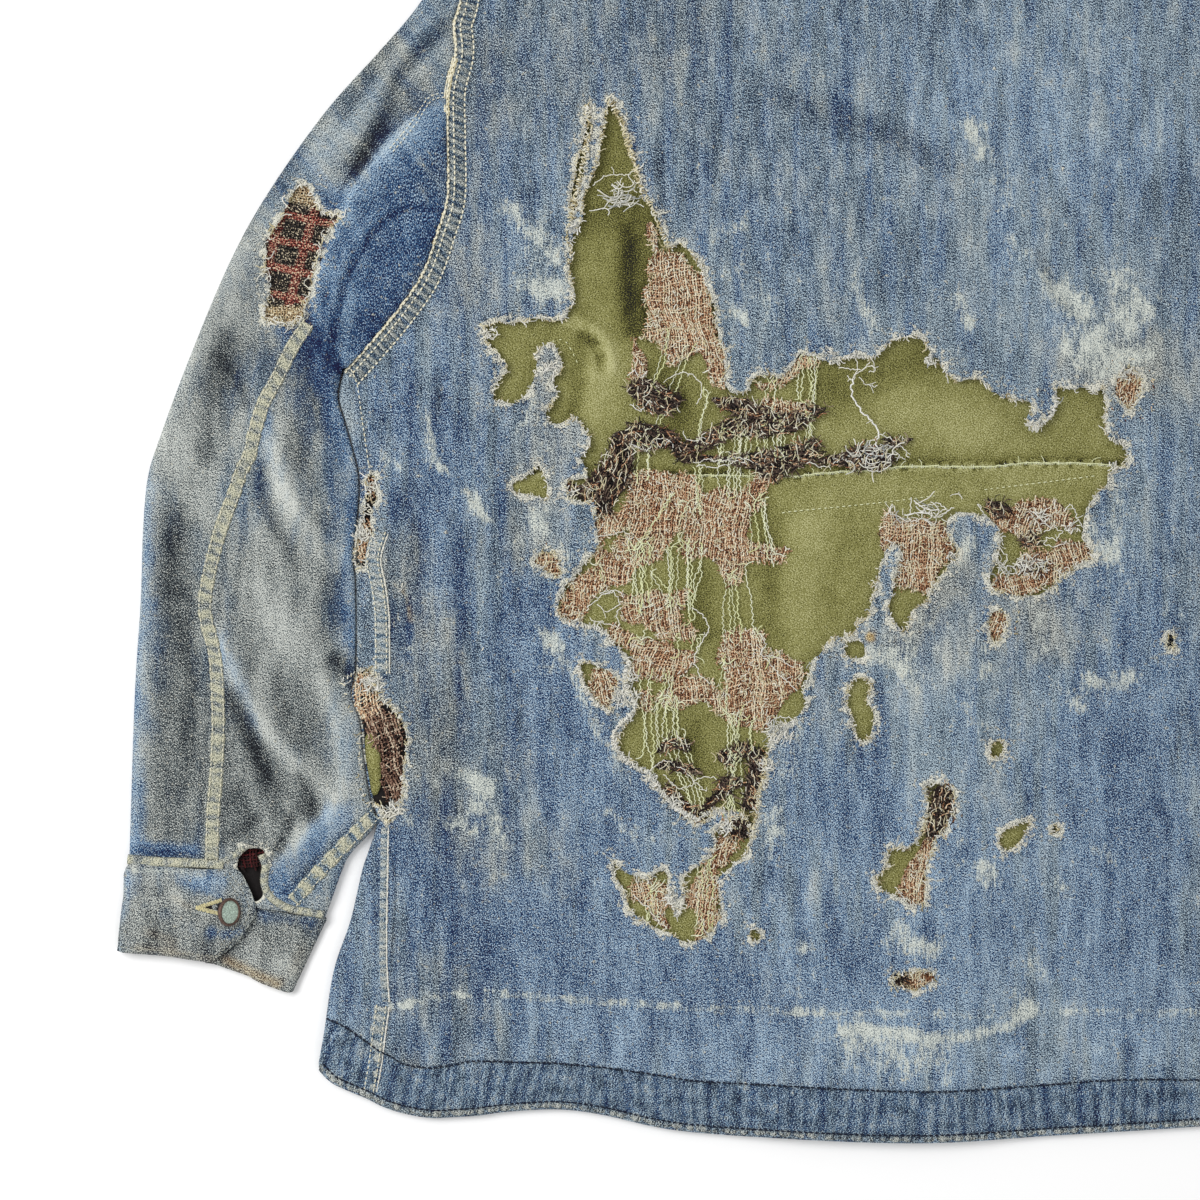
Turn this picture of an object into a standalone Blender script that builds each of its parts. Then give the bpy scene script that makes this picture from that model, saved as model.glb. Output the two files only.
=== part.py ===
"""Patched denim work jacket, laid flat with its back up.

Units are metres and +Z is up. The tables below are in millimetres and MM turns them into metres.
The origin is on the surface the jacket lies on, in the middle of its outline; +Y runs to the collar and
-X is the wearer's left. Each cut piece is a wall with its own thickness, drawn along its middle surface
and thickened with Solidify, and pieces that meet stay GAP apart.
"""
import math

import bmesh
import bpy
from mathutils import Vector

MM = 0.001

# Cloth and clearances
DENIM = 1.2
PATCH = 1.0
LINING = 1.0
GAP = 0.3

# Levels of the laid-out layers, measured to the underside of each
BACK_LEVEL = 5.4
PATCH_UPPER_LEVEL = 1.5
PATCH_LOWER_LEVEL = 2.8
LINING_LEVEL = 4.1
BUTTON_LIFT = 2.5
PLACKET_STEP = DENIM + GAP
PLACKET_HALF = 22.0
PLACKET_RIDGE = 4.2
PLACKET_FLAT = 30.0
PLACKET_REACH = 110.0
RIDGE_LINES = (-PLACKET_REACH, -PLACKET_FLAT, PLACKET_FLAT, PLACKET_REACH)
BACK_STIFFNESS = 14.0
LAP_REACH = 46.0
COLLAR_LIFT = 1.8
BACK_SHOULDER_DROP = 1.55
FRONT_SHOULDER_LIFT = 2.25
SUNK_LINING_LEVEL = 1.6

# Driving sizes of the garment
SHOULDER = (248.0, 328.0)
NECK_POINT = (85.0, 372.6)
BACK_NECK_Y = 355.2
FRONT_NECK_Y = 285.0
COLLAR_TOP_Y = 402.6
BACK_COLUMNS = 24
BUTTON_RADIUS = 8.6
BUTTON_SEGMENTS = 14
CUFF_BUTTON_PLACE = (391.5, -264.0, 13.2)
CUFF_BUTTON_TILT = 42.0
FRONT_BUTTON_RADIUS = 8.5
FRONT_BUTTON_THICK = 2.2
FRONT_BUTTONS_Y = (262.0, 142.0, 22.0, -98.0, -218.0)

# Hem edge from the side fold to the middle of the back: (distance from the middle, y)
HEM = (
    (337.0, -358.0), (325.0, -371.0), (298.0, -382.8), (263.0, -388.0), (212.0, -383.5),
    (168.0, -386.4), (122.0, -396.0), (53.0, -400.8), (0.0, -403.0),
)
# The right half of the hem in the same form
HEM_RIGHT = (
    (337.0, -358.0), (325.0, -371.0), (298.0, -382.8), (263.0, -388.0), (192.0, -393.6),
    (107.0, -399.0), (27.0, -403.2), (0.0, -403.0),
)
# Down the side of the body, from the hem up: the fold where the front turns to the back, and the side seam
SIDE = tuple(dict(zip(("fold_x", "fold_y", "seam_x", "seam_y"), row)) for row in (
    (337.0, -358.0, 306.0, -378.5),
    (334.0, -338.0, 298.0, -352.0),
    (330.0, -312.0, 294.0, -330.0),
    (326.0, -293.0, 294.0, -300.0),
    (318.0, -270.0, 292.0, -272.0),
    (311.0, -240.0, 291.0, -245.0),
    (303.0, -212.0, 291.0, -215.0),
    (306.0, -195.0, 290.0, -195.0),
    (310.0, -170.0, 289.0, -170.0),
    (314.0, -145.0, 290.0, -145.0),
    (314.5, -110.0, 294.5, -112.0),
    (315.0, -80.0, 296.0, -78.0),
    (316.0, -52.0, 300.0, -54.0),
    (314.5, -32.0, 296.5, -36.0),
    (313.0, -15.0, 301.0, -15.0),
    (318.0, 15.0, 307.5, 16.0),
    (325.0, 40.0, 313.0, 40.0),
    (330.0, 56.0, 321.0, 60.0),
))
# Armhole seam, above the side seam, up to the shoulder
ARMHOLE = (
    (321.0, 60.0), (305.0, 78.0), (288.0, 98.0), (274.0, 120.0), (265.0, 145.0), (260.0, 170.0),
    (260.0, 200.0), (260.0, 228.0), (255.0, 250.0), (255.0, 270.0), (251.0, 295.0), SHOULDER,
)
# Sections of the sleeve from the shoulder to the cuff. Each runs from its outer fold over the elbow seam
# to its inner end, which is the armhole seam in the open rows and the inner fold in the closed ones.
SLEEVE = tuple(
    dict(zip(("outer_x", "outer_y", "elbow_x", "elbow_y", "inner_x", "inner_y", "seam_in", "closed"), row))
    for row in (
        (254.9, 316.5, 248.5, 322.0, 248.5, 322.0, 0.0, False),
        (275.0, 283.0, 251.0, 295.0, 251.0, 295.0, 0.0, False),
        (297.0, 257.0, 255.0, 270.0, 255.0, 270.0, 0.0, False),
        (318.0, 233.0, 255.0, 250.0, 255.0, 250.0, 0.0, False),
        (336.0, 212.0, 260.0, 228.0, 260.0, 228.0, 0.0, False),
        (338.5, 209.0, 266.0, 223.0, 260.0, 223.0, 0.0, False),
        (352.0, 190.0, 291.0, 197.0, 260.0, 200.0, 0.0, False),
        (365.0, 171.0, 315.0, 171.0, 260.0, 170.0, 0.0, False),
        (376.0, 152.0, 328.0, 149.0, 265.0, 145.0, 0.0, False),
        (387.0, 132.0, 337.0, 127.0, 274.0, 120.0, 0.0, False),
        (397.0, 110.0, 341.0, 104.0, 288.0, 98.0, 0.0, False),
        (405.0, 91.0, 345.0, 84.0, 305.0, 78.0, 0.0, False),
        (413.4, 71.4, 356.0, 66.0, 321.0, 60.0, 0.0, False),
        (419.0, 56.0, 361.0, 57.0, 330.0, 56.0, 2.5, True),
        (425.5, 40.0, 370.0, 40.0, 325.0, 40.0, 2.5, True),
        (434.0, 15.0, 377.5, 15.0, 318.0, 15.0, 2.5, True),
        (440.7, -15.0, 388.0, -15.0, 313.0, -15.0, 2.5, True),
        (442.0, -32.0, 394.5, -32.0, 314.5, -32.0, 2.5, True),
        (443.2, -52.0, 400.5, -52.0, 316.0, -52.0, 2.5, True),
        (444.7, -80.0, 404.5, -80.0, 315.0, -80.0, 2.5, True),
        (446.0, -110.0, 399.5, -110.0, 314.5, -110.0, 2.5, True),
        (448.0, -143.0, 397.2, -143.0, 314.0, -145.0, 2.5, True),
        (449.0, -166.0, 397.3, -167.0, 310.0, -170.0, 2.5, True),
        (449.9, -188.0, 398.5, -191.0, 306.0, -195.0, 2.5, True),
        (450.4, -203.0, 399.5, -206.0, 303.0, -212.0, 2.5, True),
        (450.8, -219.0, 400.5, -222.0, 316.0, -231.0, 6.0, True),
        (451.0, -235.5, 401.0, -237.8, 333.0, -267.3, 15.0, True),
    )
)
# End of the under sleeve, beside the pointed end of the cuff and its opening
SLEEVE_END = ((400.5, -237.9), (387.0, -238.0), (379.5, -248.0), (373.5, -262.0), (364.0, -262.8))
SLEEVE_FOLD = 3.3
SLEEVE_CROWN = 1.2
SEAM_CLEAR = 0.5
FOLD_ANGLES = (60, 120)
COLLAR_FOLD = 1.6
CUTTER_LOW = 3.2
CUTTER_HIGH = 40.0

# Largest folds of the cloth: a soft ridge, or a trough where rise is negative, along a straight run
FOLDS = tuple(dict(zip(("x0", "y0", "x1", "y1", "half_width", "rise"), row)) for row in (
    (-300.0, 255.0, -372.0, 130.0, 14.0, 3.0),
    (-262.0, 262.0, -312.0, 180.0, 9.0, -2.0),
    (-268.0, 205.0, -322.0, 160.0, 15.0, 4.5),
    (-322.0, 160.0, -333.0, 95.0, 11.0, 4.5),
    (-300.0, 130.0, -318.0, 95.0, 13.0, 3.5),
    (-350.0, 45.0, -345.0, -45.0, 13.0, 3.0),
    (-410.0, 60.0, -428.0, -60.0, 12.0, 2.2),
    (-424.0, -60.0, -416.0, -200.0, 10.0, -1.5),
    (-385.0, -105.0, -342.0, -185.0, 12.0, 3.5),
    (-378.0, -150.0, -366.0, -215.0, 10.0, 2.5),
    (-180.0, 262.0, -20.0, 200.0, 16.0, 1.5),
    (20.0, 205.0, 110.0, 120.0, 14.0, 1.8),
    (110.0, 285.0, 190.0, 215.0, 16.0, 1.5),
    (-262.0, -180.0, -258.0, -330.0, 13.0, -1.2),
    (-275.0, 40.0, -272.0, -90.0, 12.0, 1.5),
    (300.0, 255.0, 372.0, 130.0, 14.0, 3.0),
    (268.0, 205.0, 326.0, 125.0, 15.0, 4.0),
    (352.0, 45.0, 345.0, -60.0, 13.0, 3.0),
    (385.0, -105.0, 342.0, -185.0, 12.0, 3.0),
))

# Worn holes, as outlines (x, y)
HOLE_MAIN = (
    (-163, 214), (-157, 203), (-151, 190), (-146, 174), (-139, 160), (-134, 148), (-131, 137), (-121, 130),
    (-109, 117), (-103, 102), (-98, 82), (-92, 66), (-88, 49), (-76, 51), (-60, 57), (-50, 66), (-40, 69),
    (-20, 69), (-3, 70), (4, 78), (20, 79), (28, 72), (38, 62), (50, 55), (62, 53), (74, 46), (89, 43),
    (88, 30), (95, 28), (104, 38), (108, 49), (133, 49), (135, 28), (146, 17), (148, 6), (137, -3),
    (133, -14), (124, -22), (122, -38), (127, -50), (108, -62), (84, -72), (68, -66), (70, -45), (64, -26),
    (44, -22), (40, -45), (30, -68), (20, -76), (18, -94), (8, -94), (5, -80), (-12, -88), (-18, -97),
    (-33, -102), (-42, -117), (-49, -133), (-50, -147), (-66, -153), (-70, -168), (-72, -196),
    (-77, -219), (-82, -204), (-97, -200), (-110, -208), (-124, -196), (-137, -178), (-152, -164),
    (-160, -149), (-166, -139), (-174, -124), (-177, -116), (-164, -120), (-157, -130), (-151, -116),
    (-153, -104), (-170, -92), (-192, -90), (-191, -72), (-178, -60), (-170, -44), (-171, -28),
    (-186, -12), (-186, -7), (-173, -5), (-176, 6), (-174, 18), (-182, 28), (-196, 28), (-198, 36),
    (-193, 60), (-191, 66), (-205, 70), (-205, 56), (-222, 38), (-233, 50), (-229, 66), (-236, 80),
    (-226, 88), (-200, 88), (-190, 92), (-184, 108), (-186, 126), (-180, 150), (-174, 176),
)
HOLE_ISLAND = (
    (-158, -237), (-145, -243), (-128, -244), (-112, -242), (-100, -236), (-98, -222), (-88, -209),
    (-80, -214), (-82, -230), (-94, -242), (-99, -262), (-104, -276), (-120, -278), (-136, -274),
    (-148, -262),
)
HOLE_LOWER = (
    (29, -190), (40, -189), (46, -199), (42, -215), (36, -222), (28, -236), (26, -256), (17, -262),
    (12, -254), (-3, -250), (-1, -242), (6, -236), (6, -228), (20, -221), (27, -208),
)
HOLE_SIDE_UPPER = ((-318, -8), (-304, -4), (-299, -28), (-297, -44), (-303, -58), (-318, -56))
HOLE_SIDE_LOWER = (
    (-322, -121), (-301, -124), (-290, -148), (-286, -160), (-285, -196), (-292, -204), (-304, -198),
    (-322, -196),
)
HOLE_SLEEVE = (
    (-352, 166), (-339, 161), (-328, 155), (-331, 142), (-338, 125), (-341, 106), (-345, 92), (-369, 90),
    (-369, 104), (-371, 128), (-363, 146),
)
HOLE_CUFF_SLIT = ((-388, -232), (-383, -226), (-372, -226), (-366, -232), (-366, -239), (-371, -244),
                  (-369.5, -258), (-371, -268), (-381, -250))
# Small worn-through spots in the back: (x, y, half width, half height, turn in degrees)
SPOTS = tuple(dict(zip(("x", "y", "half_x", "half_y", "turn"), row)) for row in (
    (-211.0, -9.0, 9.5, 6.5, -20.0),
    (-200.0, -55.0, 6.5, 9.0, 15.0),
    (-15.0, -108.0, 5.0, 5.5, 0.0),
    (-12.0, -142.0, 6.5, 16.5, 8.0),
    (71.0, -168.0, 3.6, 4.8, 0.0),
    (82.0, -218.0, 4.6, 10.5, -42.0),
    (20.0, -304.0, 11.0, 4.4, -4.0),
    (151.0, 50.0, 6.0, 10.0, 10.0),
    (70.0, -94.0, 4.0, 7.0, -18.0),
    (-75.0, -278.0, 3.2, 3.6, 20.0),
))

# Remains of the blanket lining, as outlines
LINING_PIECES = {
    "lining_upper": (
        (-140, 132), (-124, 136), (-105, 120), (-94, 90), (-84, 56), (-70, 60), (-44, 74), (-36, 70),
        (-40, 18), (-34, 8), (8, 20), (10, 4), (-60, -4), (-98, -4), (-100, 20), (-118, 24), (-120, 44),
        (-110, 62), (-134, 78), (-140, 96),
    ),
    "lining_centre": (
        (-128, 46), (-152, 54), (-162, 26), (-172, 2), (-192, -8), (-176, -28), (-172, -56), (-196, -84),
        (-168, -92), (-156, -110), (-154, -128), (-136, -140), (-110, -143), (-92, -152), (-88, -204),
        (-76, -200), (-66, -154), (-48, -146), (-46, -112), (-74, -108), (-94, -100), (-104, -56),
        (-66, -50), (-60, -44), (-72, -12), (-102, -8), (-122, 20),
    ),
    "lining_lower": (
        (-142, -146), (-134, -150), (-126, -146), (-116, -150), (-112, -176), (-102, -190), (-96, -202),
        (-110, -214), (-130, -194), (-144, -176),
    ),
    "lining_tab": ((2, -28), (24, -30), (46, -32), (44, -60), (30, -74), (10, -72), (3, -50)),
    "lining_right": (
        (62, -16), (96, -14), (118, -16), (128, -38), (132, -54), (108, -68), (86, -79), (64, -72), (66, -50),
        (98, -44), (98, -34), (72, -30),
    ),
    "lining_island": ((-146, -250), (-126, -238), (-104, -230), (-94, -205), (-82, -208), (-84, -232),
                      (-98, -246), (-100, -280), (-110, -284), (-116, -256), (-132, -262)),
    "lining_strip": ((24, -186), (50, -188), (50, -212), (36, -228), (32, -260), (14, -268), (16, -236),
                     (26, -226)),
    "lining_spot": ((6, -298), (34, -298), (34, -312), (6, -312)),
    "lining_tear": ((142, 66), (160, 64), (160, 36), (144, 36)),
    "lining_worn": ((60, -84), (78, -80), (78, -96), (68, -106), (60, -104)),
    "lining_edge": ((-212, -42), (-190, -42), (-188, -68), (-212, -66)),
}
# Remains that show through the holes of the side, the sleeve and its opening
SUNK_LININGS = {
    "lining_sleeve": ((-356, 172), (-318, 160), (-334, 86), (-378, 84), (-382, 126)),
    "lining_side_upper": ((-309, -2), (-296, -2), (-292, -62), (-309, -62)),
    "lining_side_lower": ((-308, -116), (-284, -116), (-279, -160), (-280, -206), (-299, -206)),
    "lining_cuff": ((-392, -220), (-366, -220), (-366, -248), (-392, -248)),
}
# Olive patch behind the back: its two joined pieces
PATCH_PIECES = {
    "patch_upper": (PATCH_UPPER_LEVEL, (
        (-184, 232), (-152, 232), (-100, 150), (-40, 106), (60, 102), (172, 82), (174, -24), (60, -26),
        (-60, -28), (-205, -30), (-252, -24), (-256, 108), (-212, 122),
    )),
    "patch_lower": (PATCH_LOWER_LEVEL, (
        (-254, 2), (-120, -2), (-20, -2), (60, 2), (152, 4), (156, -22), (132, -96), (104, -226),
        (60, -322), (-60, -322), (-150, -300), (-182, -262), (-214, -120), (-256, -60),
    )),
}


def smooth(low, high, value):
    """Ease from 0 at low to 1 at high."""
    t = min(1.0, max(0.0, (value - low) / (high - low)))
    return t * t * (3.0 - 2.0 * t)


def mixed(a, b, t):
    return tuple(p + (q - p) * t for p, q in zip(a, b))


def along_x(points):
    """Polyline as a function of the share of its run in x."""
    def at(share):
        x = points[0][0] + (points[-1][0] - points[0][0]) * share
        for a, b in zip(points, points[1:]):
            if min(a[0], b[0]) - 1e-6 <= x <= max(a[0], b[0]) + 1e-6:
                return x, a[1] + (b[1] - a[1]) * (x - a[0]) / (b[0] - a[0])
        return points[-1]
    return at


def rows_between(left, right, bottom, top, shares):
    """Rows of a panel from the points down its two sides and the curves along its two ends."""
    low, high = left[0][1], left[-1][1]
    rows = []
    for j, (start, end) in enumerate(zip(left, right)):
        v = (start[1] - low) / (high - low)
        row = []
        for u in shares(j):
            below, above = bottom(u), top(u)
            row.append(tuple(
                (1 - u) * start[k] + u * end[k] + (1 - v) * below[k] + v * above[k]
                - (1 - u) * (1 - v) * left[0][k] - u * (1 - v) * right[0][k]
                - (1 - u) * v * left[-1][k] - u * v * right[-1][k]
                for k in range(2)
            ))
        rows.append(row)
    return rows


def fold_rise(x, y):
    """Height that the largest folds add at a point."""
    total = 0.0
    for fold in FOLDS:
        ax, ay = fold["x0"], fold["y0"]
        dx, dy = fold["x1"] - ax, fold["y1"] - ay
        along = ((x - ax) * dx + (y - ay) * dy) / (dx * dx + dy * dy)
        clipped = min(1.0, max(0.0, along))
        away = math.hypot(x - ax - dx * clipped, y - ay - dy * clipped) / fold["half_width"]
        if away < 3.0:
            total += fold["rise"] * math.exp(-away * away)
    return total


def placket_ridge(x, y):
    """Height that the buttoned front edges give the layers above them."""
    slope = (PLACKET_REACH - abs(x)) / (PLACKET_REACH - PLACKET_FLAT)
    return PLACKET_RIDGE * min(1.0, max(0.0, slope)) * smooth(325.0, 290.0, y)


def near_shoulder(x, y):
    """1 on the shoulder line and 0 from a finger's width below it."""
    slope = (NECK_POINT[1] - SHOULDER[1]) / (SHOULDER[0] - NECK_POINT[0])
    line = NECK_POINT[1] - slope * (abs(x) - NECK_POINT[0])
    return smooth(14.0, 0.0, line - y) if abs(x) > NECK_POINT[0] - 1.0 else 0.0


def back_height(x, y):
    """Middle surface of the back and of the panels level with it."""
    level = BACK_LEVEL + DENIM / 2
    ridge = placket_ridge(max(0.0, abs(x) - BACK_STIFFNESS), y)
    return level + ridge + fold_rise(x, y) - BACK_SHOULDER_DROP * near_shoulder(x, y)


def under_height(level, thickness):
    """Height function of a layer inside the body, from the level of its underside."""
    return lambda x, y: level + thickness / 2 + placket_ridge(x, y)


def front_height(x, y, lapped):
    """Middle surface of a front; lapped is the right one, which lies on the left one's edge."""
    over_buttons = BUTTON_LIFT * smooth(LAP_REACH, PLACKET_HALF, abs(x))
    beyond_collar = abs(x) - (60.0 + 0.6 * (y - 240.0))
    over_collar = COLLAR_LIFT * smooth(56.0, 34.0, beyond_collar) * smooth(205.0, 238.0, y)
    lift = max(over_buttons, over_collar)
    lift += FRONT_SHOULDER_LIFT * near_shoulder(x, y) * (1.0 - over_collar / 2.6)
    if lapped:
        lift = max(lift, (BUTTON_LIFT + PLACKET_STEP) * smooth(LAP_REACH, PLACKET_HALF + 2.0, x))
    return DENIM / 2 + lift


def finish_material(name, colour, roughness, metallic=0.0):
    material = bpy.data.materials.new(name)
    material.use_nodes = True
    shader = material.node_tree.nodes["Principled BSDF"]
    shader.inputs["Base Color"].default_value = (*colour, 1.0)
    shader.inputs["Roughness"].default_value = roughness
    shader.inputs["Metallic"].default_value = metallic
    return material


def add_object(name, mesh, collection, material=None):
    thing = bpy.data.objects.new(name, mesh)
    collection.objects.link(thing)
    if material:
        mesh.materials.append(material)
    return thing


def sheet(name, rows, thickness, material, collection):
    """A wall through rows of middle-surface points; None leaves a place in a row empty."""
    mesh = bpy.data.meshes.new(name)
    work = bmesh.new()
    grid = [[work.verts.new([c * MM for c in p]) if p else None for p in row] for row in rows]
    for lower, upper in zip(grid, grid[1:]):
        for a, b, c, d in zip(lower, lower[1:], upper[1:], upper):
            if a and b and c and d:
                work.faces.new((a, b, c, d))
    bmesh.ops.recalc_face_normals(work, faces=work.faces)
    work.to_mesh(mesh)
    work.free()
    thing = add_object(name, mesh, collection, material)
    wall = thing.modifiers.new("wall", "SOLIDIFY")
    wall.thickness = thickness * MM
    wall.offset = 0.0
    return thing


def prism(name, outline, low, high, collection, material=None):
    """A flat outline with straight sides between two heights."""
    curve = bpy.data.curves.new(name, "CURVE")
    curve.dimensions = "2D"
    curve.fill_mode = "BOTH"
    curve.extrude = (high - low) / 2 * MM
    run = curve.splines.new("POLY")
    run.points.add(len(outline) - 1)
    for point, (x, y) in zip(run.points, outline):
        point.co = (x * MM, y * MM, 0.0, 1.0)
    run.use_cyclic_u = True
    guide = bpy.data.objects.new(name + "_outline", curve)
    collection.objects.link(guide)
    guide.location.z = (low + high) / 2 * MM
    bpy.context.view_layer.update()
    mesh = bpy.data.meshes.new_from_object(guide.evaluated_get(bpy.context.evaluated_depsgraph_get()))
    work = bmesh.new()
    work.from_mesh(mesh)
    bmesh.ops.remove_doubles(work, verts=work.verts, dist=1e-6)
    bmesh.ops.recalc_face_normals(work, faces=work.faces)
    work.to_mesh(mesh)
    work.free()
    mesh.name = name
    thing = add_object(name, mesh, collection, material)
    thing.matrix_world = guide.matrix_world.copy()
    bpy.data.objects.remove(guide)
    return thing


def cut(thing, cutter, name):
    step = thing.modifiers.new(name, "BOOLEAN")
    step.operation = "DIFFERENCE"
    step.solver = "EXACT"
    step.object = cutter


def make_cutters(collection):
    """Solids of the worn holes, one for each."""
    outlines = {
        "hole_main": HOLE_MAIN, "hole_island": HOLE_ISLAND, "hole_lower": HOLE_LOWER,
        "hole_side_upper": HOLE_SIDE_UPPER, "hole_side_lower": HOLE_SIDE_LOWER,
        "hole_sleeve": HOLE_SLEEVE, "hole_cuff_slit": HOLE_CUFF_SLIT,
    }
    for number, spot in enumerate(SPOTS, 1):
        turn = math.radians(spot["turn"])
        ring = []
        for step in range(8):
            a = math.tau * step / 8
            x, y = spot["half_x"] * math.cos(a), spot["half_y"] * math.sin(a)
            ring.append((spot["x"] + x * math.cos(turn) - y * math.sin(turn),
                         spot["y"] + x * math.sin(turn) + y * math.cos(turn)))
        outlines[f"hole_spot_{number}"] = ring
    cutters = {}
    for name, outline in outlines.items():
        cutter = prism(name, outline, CUTTER_LOW, CUTTER_HIGH, collection)
        cutter.hide_render = True
        cutter.display_type = "WIRE"
        cutters[name] = cutter
    return cutters


def hem_between(start, end):
    """Hem edge from one corner to another, through the points of the hem tables between them."""
    both = [(-x, y) for x, y in HEM] + [(x, y) for x, y in reversed(HEM_RIGHT[:-1])]
    low, high = sorted((start[0], end[0]))
    inside = [p for p in both if low + 1.0 < p[0] < high - 1.0]
    if start[0] > end[0]:
        inside.reverse()
    return along_x([start] + inside + [end])


def hem_y(x):
    """Height of the hem edge near the middle."""
    both = [(-p, y) for p, y in HEM] + [(p, y) for p, y in reversed(HEM_RIGHT[:-1])]
    return along_x(both)((x - both[0][0]) / (both[-1][0] - both[0][0]))[1]


def neck_and_shoulder(side, end_x, neck_y):
    """Top edge of a half panel from its armhole end to end_x: shoulder line, then neckline."""
    depth = NECK_POINT[1] - neck_y

    def at(share):
        x = side * SHOULDER[0] + (end_x - side * SHOULDER[0]) * share
        reach = max(0.0, side * x)
        if reach >= NECK_POINT[0]:
            t = (reach - NECK_POINT[0]) / (SHOULDER[0] - NECK_POINT[0])
            return x, NECK_POINT[1] + (SHOULDER[1] - NECK_POINT[1]) * t
        return x, neck_y + depth * (1.0 - math.sqrt(1.0 - (reach / NECK_POINT[0]) ** 2))
    return at


def make_back(collection, material, cutters):
    right = [(s["seam_x"], s["seam_y"]) for s in SIDE] + list(ARMHOLE[1:])
    left = [(-x, y) for x, y in right]

    def top(u):
        half = neck_and_shoulder(-1 if u < 0.5 else 1, 0.0, BACK_NECK_Y)
        return half(2 * u if u < 0.5 else 2 - 2 * u)

    columns = [i / BACK_COLUMNS for i in range(BACK_COLUMNS + 1)]
    places = rows_between(left, right, hem_between(left[0], right[0]), top, lambda j: columns)
    rows = [[(x, y, back_height(x, y)) for x, y in row] for row in places]
    back = sheet("back", rows, DENIM, material, collection)
    for name, cutter in cutters.items():
        if name not in ("hole_sleeve", "hole_cuff_slit"):
            cut(back, cutter, name)
    return back


def make_front(side, collection, material, cutters):
    """A front from the side seam on the back, round the fold at the side, to its buttoned edge."""
    lapped = side > 0
    edge_x = -side * PLACKET_HALF
    inset = BACK_LEVEL / 2 + DENIM / 2
    outer = [(side * (s["fold_x"] - inset), s["fold_y"]) for s in SIDE]
    outer += [(side * x, y) for x, y in ARMHOLE]
    low, high = outer[0][1], outer[-1][1]
    buttoned = [(edge_x, hem_y(edge_x) + (FRONT_NECK_Y - hem_y(edge_x)) * (y - low) / (high - low))
                for x, y in outer]

    def shares(j):
        total = abs(outer[j][0] - edge_x)
        by_buttons = [1.0 - d / total for d in (72.0, LAP_REACH, PLACKET_HALF, 0.0)]
        return [by_buttons[0] * k / 5 for k in range(5)] + by_buttons

    places = rows_between(outer, buttoned, hem_between(outer[0], buttoned[0]),
                          neck_and_shoulder(side, edge_x, FRONT_NECK_Y), shares)
    rows = []
    for j, place in enumerate(places):
        row = [(x, y, front_height(x, y, lapped)) for x, y in place]
        turned_part = [None] * 5
        if j < len(SIDE):
            x0, y0, z0 = row[0]
            top_z = back_height(x0, y0)
            middle, radius = (z0 + top_z) / 2, (top_z - z0) / 2
            seam = (side * (SIDE[j]["seam_x"] + GAP), SIDE[j]["seam_y"])
            turned_part = []
            for angle in FOLD_ANGLES:
                a = math.radians(angle)
                turned_part.append((x0 + side * radius * math.sin(a), y0, middle - radius * math.cos(a)))
            for share in (0.0, 0.5, 1.0):
                x, y = mixed((x0, y0), seam, share)
                turned_part.append((x, y, back_height(x, y)))
        rows.append(list(reversed(turned_part)) + row)
    front = sheet("front_right" if lapped else "front_left", rows, DENIM, material, collection)
    if side < 0:
        cut(front, cutters["hole_side_upper"], "hole_side_upper")
        cut(front, cutters["hole_side_lower"], "hole_side_lower")
    return front


def make_sleeve(side, collection, material, cutters):
    """Upper and under sleeve as rows of sections from the shoulder to the cuff."""
    upper_rows, under_rows = [], []
    for j, section in enumerate(SLEEVE):
        outer = Vector((side * section["outer_x"], section["outer_y"]))
        elbow = Vector((side * section["elbow_x"], section["elbow_y"]))
        inner = Vector((side * section["inner_x"], section["inner_y"]))
        run = (inner - outer).normalized()
        inner = inner - run * SEAM_CLEAR
        if (elbow - inner).length < 1.0:
            elbow = inner
        width = (inner - outer).length
        start = outer + run * SLEEVE_FOLD
        end = inner - run * SLEEVE_FOLD if section["closed"] else inner

        def on_top(point):
            w = min(1.0, max(0.0, (point - outer).dot(run) / width))
            crown = SLEEVE_CROWN * math.sin(math.pi * w)
            return point.x, point.y, BACK_LEVEL + DENIM / 2 + crown + fold_rise(point.x, point.y)

        def round_fold(point, outward):
            top = on_top(point)[2]
            radius = (top - DENIM / 2) / 2
            turn = []
            for angle in FOLD_ANGLES:
                a = math.radians(angle)
                away = point + outward * radius * math.sin(a)
                turn.append((away.x, away.y, DENIM / 2 + radius + radius * math.cos(a)))
            return turn

        row = [on_top(elbow.lerp(start, k / 3)) for k in range(4)]
        row += round_fold(start, -run)
        row += [(*start.lerp(end, k / 3), DENIM / 2) for k in range(4)]
        if section["closed"]:
            seam = end - run * section["seam_in"]
            row += reversed(round_fold(end, run))
            row += [on_top(end), on_top(seam + run * SEAM_CLEAR)]
        else:
            seam = end
            row += [None] * 4
        upper_rows.append(row)
        if elbow is not inner:
            first = elbow + (seam - elbow).normalized() * SEAM_CLEAR
            places = [first.lerp(seam, k / 5) for k in range(6)]
            if j == len(SLEEVE) - 1:
                places = [Vector((side * x, y)) for x, y in SLEEVE_END] + [seam]
            under_rows.append([on_top(p) for p in places])
    word = "right" if side > 0 else "left"
    upper = sheet(f"sleeve_upper_{word}", upper_rows, DENIM, material, collection)
    under = sheet(f"sleeve_under_{word}", under_rows, DENIM, material, collection)
    if side < 0:
        cut(upper, cutters["hole_sleeve"], "hole_sleeve")
        cut(under, cutters["hole_sleeve"], "hole_sleeve")
        cut(under, cutters["hole_cuff_slit"], "hole_cuff_slit")


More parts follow.
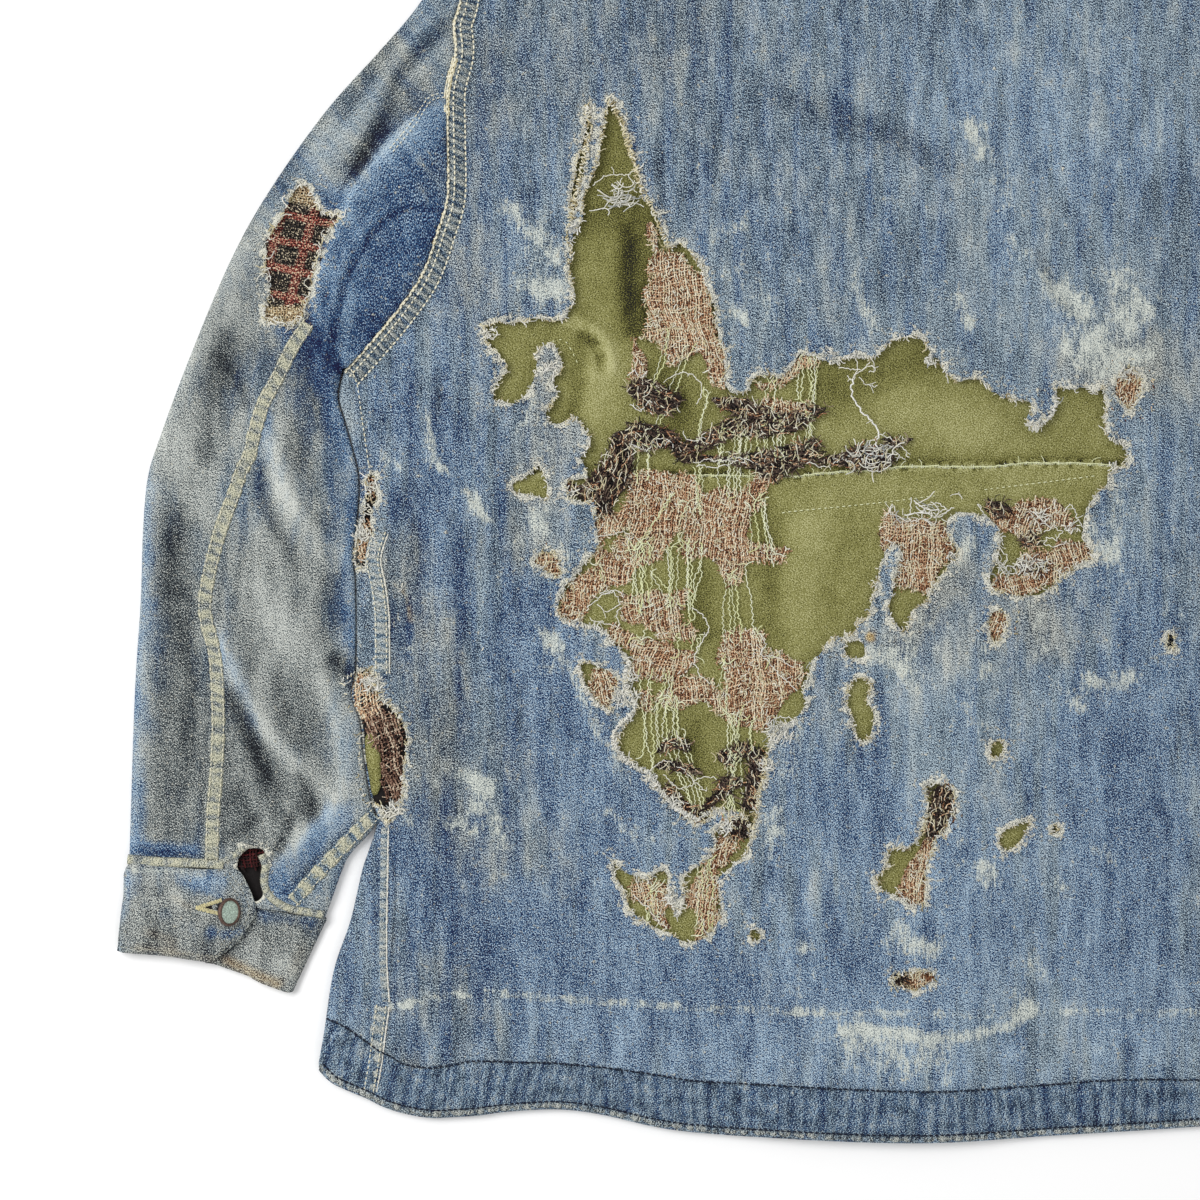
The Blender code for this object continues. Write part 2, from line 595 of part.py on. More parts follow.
# Cuff band from its button end, round both folds, to its pointed end: edge at the sleeve, free edge, height
CUFF_STATIONS = tuple(dict(zip(("x_top", "y_top", "x_free", "y_free", "z"), row)) for row in (
    (398.0, -264.0, 402.0, -291.0, 3.2),
    (380.0, -264.0, 386.0, -297.5, 3.4),
    (371.0, -264.6, 374.0, -303.5, 5.2),
    (352.0, -267.0, 363.0, -309.0, 5.6),
    (337.0, -268.6, 356.0, -311.8, 5.2),
    (334.0, -268.9, 352.5, -313.0, 3.0),
    (337.0, -268.2, 356.0, -311.8, 0.6),
    (395.0, -252.6, 404.0, -296.0, 0.6),
    (447.5, -238.4, 454.5, -288.4, 0.6),
    (450.6, -237.6, 457.8, -287.4, 3.2),
    (447.5, -237.6, 454.5, -288.2, 5.8),
    (420.0, -238.9, 428.0, -291.0, 6.2),
    (395.0, -240.2, 401.4, -294.6, 6.5),
    (387.0, -241.6, 392.0, -287.0, 6.5),
    (381.0, -251.0, 383.0, -277.0, 6.5),
    (376.6, -259.0, 376.6, -266.5, 6.5),
))


def make_cuff(side, collection, material):
    rows = []
    for station in CUFF_STATIONS:
        row = []
        for k in range(4):
            x, y = mixed((station["x_top"], station["y_top"]), (station["x_free"], station["y_free"]), k / 3)
            row.append((side * x, y, station["z"]))
        rows.append(row)
    return sheet("cuff_right" if side > 0 else "cuff_left", rows, DENIM, material, collection)


def turned(name, profile, segments, collection, material):
    """A turned piece from (radius, height) pairs, listed down its outer side."""
    mesh = bpy.data.meshes.new(name)
    work = bmesh.new()
    points = [work.verts.new((r * MM, 0.0, z * MM)) for r, z in profile]
    for a, b in zip(points, points[1:]):
        work.edges.new((a, b))
    work.to_mesh(mesh)
    work.free()
    thing = add_object(name, mesh, collection, material)
    spin = thing.modifiers.new("turn", "SCREW")
    spin.steps = spin.render_steps = segments
    spin.use_merge_vertices = True
    spin.merge_threshold = 1e-5
    return thing


def make_buttons(collection, material):
    """Shank buttons on the cuffs, leaning as they lie, and the flat row under the fronts."""
    shank = ((0.0, 3.4), (6.6, 3.2), (BUTTON_RADIUS, 2.8), (BUTTON_RADIUS, 1.4), (7.2, 0.6), (2.6, 0.4),
             (2.4, -3.2), (0.0, -3.4))
    for side, word in ((-1, "left"), (1, "right")):
        button = turned(f"cuff_button_{word}", shank, BUTTON_SEGMENTS, collection, material)
        x, y, z = CUFF_BUTTON_PLACE
        button.location = (side * x * MM, y * MM, z * MM)
        button.rotation_euler = (0.0, -side * math.radians(CUFF_BUTTON_TILT), 0.0)
    flat = ((0.0, 2.2), (7.4, 2.2), (FRONT_BUTTON_RADIUS, 1.5), (FRONT_BUTTON_RADIUS, 0.7), (7.4, 0.0),
            (0.0, 0.0))
    for number, y in enumerate(FRONT_BUTTONS_Y, 1):
        button = turned(f"front_button_{number}", flat, BUTTON_SEGMENTS, collection, material)
        button.location = (0.0, y * MM, 0.0)


# Collar from the middle of the back to its front end: neck seam, fold and outer edge, each (x, y, z)
COLLAR = tuple(dict(zip(("seam", "fold", "edge"), row)) for row in (
    ((0.0, BACK_NECK_Y + 0.9, 6.0), (0.0, COLLAR_TOP_Y, 6.8), (0.0, 333.0, 7.6)),
    ((24.0, 358.2, 6.0), (25.0, 401.4, 6.8), (34.0, 332.6, 7.6)),
    ((48.0, 361.4, 6.0), (50.0, 397.5, 6.8), (74.0, 331.0, 7.6)),
    ((68.0, 368.2, 5.8), (74.0, 392.0, 6.7), (106.0, 328.0, 7.6)),
    ((79.0, 374.8, 5.2), (88.0, 386.0, 6.0), (124.0, 345.0, 7.5)),
    ((82.0, 377.6, 4.4), (93.0, 384.0, 5.0), (131.0, 368.0, 6.2)),
    ((83.0, 378.6, 3.2), (94.0, 385.0, 3.2), (133.0, 371.0, 3.2)),
    ((81.0, 377.0, 1.5), (92.0, 382.6, 1.0), (131.0, 368.0, 0.6)),
    ((74.0, 362.0, 2.0), (62.0, 368.0, 1.3), (127.0, 346.0, 0.6)),
    ((60.0, 327.0, 2.4), (46.0, 340.0, 1.5), (108.0, 300.0, 0.6)),
    ((38.0, 302.0, 2.4), (28.0, 316.0, 1.5), (84.0, 262.0, 0.6)),
    ((7.0, 290.0, 2.4), (6.0, 303.0, 1.5), (58.0, 240.0, 0.6)),
))


def make_collar(collection, material):
    """The stand from the neck seam to the fold, and the fall turned back over it."""
    rows = []
    order = [(-1, s) for s in reversed(COLLAR)] + [(1, s) for s in COLLAR[1:]]
    for sign, station in order:
        seam, fold, edge = (Vector(station[k]) for k in ("seam", "fold", "edge"))
        stand_end = fold + (seam - fold).normalized() * COLLAR_FOLD
        fall_start = fold + (edge - fold).normalized() * COLLAR_FOLD
        stand_end.z = seam.z
        fall_start.z = edge.z
        points = [seam, seam.lerp(stand_end, 0.5), stand_end, fold]
        points += [fall_start, fall_start.lerp(edge, 0.33), fall_start.lerp(edge, 0.67), edge]
        rows.append([(sign * p.x, p.y, p.z) for p in points])
    return sheet("collar", rows, DENIM, material, collection)


def flat_piece(name, outline, height, thickness, collection, material):
    """A piece that lies on the layer below: its outline, bent where the layers bend over the front edges."""
    mesh = bpy.data.meshes.new(name)
    work = bmesh.new()
    ring = [work.verts.new((x * MM, y * MM, 0.0)) for x, y in outline]
    face = work.faces.new(ring)
    turns = sum(a[0] * b[1] - b[0] * a[1] for a, b in zip(outline, outline[1:] + outline[:1]))
    if face.normal.z < 0 or turns < 0:
        face.normal_flip()
    for x in RIDGE_LINES:
        everything = work.verts[:] + work.edges[:] + work.faces[:]
        bmesh.ops.bisect_plane(work, geom=everything, plane_co=(x * MM, 0, 0), plane_no=(1, 0, 0), dist=1e-6)
    bmesh.ops.triangulate(work, faces=work.faces[:])
    for vert in work.verts:
        vert.co.z = height(vert.co.x / MM, vert.co.y / MM) * MM
    work.to_mesh(mesh)
    work.free()
    thing = add_object(name, mesh, collection, material)
    wall = thing.modifiers.new("wall", "SOLIDIFY")
    wall.thickness = thickness * MM
    wall.offset = 0.0
    return thing


def main():
    for thing in list(bpy.data.objects):
        bpy.data.objects.remove(thing)
    scene = bpy.context.scene
    parts = bpy.data.collections.new("patched_denim_jacket")
    cutting = bpy.data.collections.new("cutters")
    scene.collection.children.link(parts)
    scene.collection.children.link(cutting)

    denim = finish_material("denim", (0.10, 0.16, 0.26), 0.9)
    sleeve_denim = finish_material("sleeve_denim", (0.15, 0.18, 0.22), 0.9)
    olive = finish_material("olive_cotton", (0.20, 0.22, 0.06), 0.85)
    blanket = finish_material("blanket_lining", (0.30, 0.15, 0.11), 0.95)
    button = finish_material("button", (0.45, 0.46, 0.42), 0.4, 0.4)

    cutters = make_cutters(cutting)
    make_back(parts, denim, cutters)
    for side in (-1, 1):
        make_front(side, parts, denim, cutters)
        make_sleeve(side, parts, sleeve_denim, cutters)
        make_cuff(side, parts, sleeve_denim)
    make_collar(parts, denim)
    make_buttons(parts, button)
    for name, (level, outline) in PATCH_PIECES.items():
        flat_piece(name, outline, under_height(level, PATCH), PATCH, parts, olive)
    for name, outline in LINING_PIECES.items():
        flat_piece(name, outline, under_height(LINING_LEVEL, LINING), LINING, parts, blanket)
    for name, outline in SUNK_LININGS.items():
        flat_piece(name, outline, under_height(SUNK_LINING_LEVEL, LINING), LINING, parts, blanket)


main()
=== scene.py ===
"""Looks of the patched denim work jacket, laid flat with its back up.

Tables are in millimetres, seen from above: x runs towards the wearer's right and y towards the collar.
MM turns them into metres. Every panel is a thin shell on the form of its solid, with its folds, worn holes
and stains, and painted shade and highlight along its folds and raised edges; seams, stitches, torn yarns
and frayed edges are pieces of their own that lie on the panels.
"""
import math
import random

import bmesh
import bpy
import numpy as np
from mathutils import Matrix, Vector
from mathutils.geometry import delaunay_2d_cdt
from mathutils.kdtree import KDTree


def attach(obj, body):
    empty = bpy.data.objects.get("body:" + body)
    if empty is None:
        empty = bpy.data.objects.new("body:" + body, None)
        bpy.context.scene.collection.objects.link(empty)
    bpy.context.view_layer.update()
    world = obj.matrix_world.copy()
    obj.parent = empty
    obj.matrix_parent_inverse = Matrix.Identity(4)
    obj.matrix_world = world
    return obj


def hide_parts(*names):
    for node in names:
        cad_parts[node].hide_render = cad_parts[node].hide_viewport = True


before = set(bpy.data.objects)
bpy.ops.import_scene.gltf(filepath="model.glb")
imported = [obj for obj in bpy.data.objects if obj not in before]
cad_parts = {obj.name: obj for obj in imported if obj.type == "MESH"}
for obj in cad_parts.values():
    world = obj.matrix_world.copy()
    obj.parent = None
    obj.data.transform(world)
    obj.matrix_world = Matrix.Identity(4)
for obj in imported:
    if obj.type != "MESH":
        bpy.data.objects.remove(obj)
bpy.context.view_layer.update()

MM = 0.001

# Layers of the laid-out jacket: height of each one's upper face, and how thick its cloth is
BODY_TOP = 7.0
BODY_BOTTOM = 0.2
SLEEVE_TOP = 7.2
PATCH_UPPER_TOP = 2.9
PATCH_LOWER_TOP = 4.1
LINING_MIDDLE = 5.3
CUFF_OVER_TOP = 7.6
CUFF_UNDER_TOP = 5.2
DENIM_THICK = 0.9
COTTON_THICK = 0.5
FOLD_REACH = 4.5

# Points of a panel: how far apart, in the open cloth and beside a worn hole
OPEN_STEP = 4.9
HOLE_STEP = 2.3
HOLE_REACH = 7.0


# ---------------------------------------------------------------- curves and fields

def curve(points, step, closed=False):
    """Points about a step apart on a smooth curve through the given ones."""
    points = np.array(points, float)
    count = len(points)
    made = []
    last = count if closed else count - 1
    for i in range(last):
        if closed:
            a, b, c, d = (points[(i + k) % count] for k in (-1, 0, 1, 2))
        else:
            b, c = points[i], points[i + 1]
            a = points[i - 1] if i else 2 * b - c
            d = points[i + 2] if i + 2 < count else 2 * c - b
        pieces = max(1, int(round(math.dist(b, c) / step)))
        for t in np.arange(pieces) / pieces:
            made.append(0.5 * (2 * b + (c - a) * t + (2 * a - 5 * b + 4 * c - d) * t * t
                               + (3 * b - a - 3 * c + d) * t ** 3))
    if not closed:
        made.append(points[-1])
    return np.array(made)


def length_of(path):
    return float(np.hypot(*np.diff(path, axis=0).T).sum())


def evenly(path, count):
    """The same path with count points at even distances."""
    run = np.concatenate([[0], np.cumsum(np.hypot(*np.diff(path, axis=0).T))])
    places = np.linspace(0, run[-1], count)
    return np.stack([np.interp(places, run, path[:, k]) for k in range(path.shape[1])], axis=1)


def beside(path, distance):
    """A path moved to its left by a distance."""
    ahead = np.gradient(path, axis=0)
    ahead /= np.maximum(np.hypot(*ahead.T), 1e-9)[:, None]
    return path + np.stack([-ahead[:, 1], ahead[:, 0]], axis=1) * distance


def ragged(points, amount, seed, step=1.3):
    """A torn outline: the smooth closed curve with small uneven bites and tongues."""
    draw = random.Random(seed)
    path = curve(points, step, closed=True)
    count = len(path)
    swing = np.zeros(count)
    for waves, share in ((count / 2, 0.45), (count / 4.5, 0.55), (count / 8, 0.7), (count / 15, 0.8)):
        waves = max(2, int(waves))
        marks = [draw.uniform(-1, 1) for _ in range(waves)]
        marks.append(marks[0])
        swing += share * np.interp(np.arange(count) / count * waves, np.arange(waves + 1), marks)
    closed = np.concatenate([path[-1:], path, path[:1]])
    ahead = closed[2:] - closed[:-2]
    ahead /= np.maximum(np.hypot(*ahead.T), 1e-9)[:, None]
    return path + np.stack([-ahead[:, 1], ahead[:, 0]], axis=1) * (swing * amount)[:, None]


def inside(x, y, outline):
    """Which points lie within a closed outline."""
    found = np.zeros(np.shape(x), bool)
    for (ax, ay), (bx, by) in zip(outline, np.roll(outline, -1, axis=0)):
        if ay == by:
            continue
        crossing = (ay > y) != (by > y)
        found ^= crossing & (x < (bx - ax) * (y - ay) / (by - ay) + ax)
    return found


def nearest(x, y, path):
    """Distance from each point to a path, the share of it there, and 1 on its left or -1 on its right."""
    x, y = np.asarray(x, float), np.asarray(y, float)
    path = np.asarray(path, float)
    pieces = np.maximum(np.hypot(*np.diff(path, axis=0).T), 1e-9)
    total = pieces.sum()
    distance = np.full(x.shape, 1e9)
    share = np.zeros(x.shape)
    side = np.ones(x.shape)
    start = 0.0
    for (ax, ay), (bx, by), size in zip(path[:-1], path[1:], pieces):
        dx, dy = (bx - ax) / size, (by - ay) / size
        along = np.clip((x - ax) * dx + (y - ay) * dy, 0, size)
        gap = np.hypot(x - ax - along * dx, y - ay - along * dy)
        closer = gap < distance
        distance = np.where(closer, gap, distance)
        share = np.where(closer, (start + along) / total, share)
        side = np.where(closer, np.where(dx * (y - ay) - dy * (x - ax) > 0, 1.0, -1.0), side)
        start += size
    return distance, share, side


def ease(low, high, value):
    """0 at low, 1 at high, with a soft start and end."""
    t = np.clip((np.asarray(value, float) - low) / (high - low), 0, 1)
    return t * t * (3 - 2 * t)


def wander(x, y, size, seed):
    """A slow, uneven wave between -1 and 1 with bumps about a size across."""
    draw = random.Random(seed)
    total = np.zeros(np.shape(x))
    for _ in range(6):
        angle = draw.uniform(0, math.tau)
        pace = math.tau / (size * draw.uniform(0.7, 1.9))
        phase = draw.uniform(0, math.tau)
        turned_x = np.asarray(x) * math.cos(angle) + np.asarray(y) * math.sin(angle)
        total = total + np.sin(turned_x * pace + phase)
    return total / 3.4


def folds_at(x, y, table):
    """Height that soft ridges and troughs add at each point."""
    total = np.zeros(np.shape(x))
    for rise, left, right, path in table:
        distance, share, side = nearest(x, y, path)
        width = np.where(side > 0, left, right)
        ends = ease(0, 0.16, share) * ease(1, 0.84, share)
        round_the_end = np.where((share <= 0) | (share >= 1), 0.0, 1.0)
        total = total + rise * np.exp(-(distance / width) ** 2) * np.maximum(ends * round_the_end, 0)
    return total


def strokes_at(x, y, table, kind):
    """Strength of one kind of mark at each point, from its soft brush strokes; some kinds carry painted
    shade and highlight.
    """
    total = np.zeros(np.shape(x))
    for name, amount, width, path in table:
        if name == kind:
            if len(path) == 1:
                distance = np.hypot(x - path[0][0], y - path[0][1])
            else:
                distance = nearest(x, y, path)[0]
            total = total + amount * np.exp(-(distance / width) ** 2)
    return total


def mirrored(table):
    """Rows of folds, or strokes of fading, stains and painted shade, turned over to the other side of the
    jacket.
    """
    flipped = []
    for row in table:
        path = tuple((-x, y) for x, y in row[-1])
        if isinstance(row[0], str):
            flipped.append((*row[:-1], path))
        else:
            flipped.append((row[0], row[2], row[1], path))
    return tuple(flipped)


# ---------------------------------------------------------------- outlines of the jacket

SIDE_FOLD = (
    (-337, -358), (-337, -355), (-334, -338), (-328, -300), (-318, -270), (-311, -240), (-307, -228),
    (-302, -210), (-306, -195), (-310, -170), (-312, -150), (-317, -135), (-314.5, -118), (-314.5, -70),
    (-316, -50), (-313.5, -30), (-312.5, -5), (-316, 12), (-321, 30), (-325, 45), (-322, 61)
)
SIDE_SEAM = (
    (-306, -377), (-299, -357), (-296, -344), (-293, -330), (-294, -315), (-293, -290), (-291, -270),
    (-290, -250), (-291, -240), (-295, -215), (-290, -195), (-288, -170), (-288, -150), (-293, -140),
    (-295, -110), (-296, -75), (-300, -55), (-293, -40), (-298, -30), (-305, 0), (-308, 15), (-312, 40),
    (-320, 60)
)
ARMHOLE = (
    (-321, 60), (-305, 78), (-290, 96), (-275, 118), (-266, 143), (-260, 165), (-260, 200), (-260, 228),
    (-255, 250), (-256, 268), (-252, 283), (-248, 328)
)
SHOULDER = (-248.0, 328.0)
NECK = (-85.0, 372.6)
NECK_DEPTH = 17.4
HEM_EDGE = (
    (-337, -360), (-330, -367), (-320, -372), (-308, -377), (-298, -382), (-285, -386), (-270, -388.5),
    (-255, -388), (-240, -387), (-225, -385), (-195, -383.4), (-168, -386.4), (-122, -396), (-53, -400.8),
    (27, -403.2), (107, -399), (192, -393.6), (250, -388), (300, -382), (325, -371), (337, -360)
)
HEM_TOP = (
    (-331, -328), (-320, -333), (-310, -340), (-300, -347), (-292, -351), (-285, -355), (-270, -357),
    (-255, -355), (-243, -353), (-212, -354), (-200, -354), (-165, -357), (-150, -359), (-130, -362),
    (-110, -365), (-70, -367), (-30, -369), (30, -371), (90, -368), (130, -365), (165, -364), (192, -364),
    (250, -358), (300, -347), (331, -330)
)
SLEEVE_OUTER = (
    (-248, 328), (-275.4, 282.6), (-300, 253), (-333, 216), (-367, 168), (-390, 126.6), (-413.4, 71.4),
    (-431.4, 23.4), (-439.8, -4.2), (-442.8, -39), (-444, -77.4), (-447.6, -135), (-450.6, -224.4),
    (-451.2, -236)
)
SLEEVE_INNER = (
    (-333, -268), (-328, -254), (-323, -240), (-318, -230), (-306, -217), (-302.6, -209), (-306.6, -195),
    (-310.6, -170), (-312.6, -150), (-317.5, -135), (-315, -118), (-315, -70), (-316.5, -50), (-314, -30),
    (-313, -5), (-316.5, 12), (-321.5, 30), (-325.5, 45), (-322.5, 61)
)
SLEEVE_END = (
    (-451.2, -236), (-420, -237.6), (-400.5, -238.5), (-393, -239.5), (-388, -241), (-380, -252),
    (-373.5, -262), (-364, -263.5), (-333, -268)
)
ELBOW_TOP = (
    (-260, 229), (-272, 225), (-283, 208), (-300, 188), (-312, 175), (-322, 160), (-330, 145),
    (-336, 130), (-339, 115), (-341, 96), (-343, 88)
)
ELBOW = (
    (-343, 88), (-352, 75), (-362, 55), (-370, 40), (-376, 20), (-378, 10), (-383, 0), (-388, -15),
    (-393, -28), (-397, -40), (-402, -60), (-405, -78), (-404, -90), (-400, -105), (-398, -120),
    (-397, -150), (-398, -180), (-400, -205), (-401, -233)
)
INNER_SEAM = ((-303, -206), (-318, -221), (-335, -239), (-352, -258))

# Worn holes in the back
HOLE_MAIN = (
    (-162, 222), (-155, 210), (-150, 193), (-147, 183), (-145, 172), (-139, 162), (-134, 152),
    (-131, 143), (-127, 134), (-120, 135), (-112, 126), (-106, 119), (-104, 112), (-101, 102), (-99, 92),
    (-97, 80), (-95, 72), (-91, 50), (-80, 48), (-74, 55), (-60, 57), (-52, 64), (-49, 71), (-40, 70),
    (-30, 66), (-20, 68), (-5, 68), (2, 72), (4, 78), (12, 80), (22, 80), (27, 76), (30, 70), (35, 64),
    (42, 57), (48, 54), (60, 55), (68, 48), (80, 43), (90, 41), (89, 33), (88, 29), (92, 26), (97, 28),
    (103, 34), (106, 42), (104, 50), (117, 48), (122, 50), (128, 46), (134, 50), (135, 35), (138, 20),
    (145, 17), (148, 11), (148, 5), (143, 1), (137, -3), (135, -9), (130, -15), (123, -22), (122, -40),
    (128, -52), (117, -58), (108, -65), (98, -72), (85, -75), (70, -73), (67, -65), (69, -55), (71, -42),
    (68, -33), (57, -27), (50, -25), (42, -30), (42, -40), (45, -50), (38, -60), (33, -68), (28, -76),
    (20, -84), (13, -96), (8, -88), (7, -76), (10, -60), (13, -48), (8, -43), (3, -52), (-1, -62),
    (-4, -74), (-7, -86), (-15, -90), (-18, -97), (-30, -100), (-40, -112), (-44, -120), (-48, -131),
    (-47, -140), (-57, -152), (-65, -160), (-68, -172), (-72, -185), (-74, -200), (-77, -219),
    (-81, -206), (-95, -203), (-109, -209), (-120, -203), (-133, -189), (-138, -181), (-150, -175),
    (-159, -162), (-155, -152), (-146, -143), (-152, -127), (-150, -112), (-160, -103), (-168, -95),
    (-187, -92), (-193, -88), (-192, -80), (-182, -60), (-171, -46), (-170, -30), (-173, -20),
    (-186, -16), (-187, -8), (-174, -4), (-179, 8), (-174, 17), (-183, 33), (-190, 29), (-199, 33),
    (-194, 46), (-196, 55), (-191, 63), (-198, 76), (-206, 70), (-207, 57), (-217, 42), (-230, 42),
    (-232, 49), (-224, 62), (-235, 78), (-233, 86), (-210, 89), (-191, 90), (-184, 105), (-186, 128),
    (-184, 142), (-179, 152), (-177, 163), (-173, 176), (-169, 190), (-165, 205)
)
HOLE_ISLAND = (
    (-160, -233), (-156, -238), (-147, -243), (-140, -246), (-130, -242), (-127, -250), (-122, -267),
    (-118, -258), (-118, -243), (-110, -237), (-103, -232), (-99, -225), (-97, -214), (-85, -209),
    (-78, -212), (-80, -228), (-88, -237), (-95, -244), (-97, -260), (-96, -268), (-101, -274),
    (-107, -281), (-118, -281), (-127, -277), (-140, -270), (-147, -264), (-152, -255), (-157, -243)
)
HOLE_LOWER = (
    (29, -190), (40, -189), (45, -195), (43, -207), (38, -217), (31, -224), (28, -235), (27, -255),
    (20, -260), (13, -256), (6, -253), (-2, -250), (-3, -243), (5, -237), (5, -228), (12, -226),
    (22, -222), (26, -213), (29, -200)
)
SMALL_HOLES = {
    "left": (
        (-219, -7), (-213, -4), (-206, 3), (-203, 0), (-200, -8), (-200, -17), (-206, -15), (-219, -12)
    ),
    "left_low": ((-208, -54), (-204, -50), (-195, -50), (-193, -63), (-203, -57)),
    "long": (
        (-181, -117), (-175, -115), (-163, -121), (-158, -127), (-160, -137), (-162, -143), (-170, -139),
        (-177, -128)
    ),
    "dot": ((-78, -275), (-74, -276), (-72, -280), (-76, -281)),
    "upper_mid": ((-21, -103), (-15, -102), (-11, -104), (-11, -111), (-20, -111)),
    "mid": (
        (-17, -127), (-11, -125), (-6, -129), (-8, -137), (-4, -144), (-5, -153), (-8, -161), (-13, -162),
        (-17, -150), (-20, -138)
    ),
    "leaf": ((73, -226), (72, -220), (76, -215), (89, -210), (88, -216), (78, -227)),
    "pin": ((103, -213), (106, -212), (107, -216), (104, -217)),
    "pair": ((67, -164), (72, -162), (75, -167), (72, -172), (67, -171)),
    "low_right": ((8, -305), (10, -301), (28, -300), (32, -305), (22, -310), (12, -309)),
    "tear": ((143, 44), (141, 48), (143, 56), (150, 62), (157, 54), (154, 43), (150, 36)),
    "worn": ((66, -86), (74, -84), (76, -92), (71, -101), (66, -100)),
    "far": ((173, -98), (177, -99), (176, -107), (172, -105)),
    "slit": (
        (-175.5, 219), (-173.4, 212), (-174, 200), (-177, 186), (-181, 168), (-184.5, 152), (-186, 160),
        (-182.4, 178), (-177.6, 200)
    ),
}
HOLE_SIDE_UPPER = (
    (-307.5, -4), (-304, -4), (-303, -12), (-303.5, -18), (-305.5, -24), (-304.5, -34), (-303, -40),
    (-305, -48), (-309, -56), (-314, -56), (-315, -44), (-312.5, -34), (-309.5, -27), (-308, -14)
)
HOLE_SIDE_LOWER = (
    (-321, -126), (-313, -121), (-304, -122), (-300, -136), (-291, -144), (-286, -154), (-285, -170),
    (-286, -192), (-290, -201), (-295, -210), (-300, -202), (-309, -198), (-313, -170), (-313, -150),
    (-320, -138)
)
HOLE_SLEEVE = (
    (-347, 173), (-341, 168), (-336, 157), (-326, 152), (-334, 138), (-338, 128), (-340, 115),
    (-341, 103), (-346, 93), (-351, 89), (-367, 90), (-368, 96), (-366, 108), (-370, 120), (-368, 130),
    (-365, 141), (-360, 150), (-354, 163)
)
CUFF_SLIT = (
    (-385.5, -237), (-384, -231), (-379, -226.5), (-371, -226.5), (-368, -232), (-369, -240),
    (-370, -248), (-370.5, -255), (-375, -258), (-379, -252), (-383, -244)
)

# Folds of the cloth: height, width to the left and right of the run, and the run
BODY_FOLDS = (
    (-2.6, 6, 9, ((-74, 230), (-40, 219), (-10, 207), (15, 199), (48, 180))),
    (-2.6, 3, 3, ((96, 132), (105, 108), (115, 98), (124, 90))),
    (2.0, 5, 5, ((84, 134), (96, 118), (108, 100))),
    (-1.5, 2.6, 2.6, ((-132, 204), (-131, 175), (-128, 146))),
    (2.2, 4, 4, ((-300, 9), (-287, 3), (-276, -4), (-270, -14))),
    (2.4, 4, 3, ((-274, 16), (-264, 4), (-255, -9), (-246, -22), (-240, -36))),
    (-1.8, 4, 4, ((-292, -6), (-284, -18), (-278, -34), (-278, -56))),
    (1.8, 7, 4, ((-268, -16), (-262, -40), (-262, -80), (-264, -140))),
    (-1.6, 4, 5, ((-252, -26), (-250, -60), (-252, -110), (-256, -180))),
    (1.2, 7, 7, ((-238, -50), (-236, -100), (-240, -170))),
    (-1.4, 3, 3, ((-264, 62), (-265, 44), (-266, 26))),
    (-1.4, 4, 4, ((-222, 10), (-219, -30), (-214, -60))),
    (0.9, 1.6, 1.6, ((-231, 196), (-219, 212), (-206, 227))),
    (1.6, 14, 16, ((-190, 266), (-100, 240), (-20, 204))),
    (1.6, 12, 14, ((20, 212), (70, 172), (115, 118))),
    (1.5, 16, 16, ((100, 292), (150, 250), (196, 212))),
    (-1.3, 10, 10, ((-262, -190), (-256, -260), (-258, -335))),
    (1.3, 12, 12, ((-276, 60), (-272, -10), (-274, -90))),
    (-1.0, 9, 9, ((-215, -120), (-224, -210), (-220, -300))),
    (1.1, 12, 10, ((-60, -250), (-52, -300), (-56, -350))),
    (-1.1, 10, 10, ((70, -260), (84, -310), (80, -356))),
    (1.2, 12, 12, ((150, -150), (160, -230), (150, -330))),
    (-1.2, 8, 8, ((120, 30), (160, -20), (186, -60))),
    (1.4, 14, 10, ((215, 250), (240, 180), (238, 90))),
    (-1.3, 9, 9, ((262, -120), (256, -220), (262, -330))),
    (1.6, 12, 12, ((276, 70), (268, -20), (276, -100))),
    (1.5, 5, 5, ((298, 6), (276, -6), (246, -24))),
    (1.2, 5, 5, ((-240, 250), (-225, 285), (-190, 318))),
    (1.2, 5, 5, ((238, 246), (228, 282), (196, 316))),
)
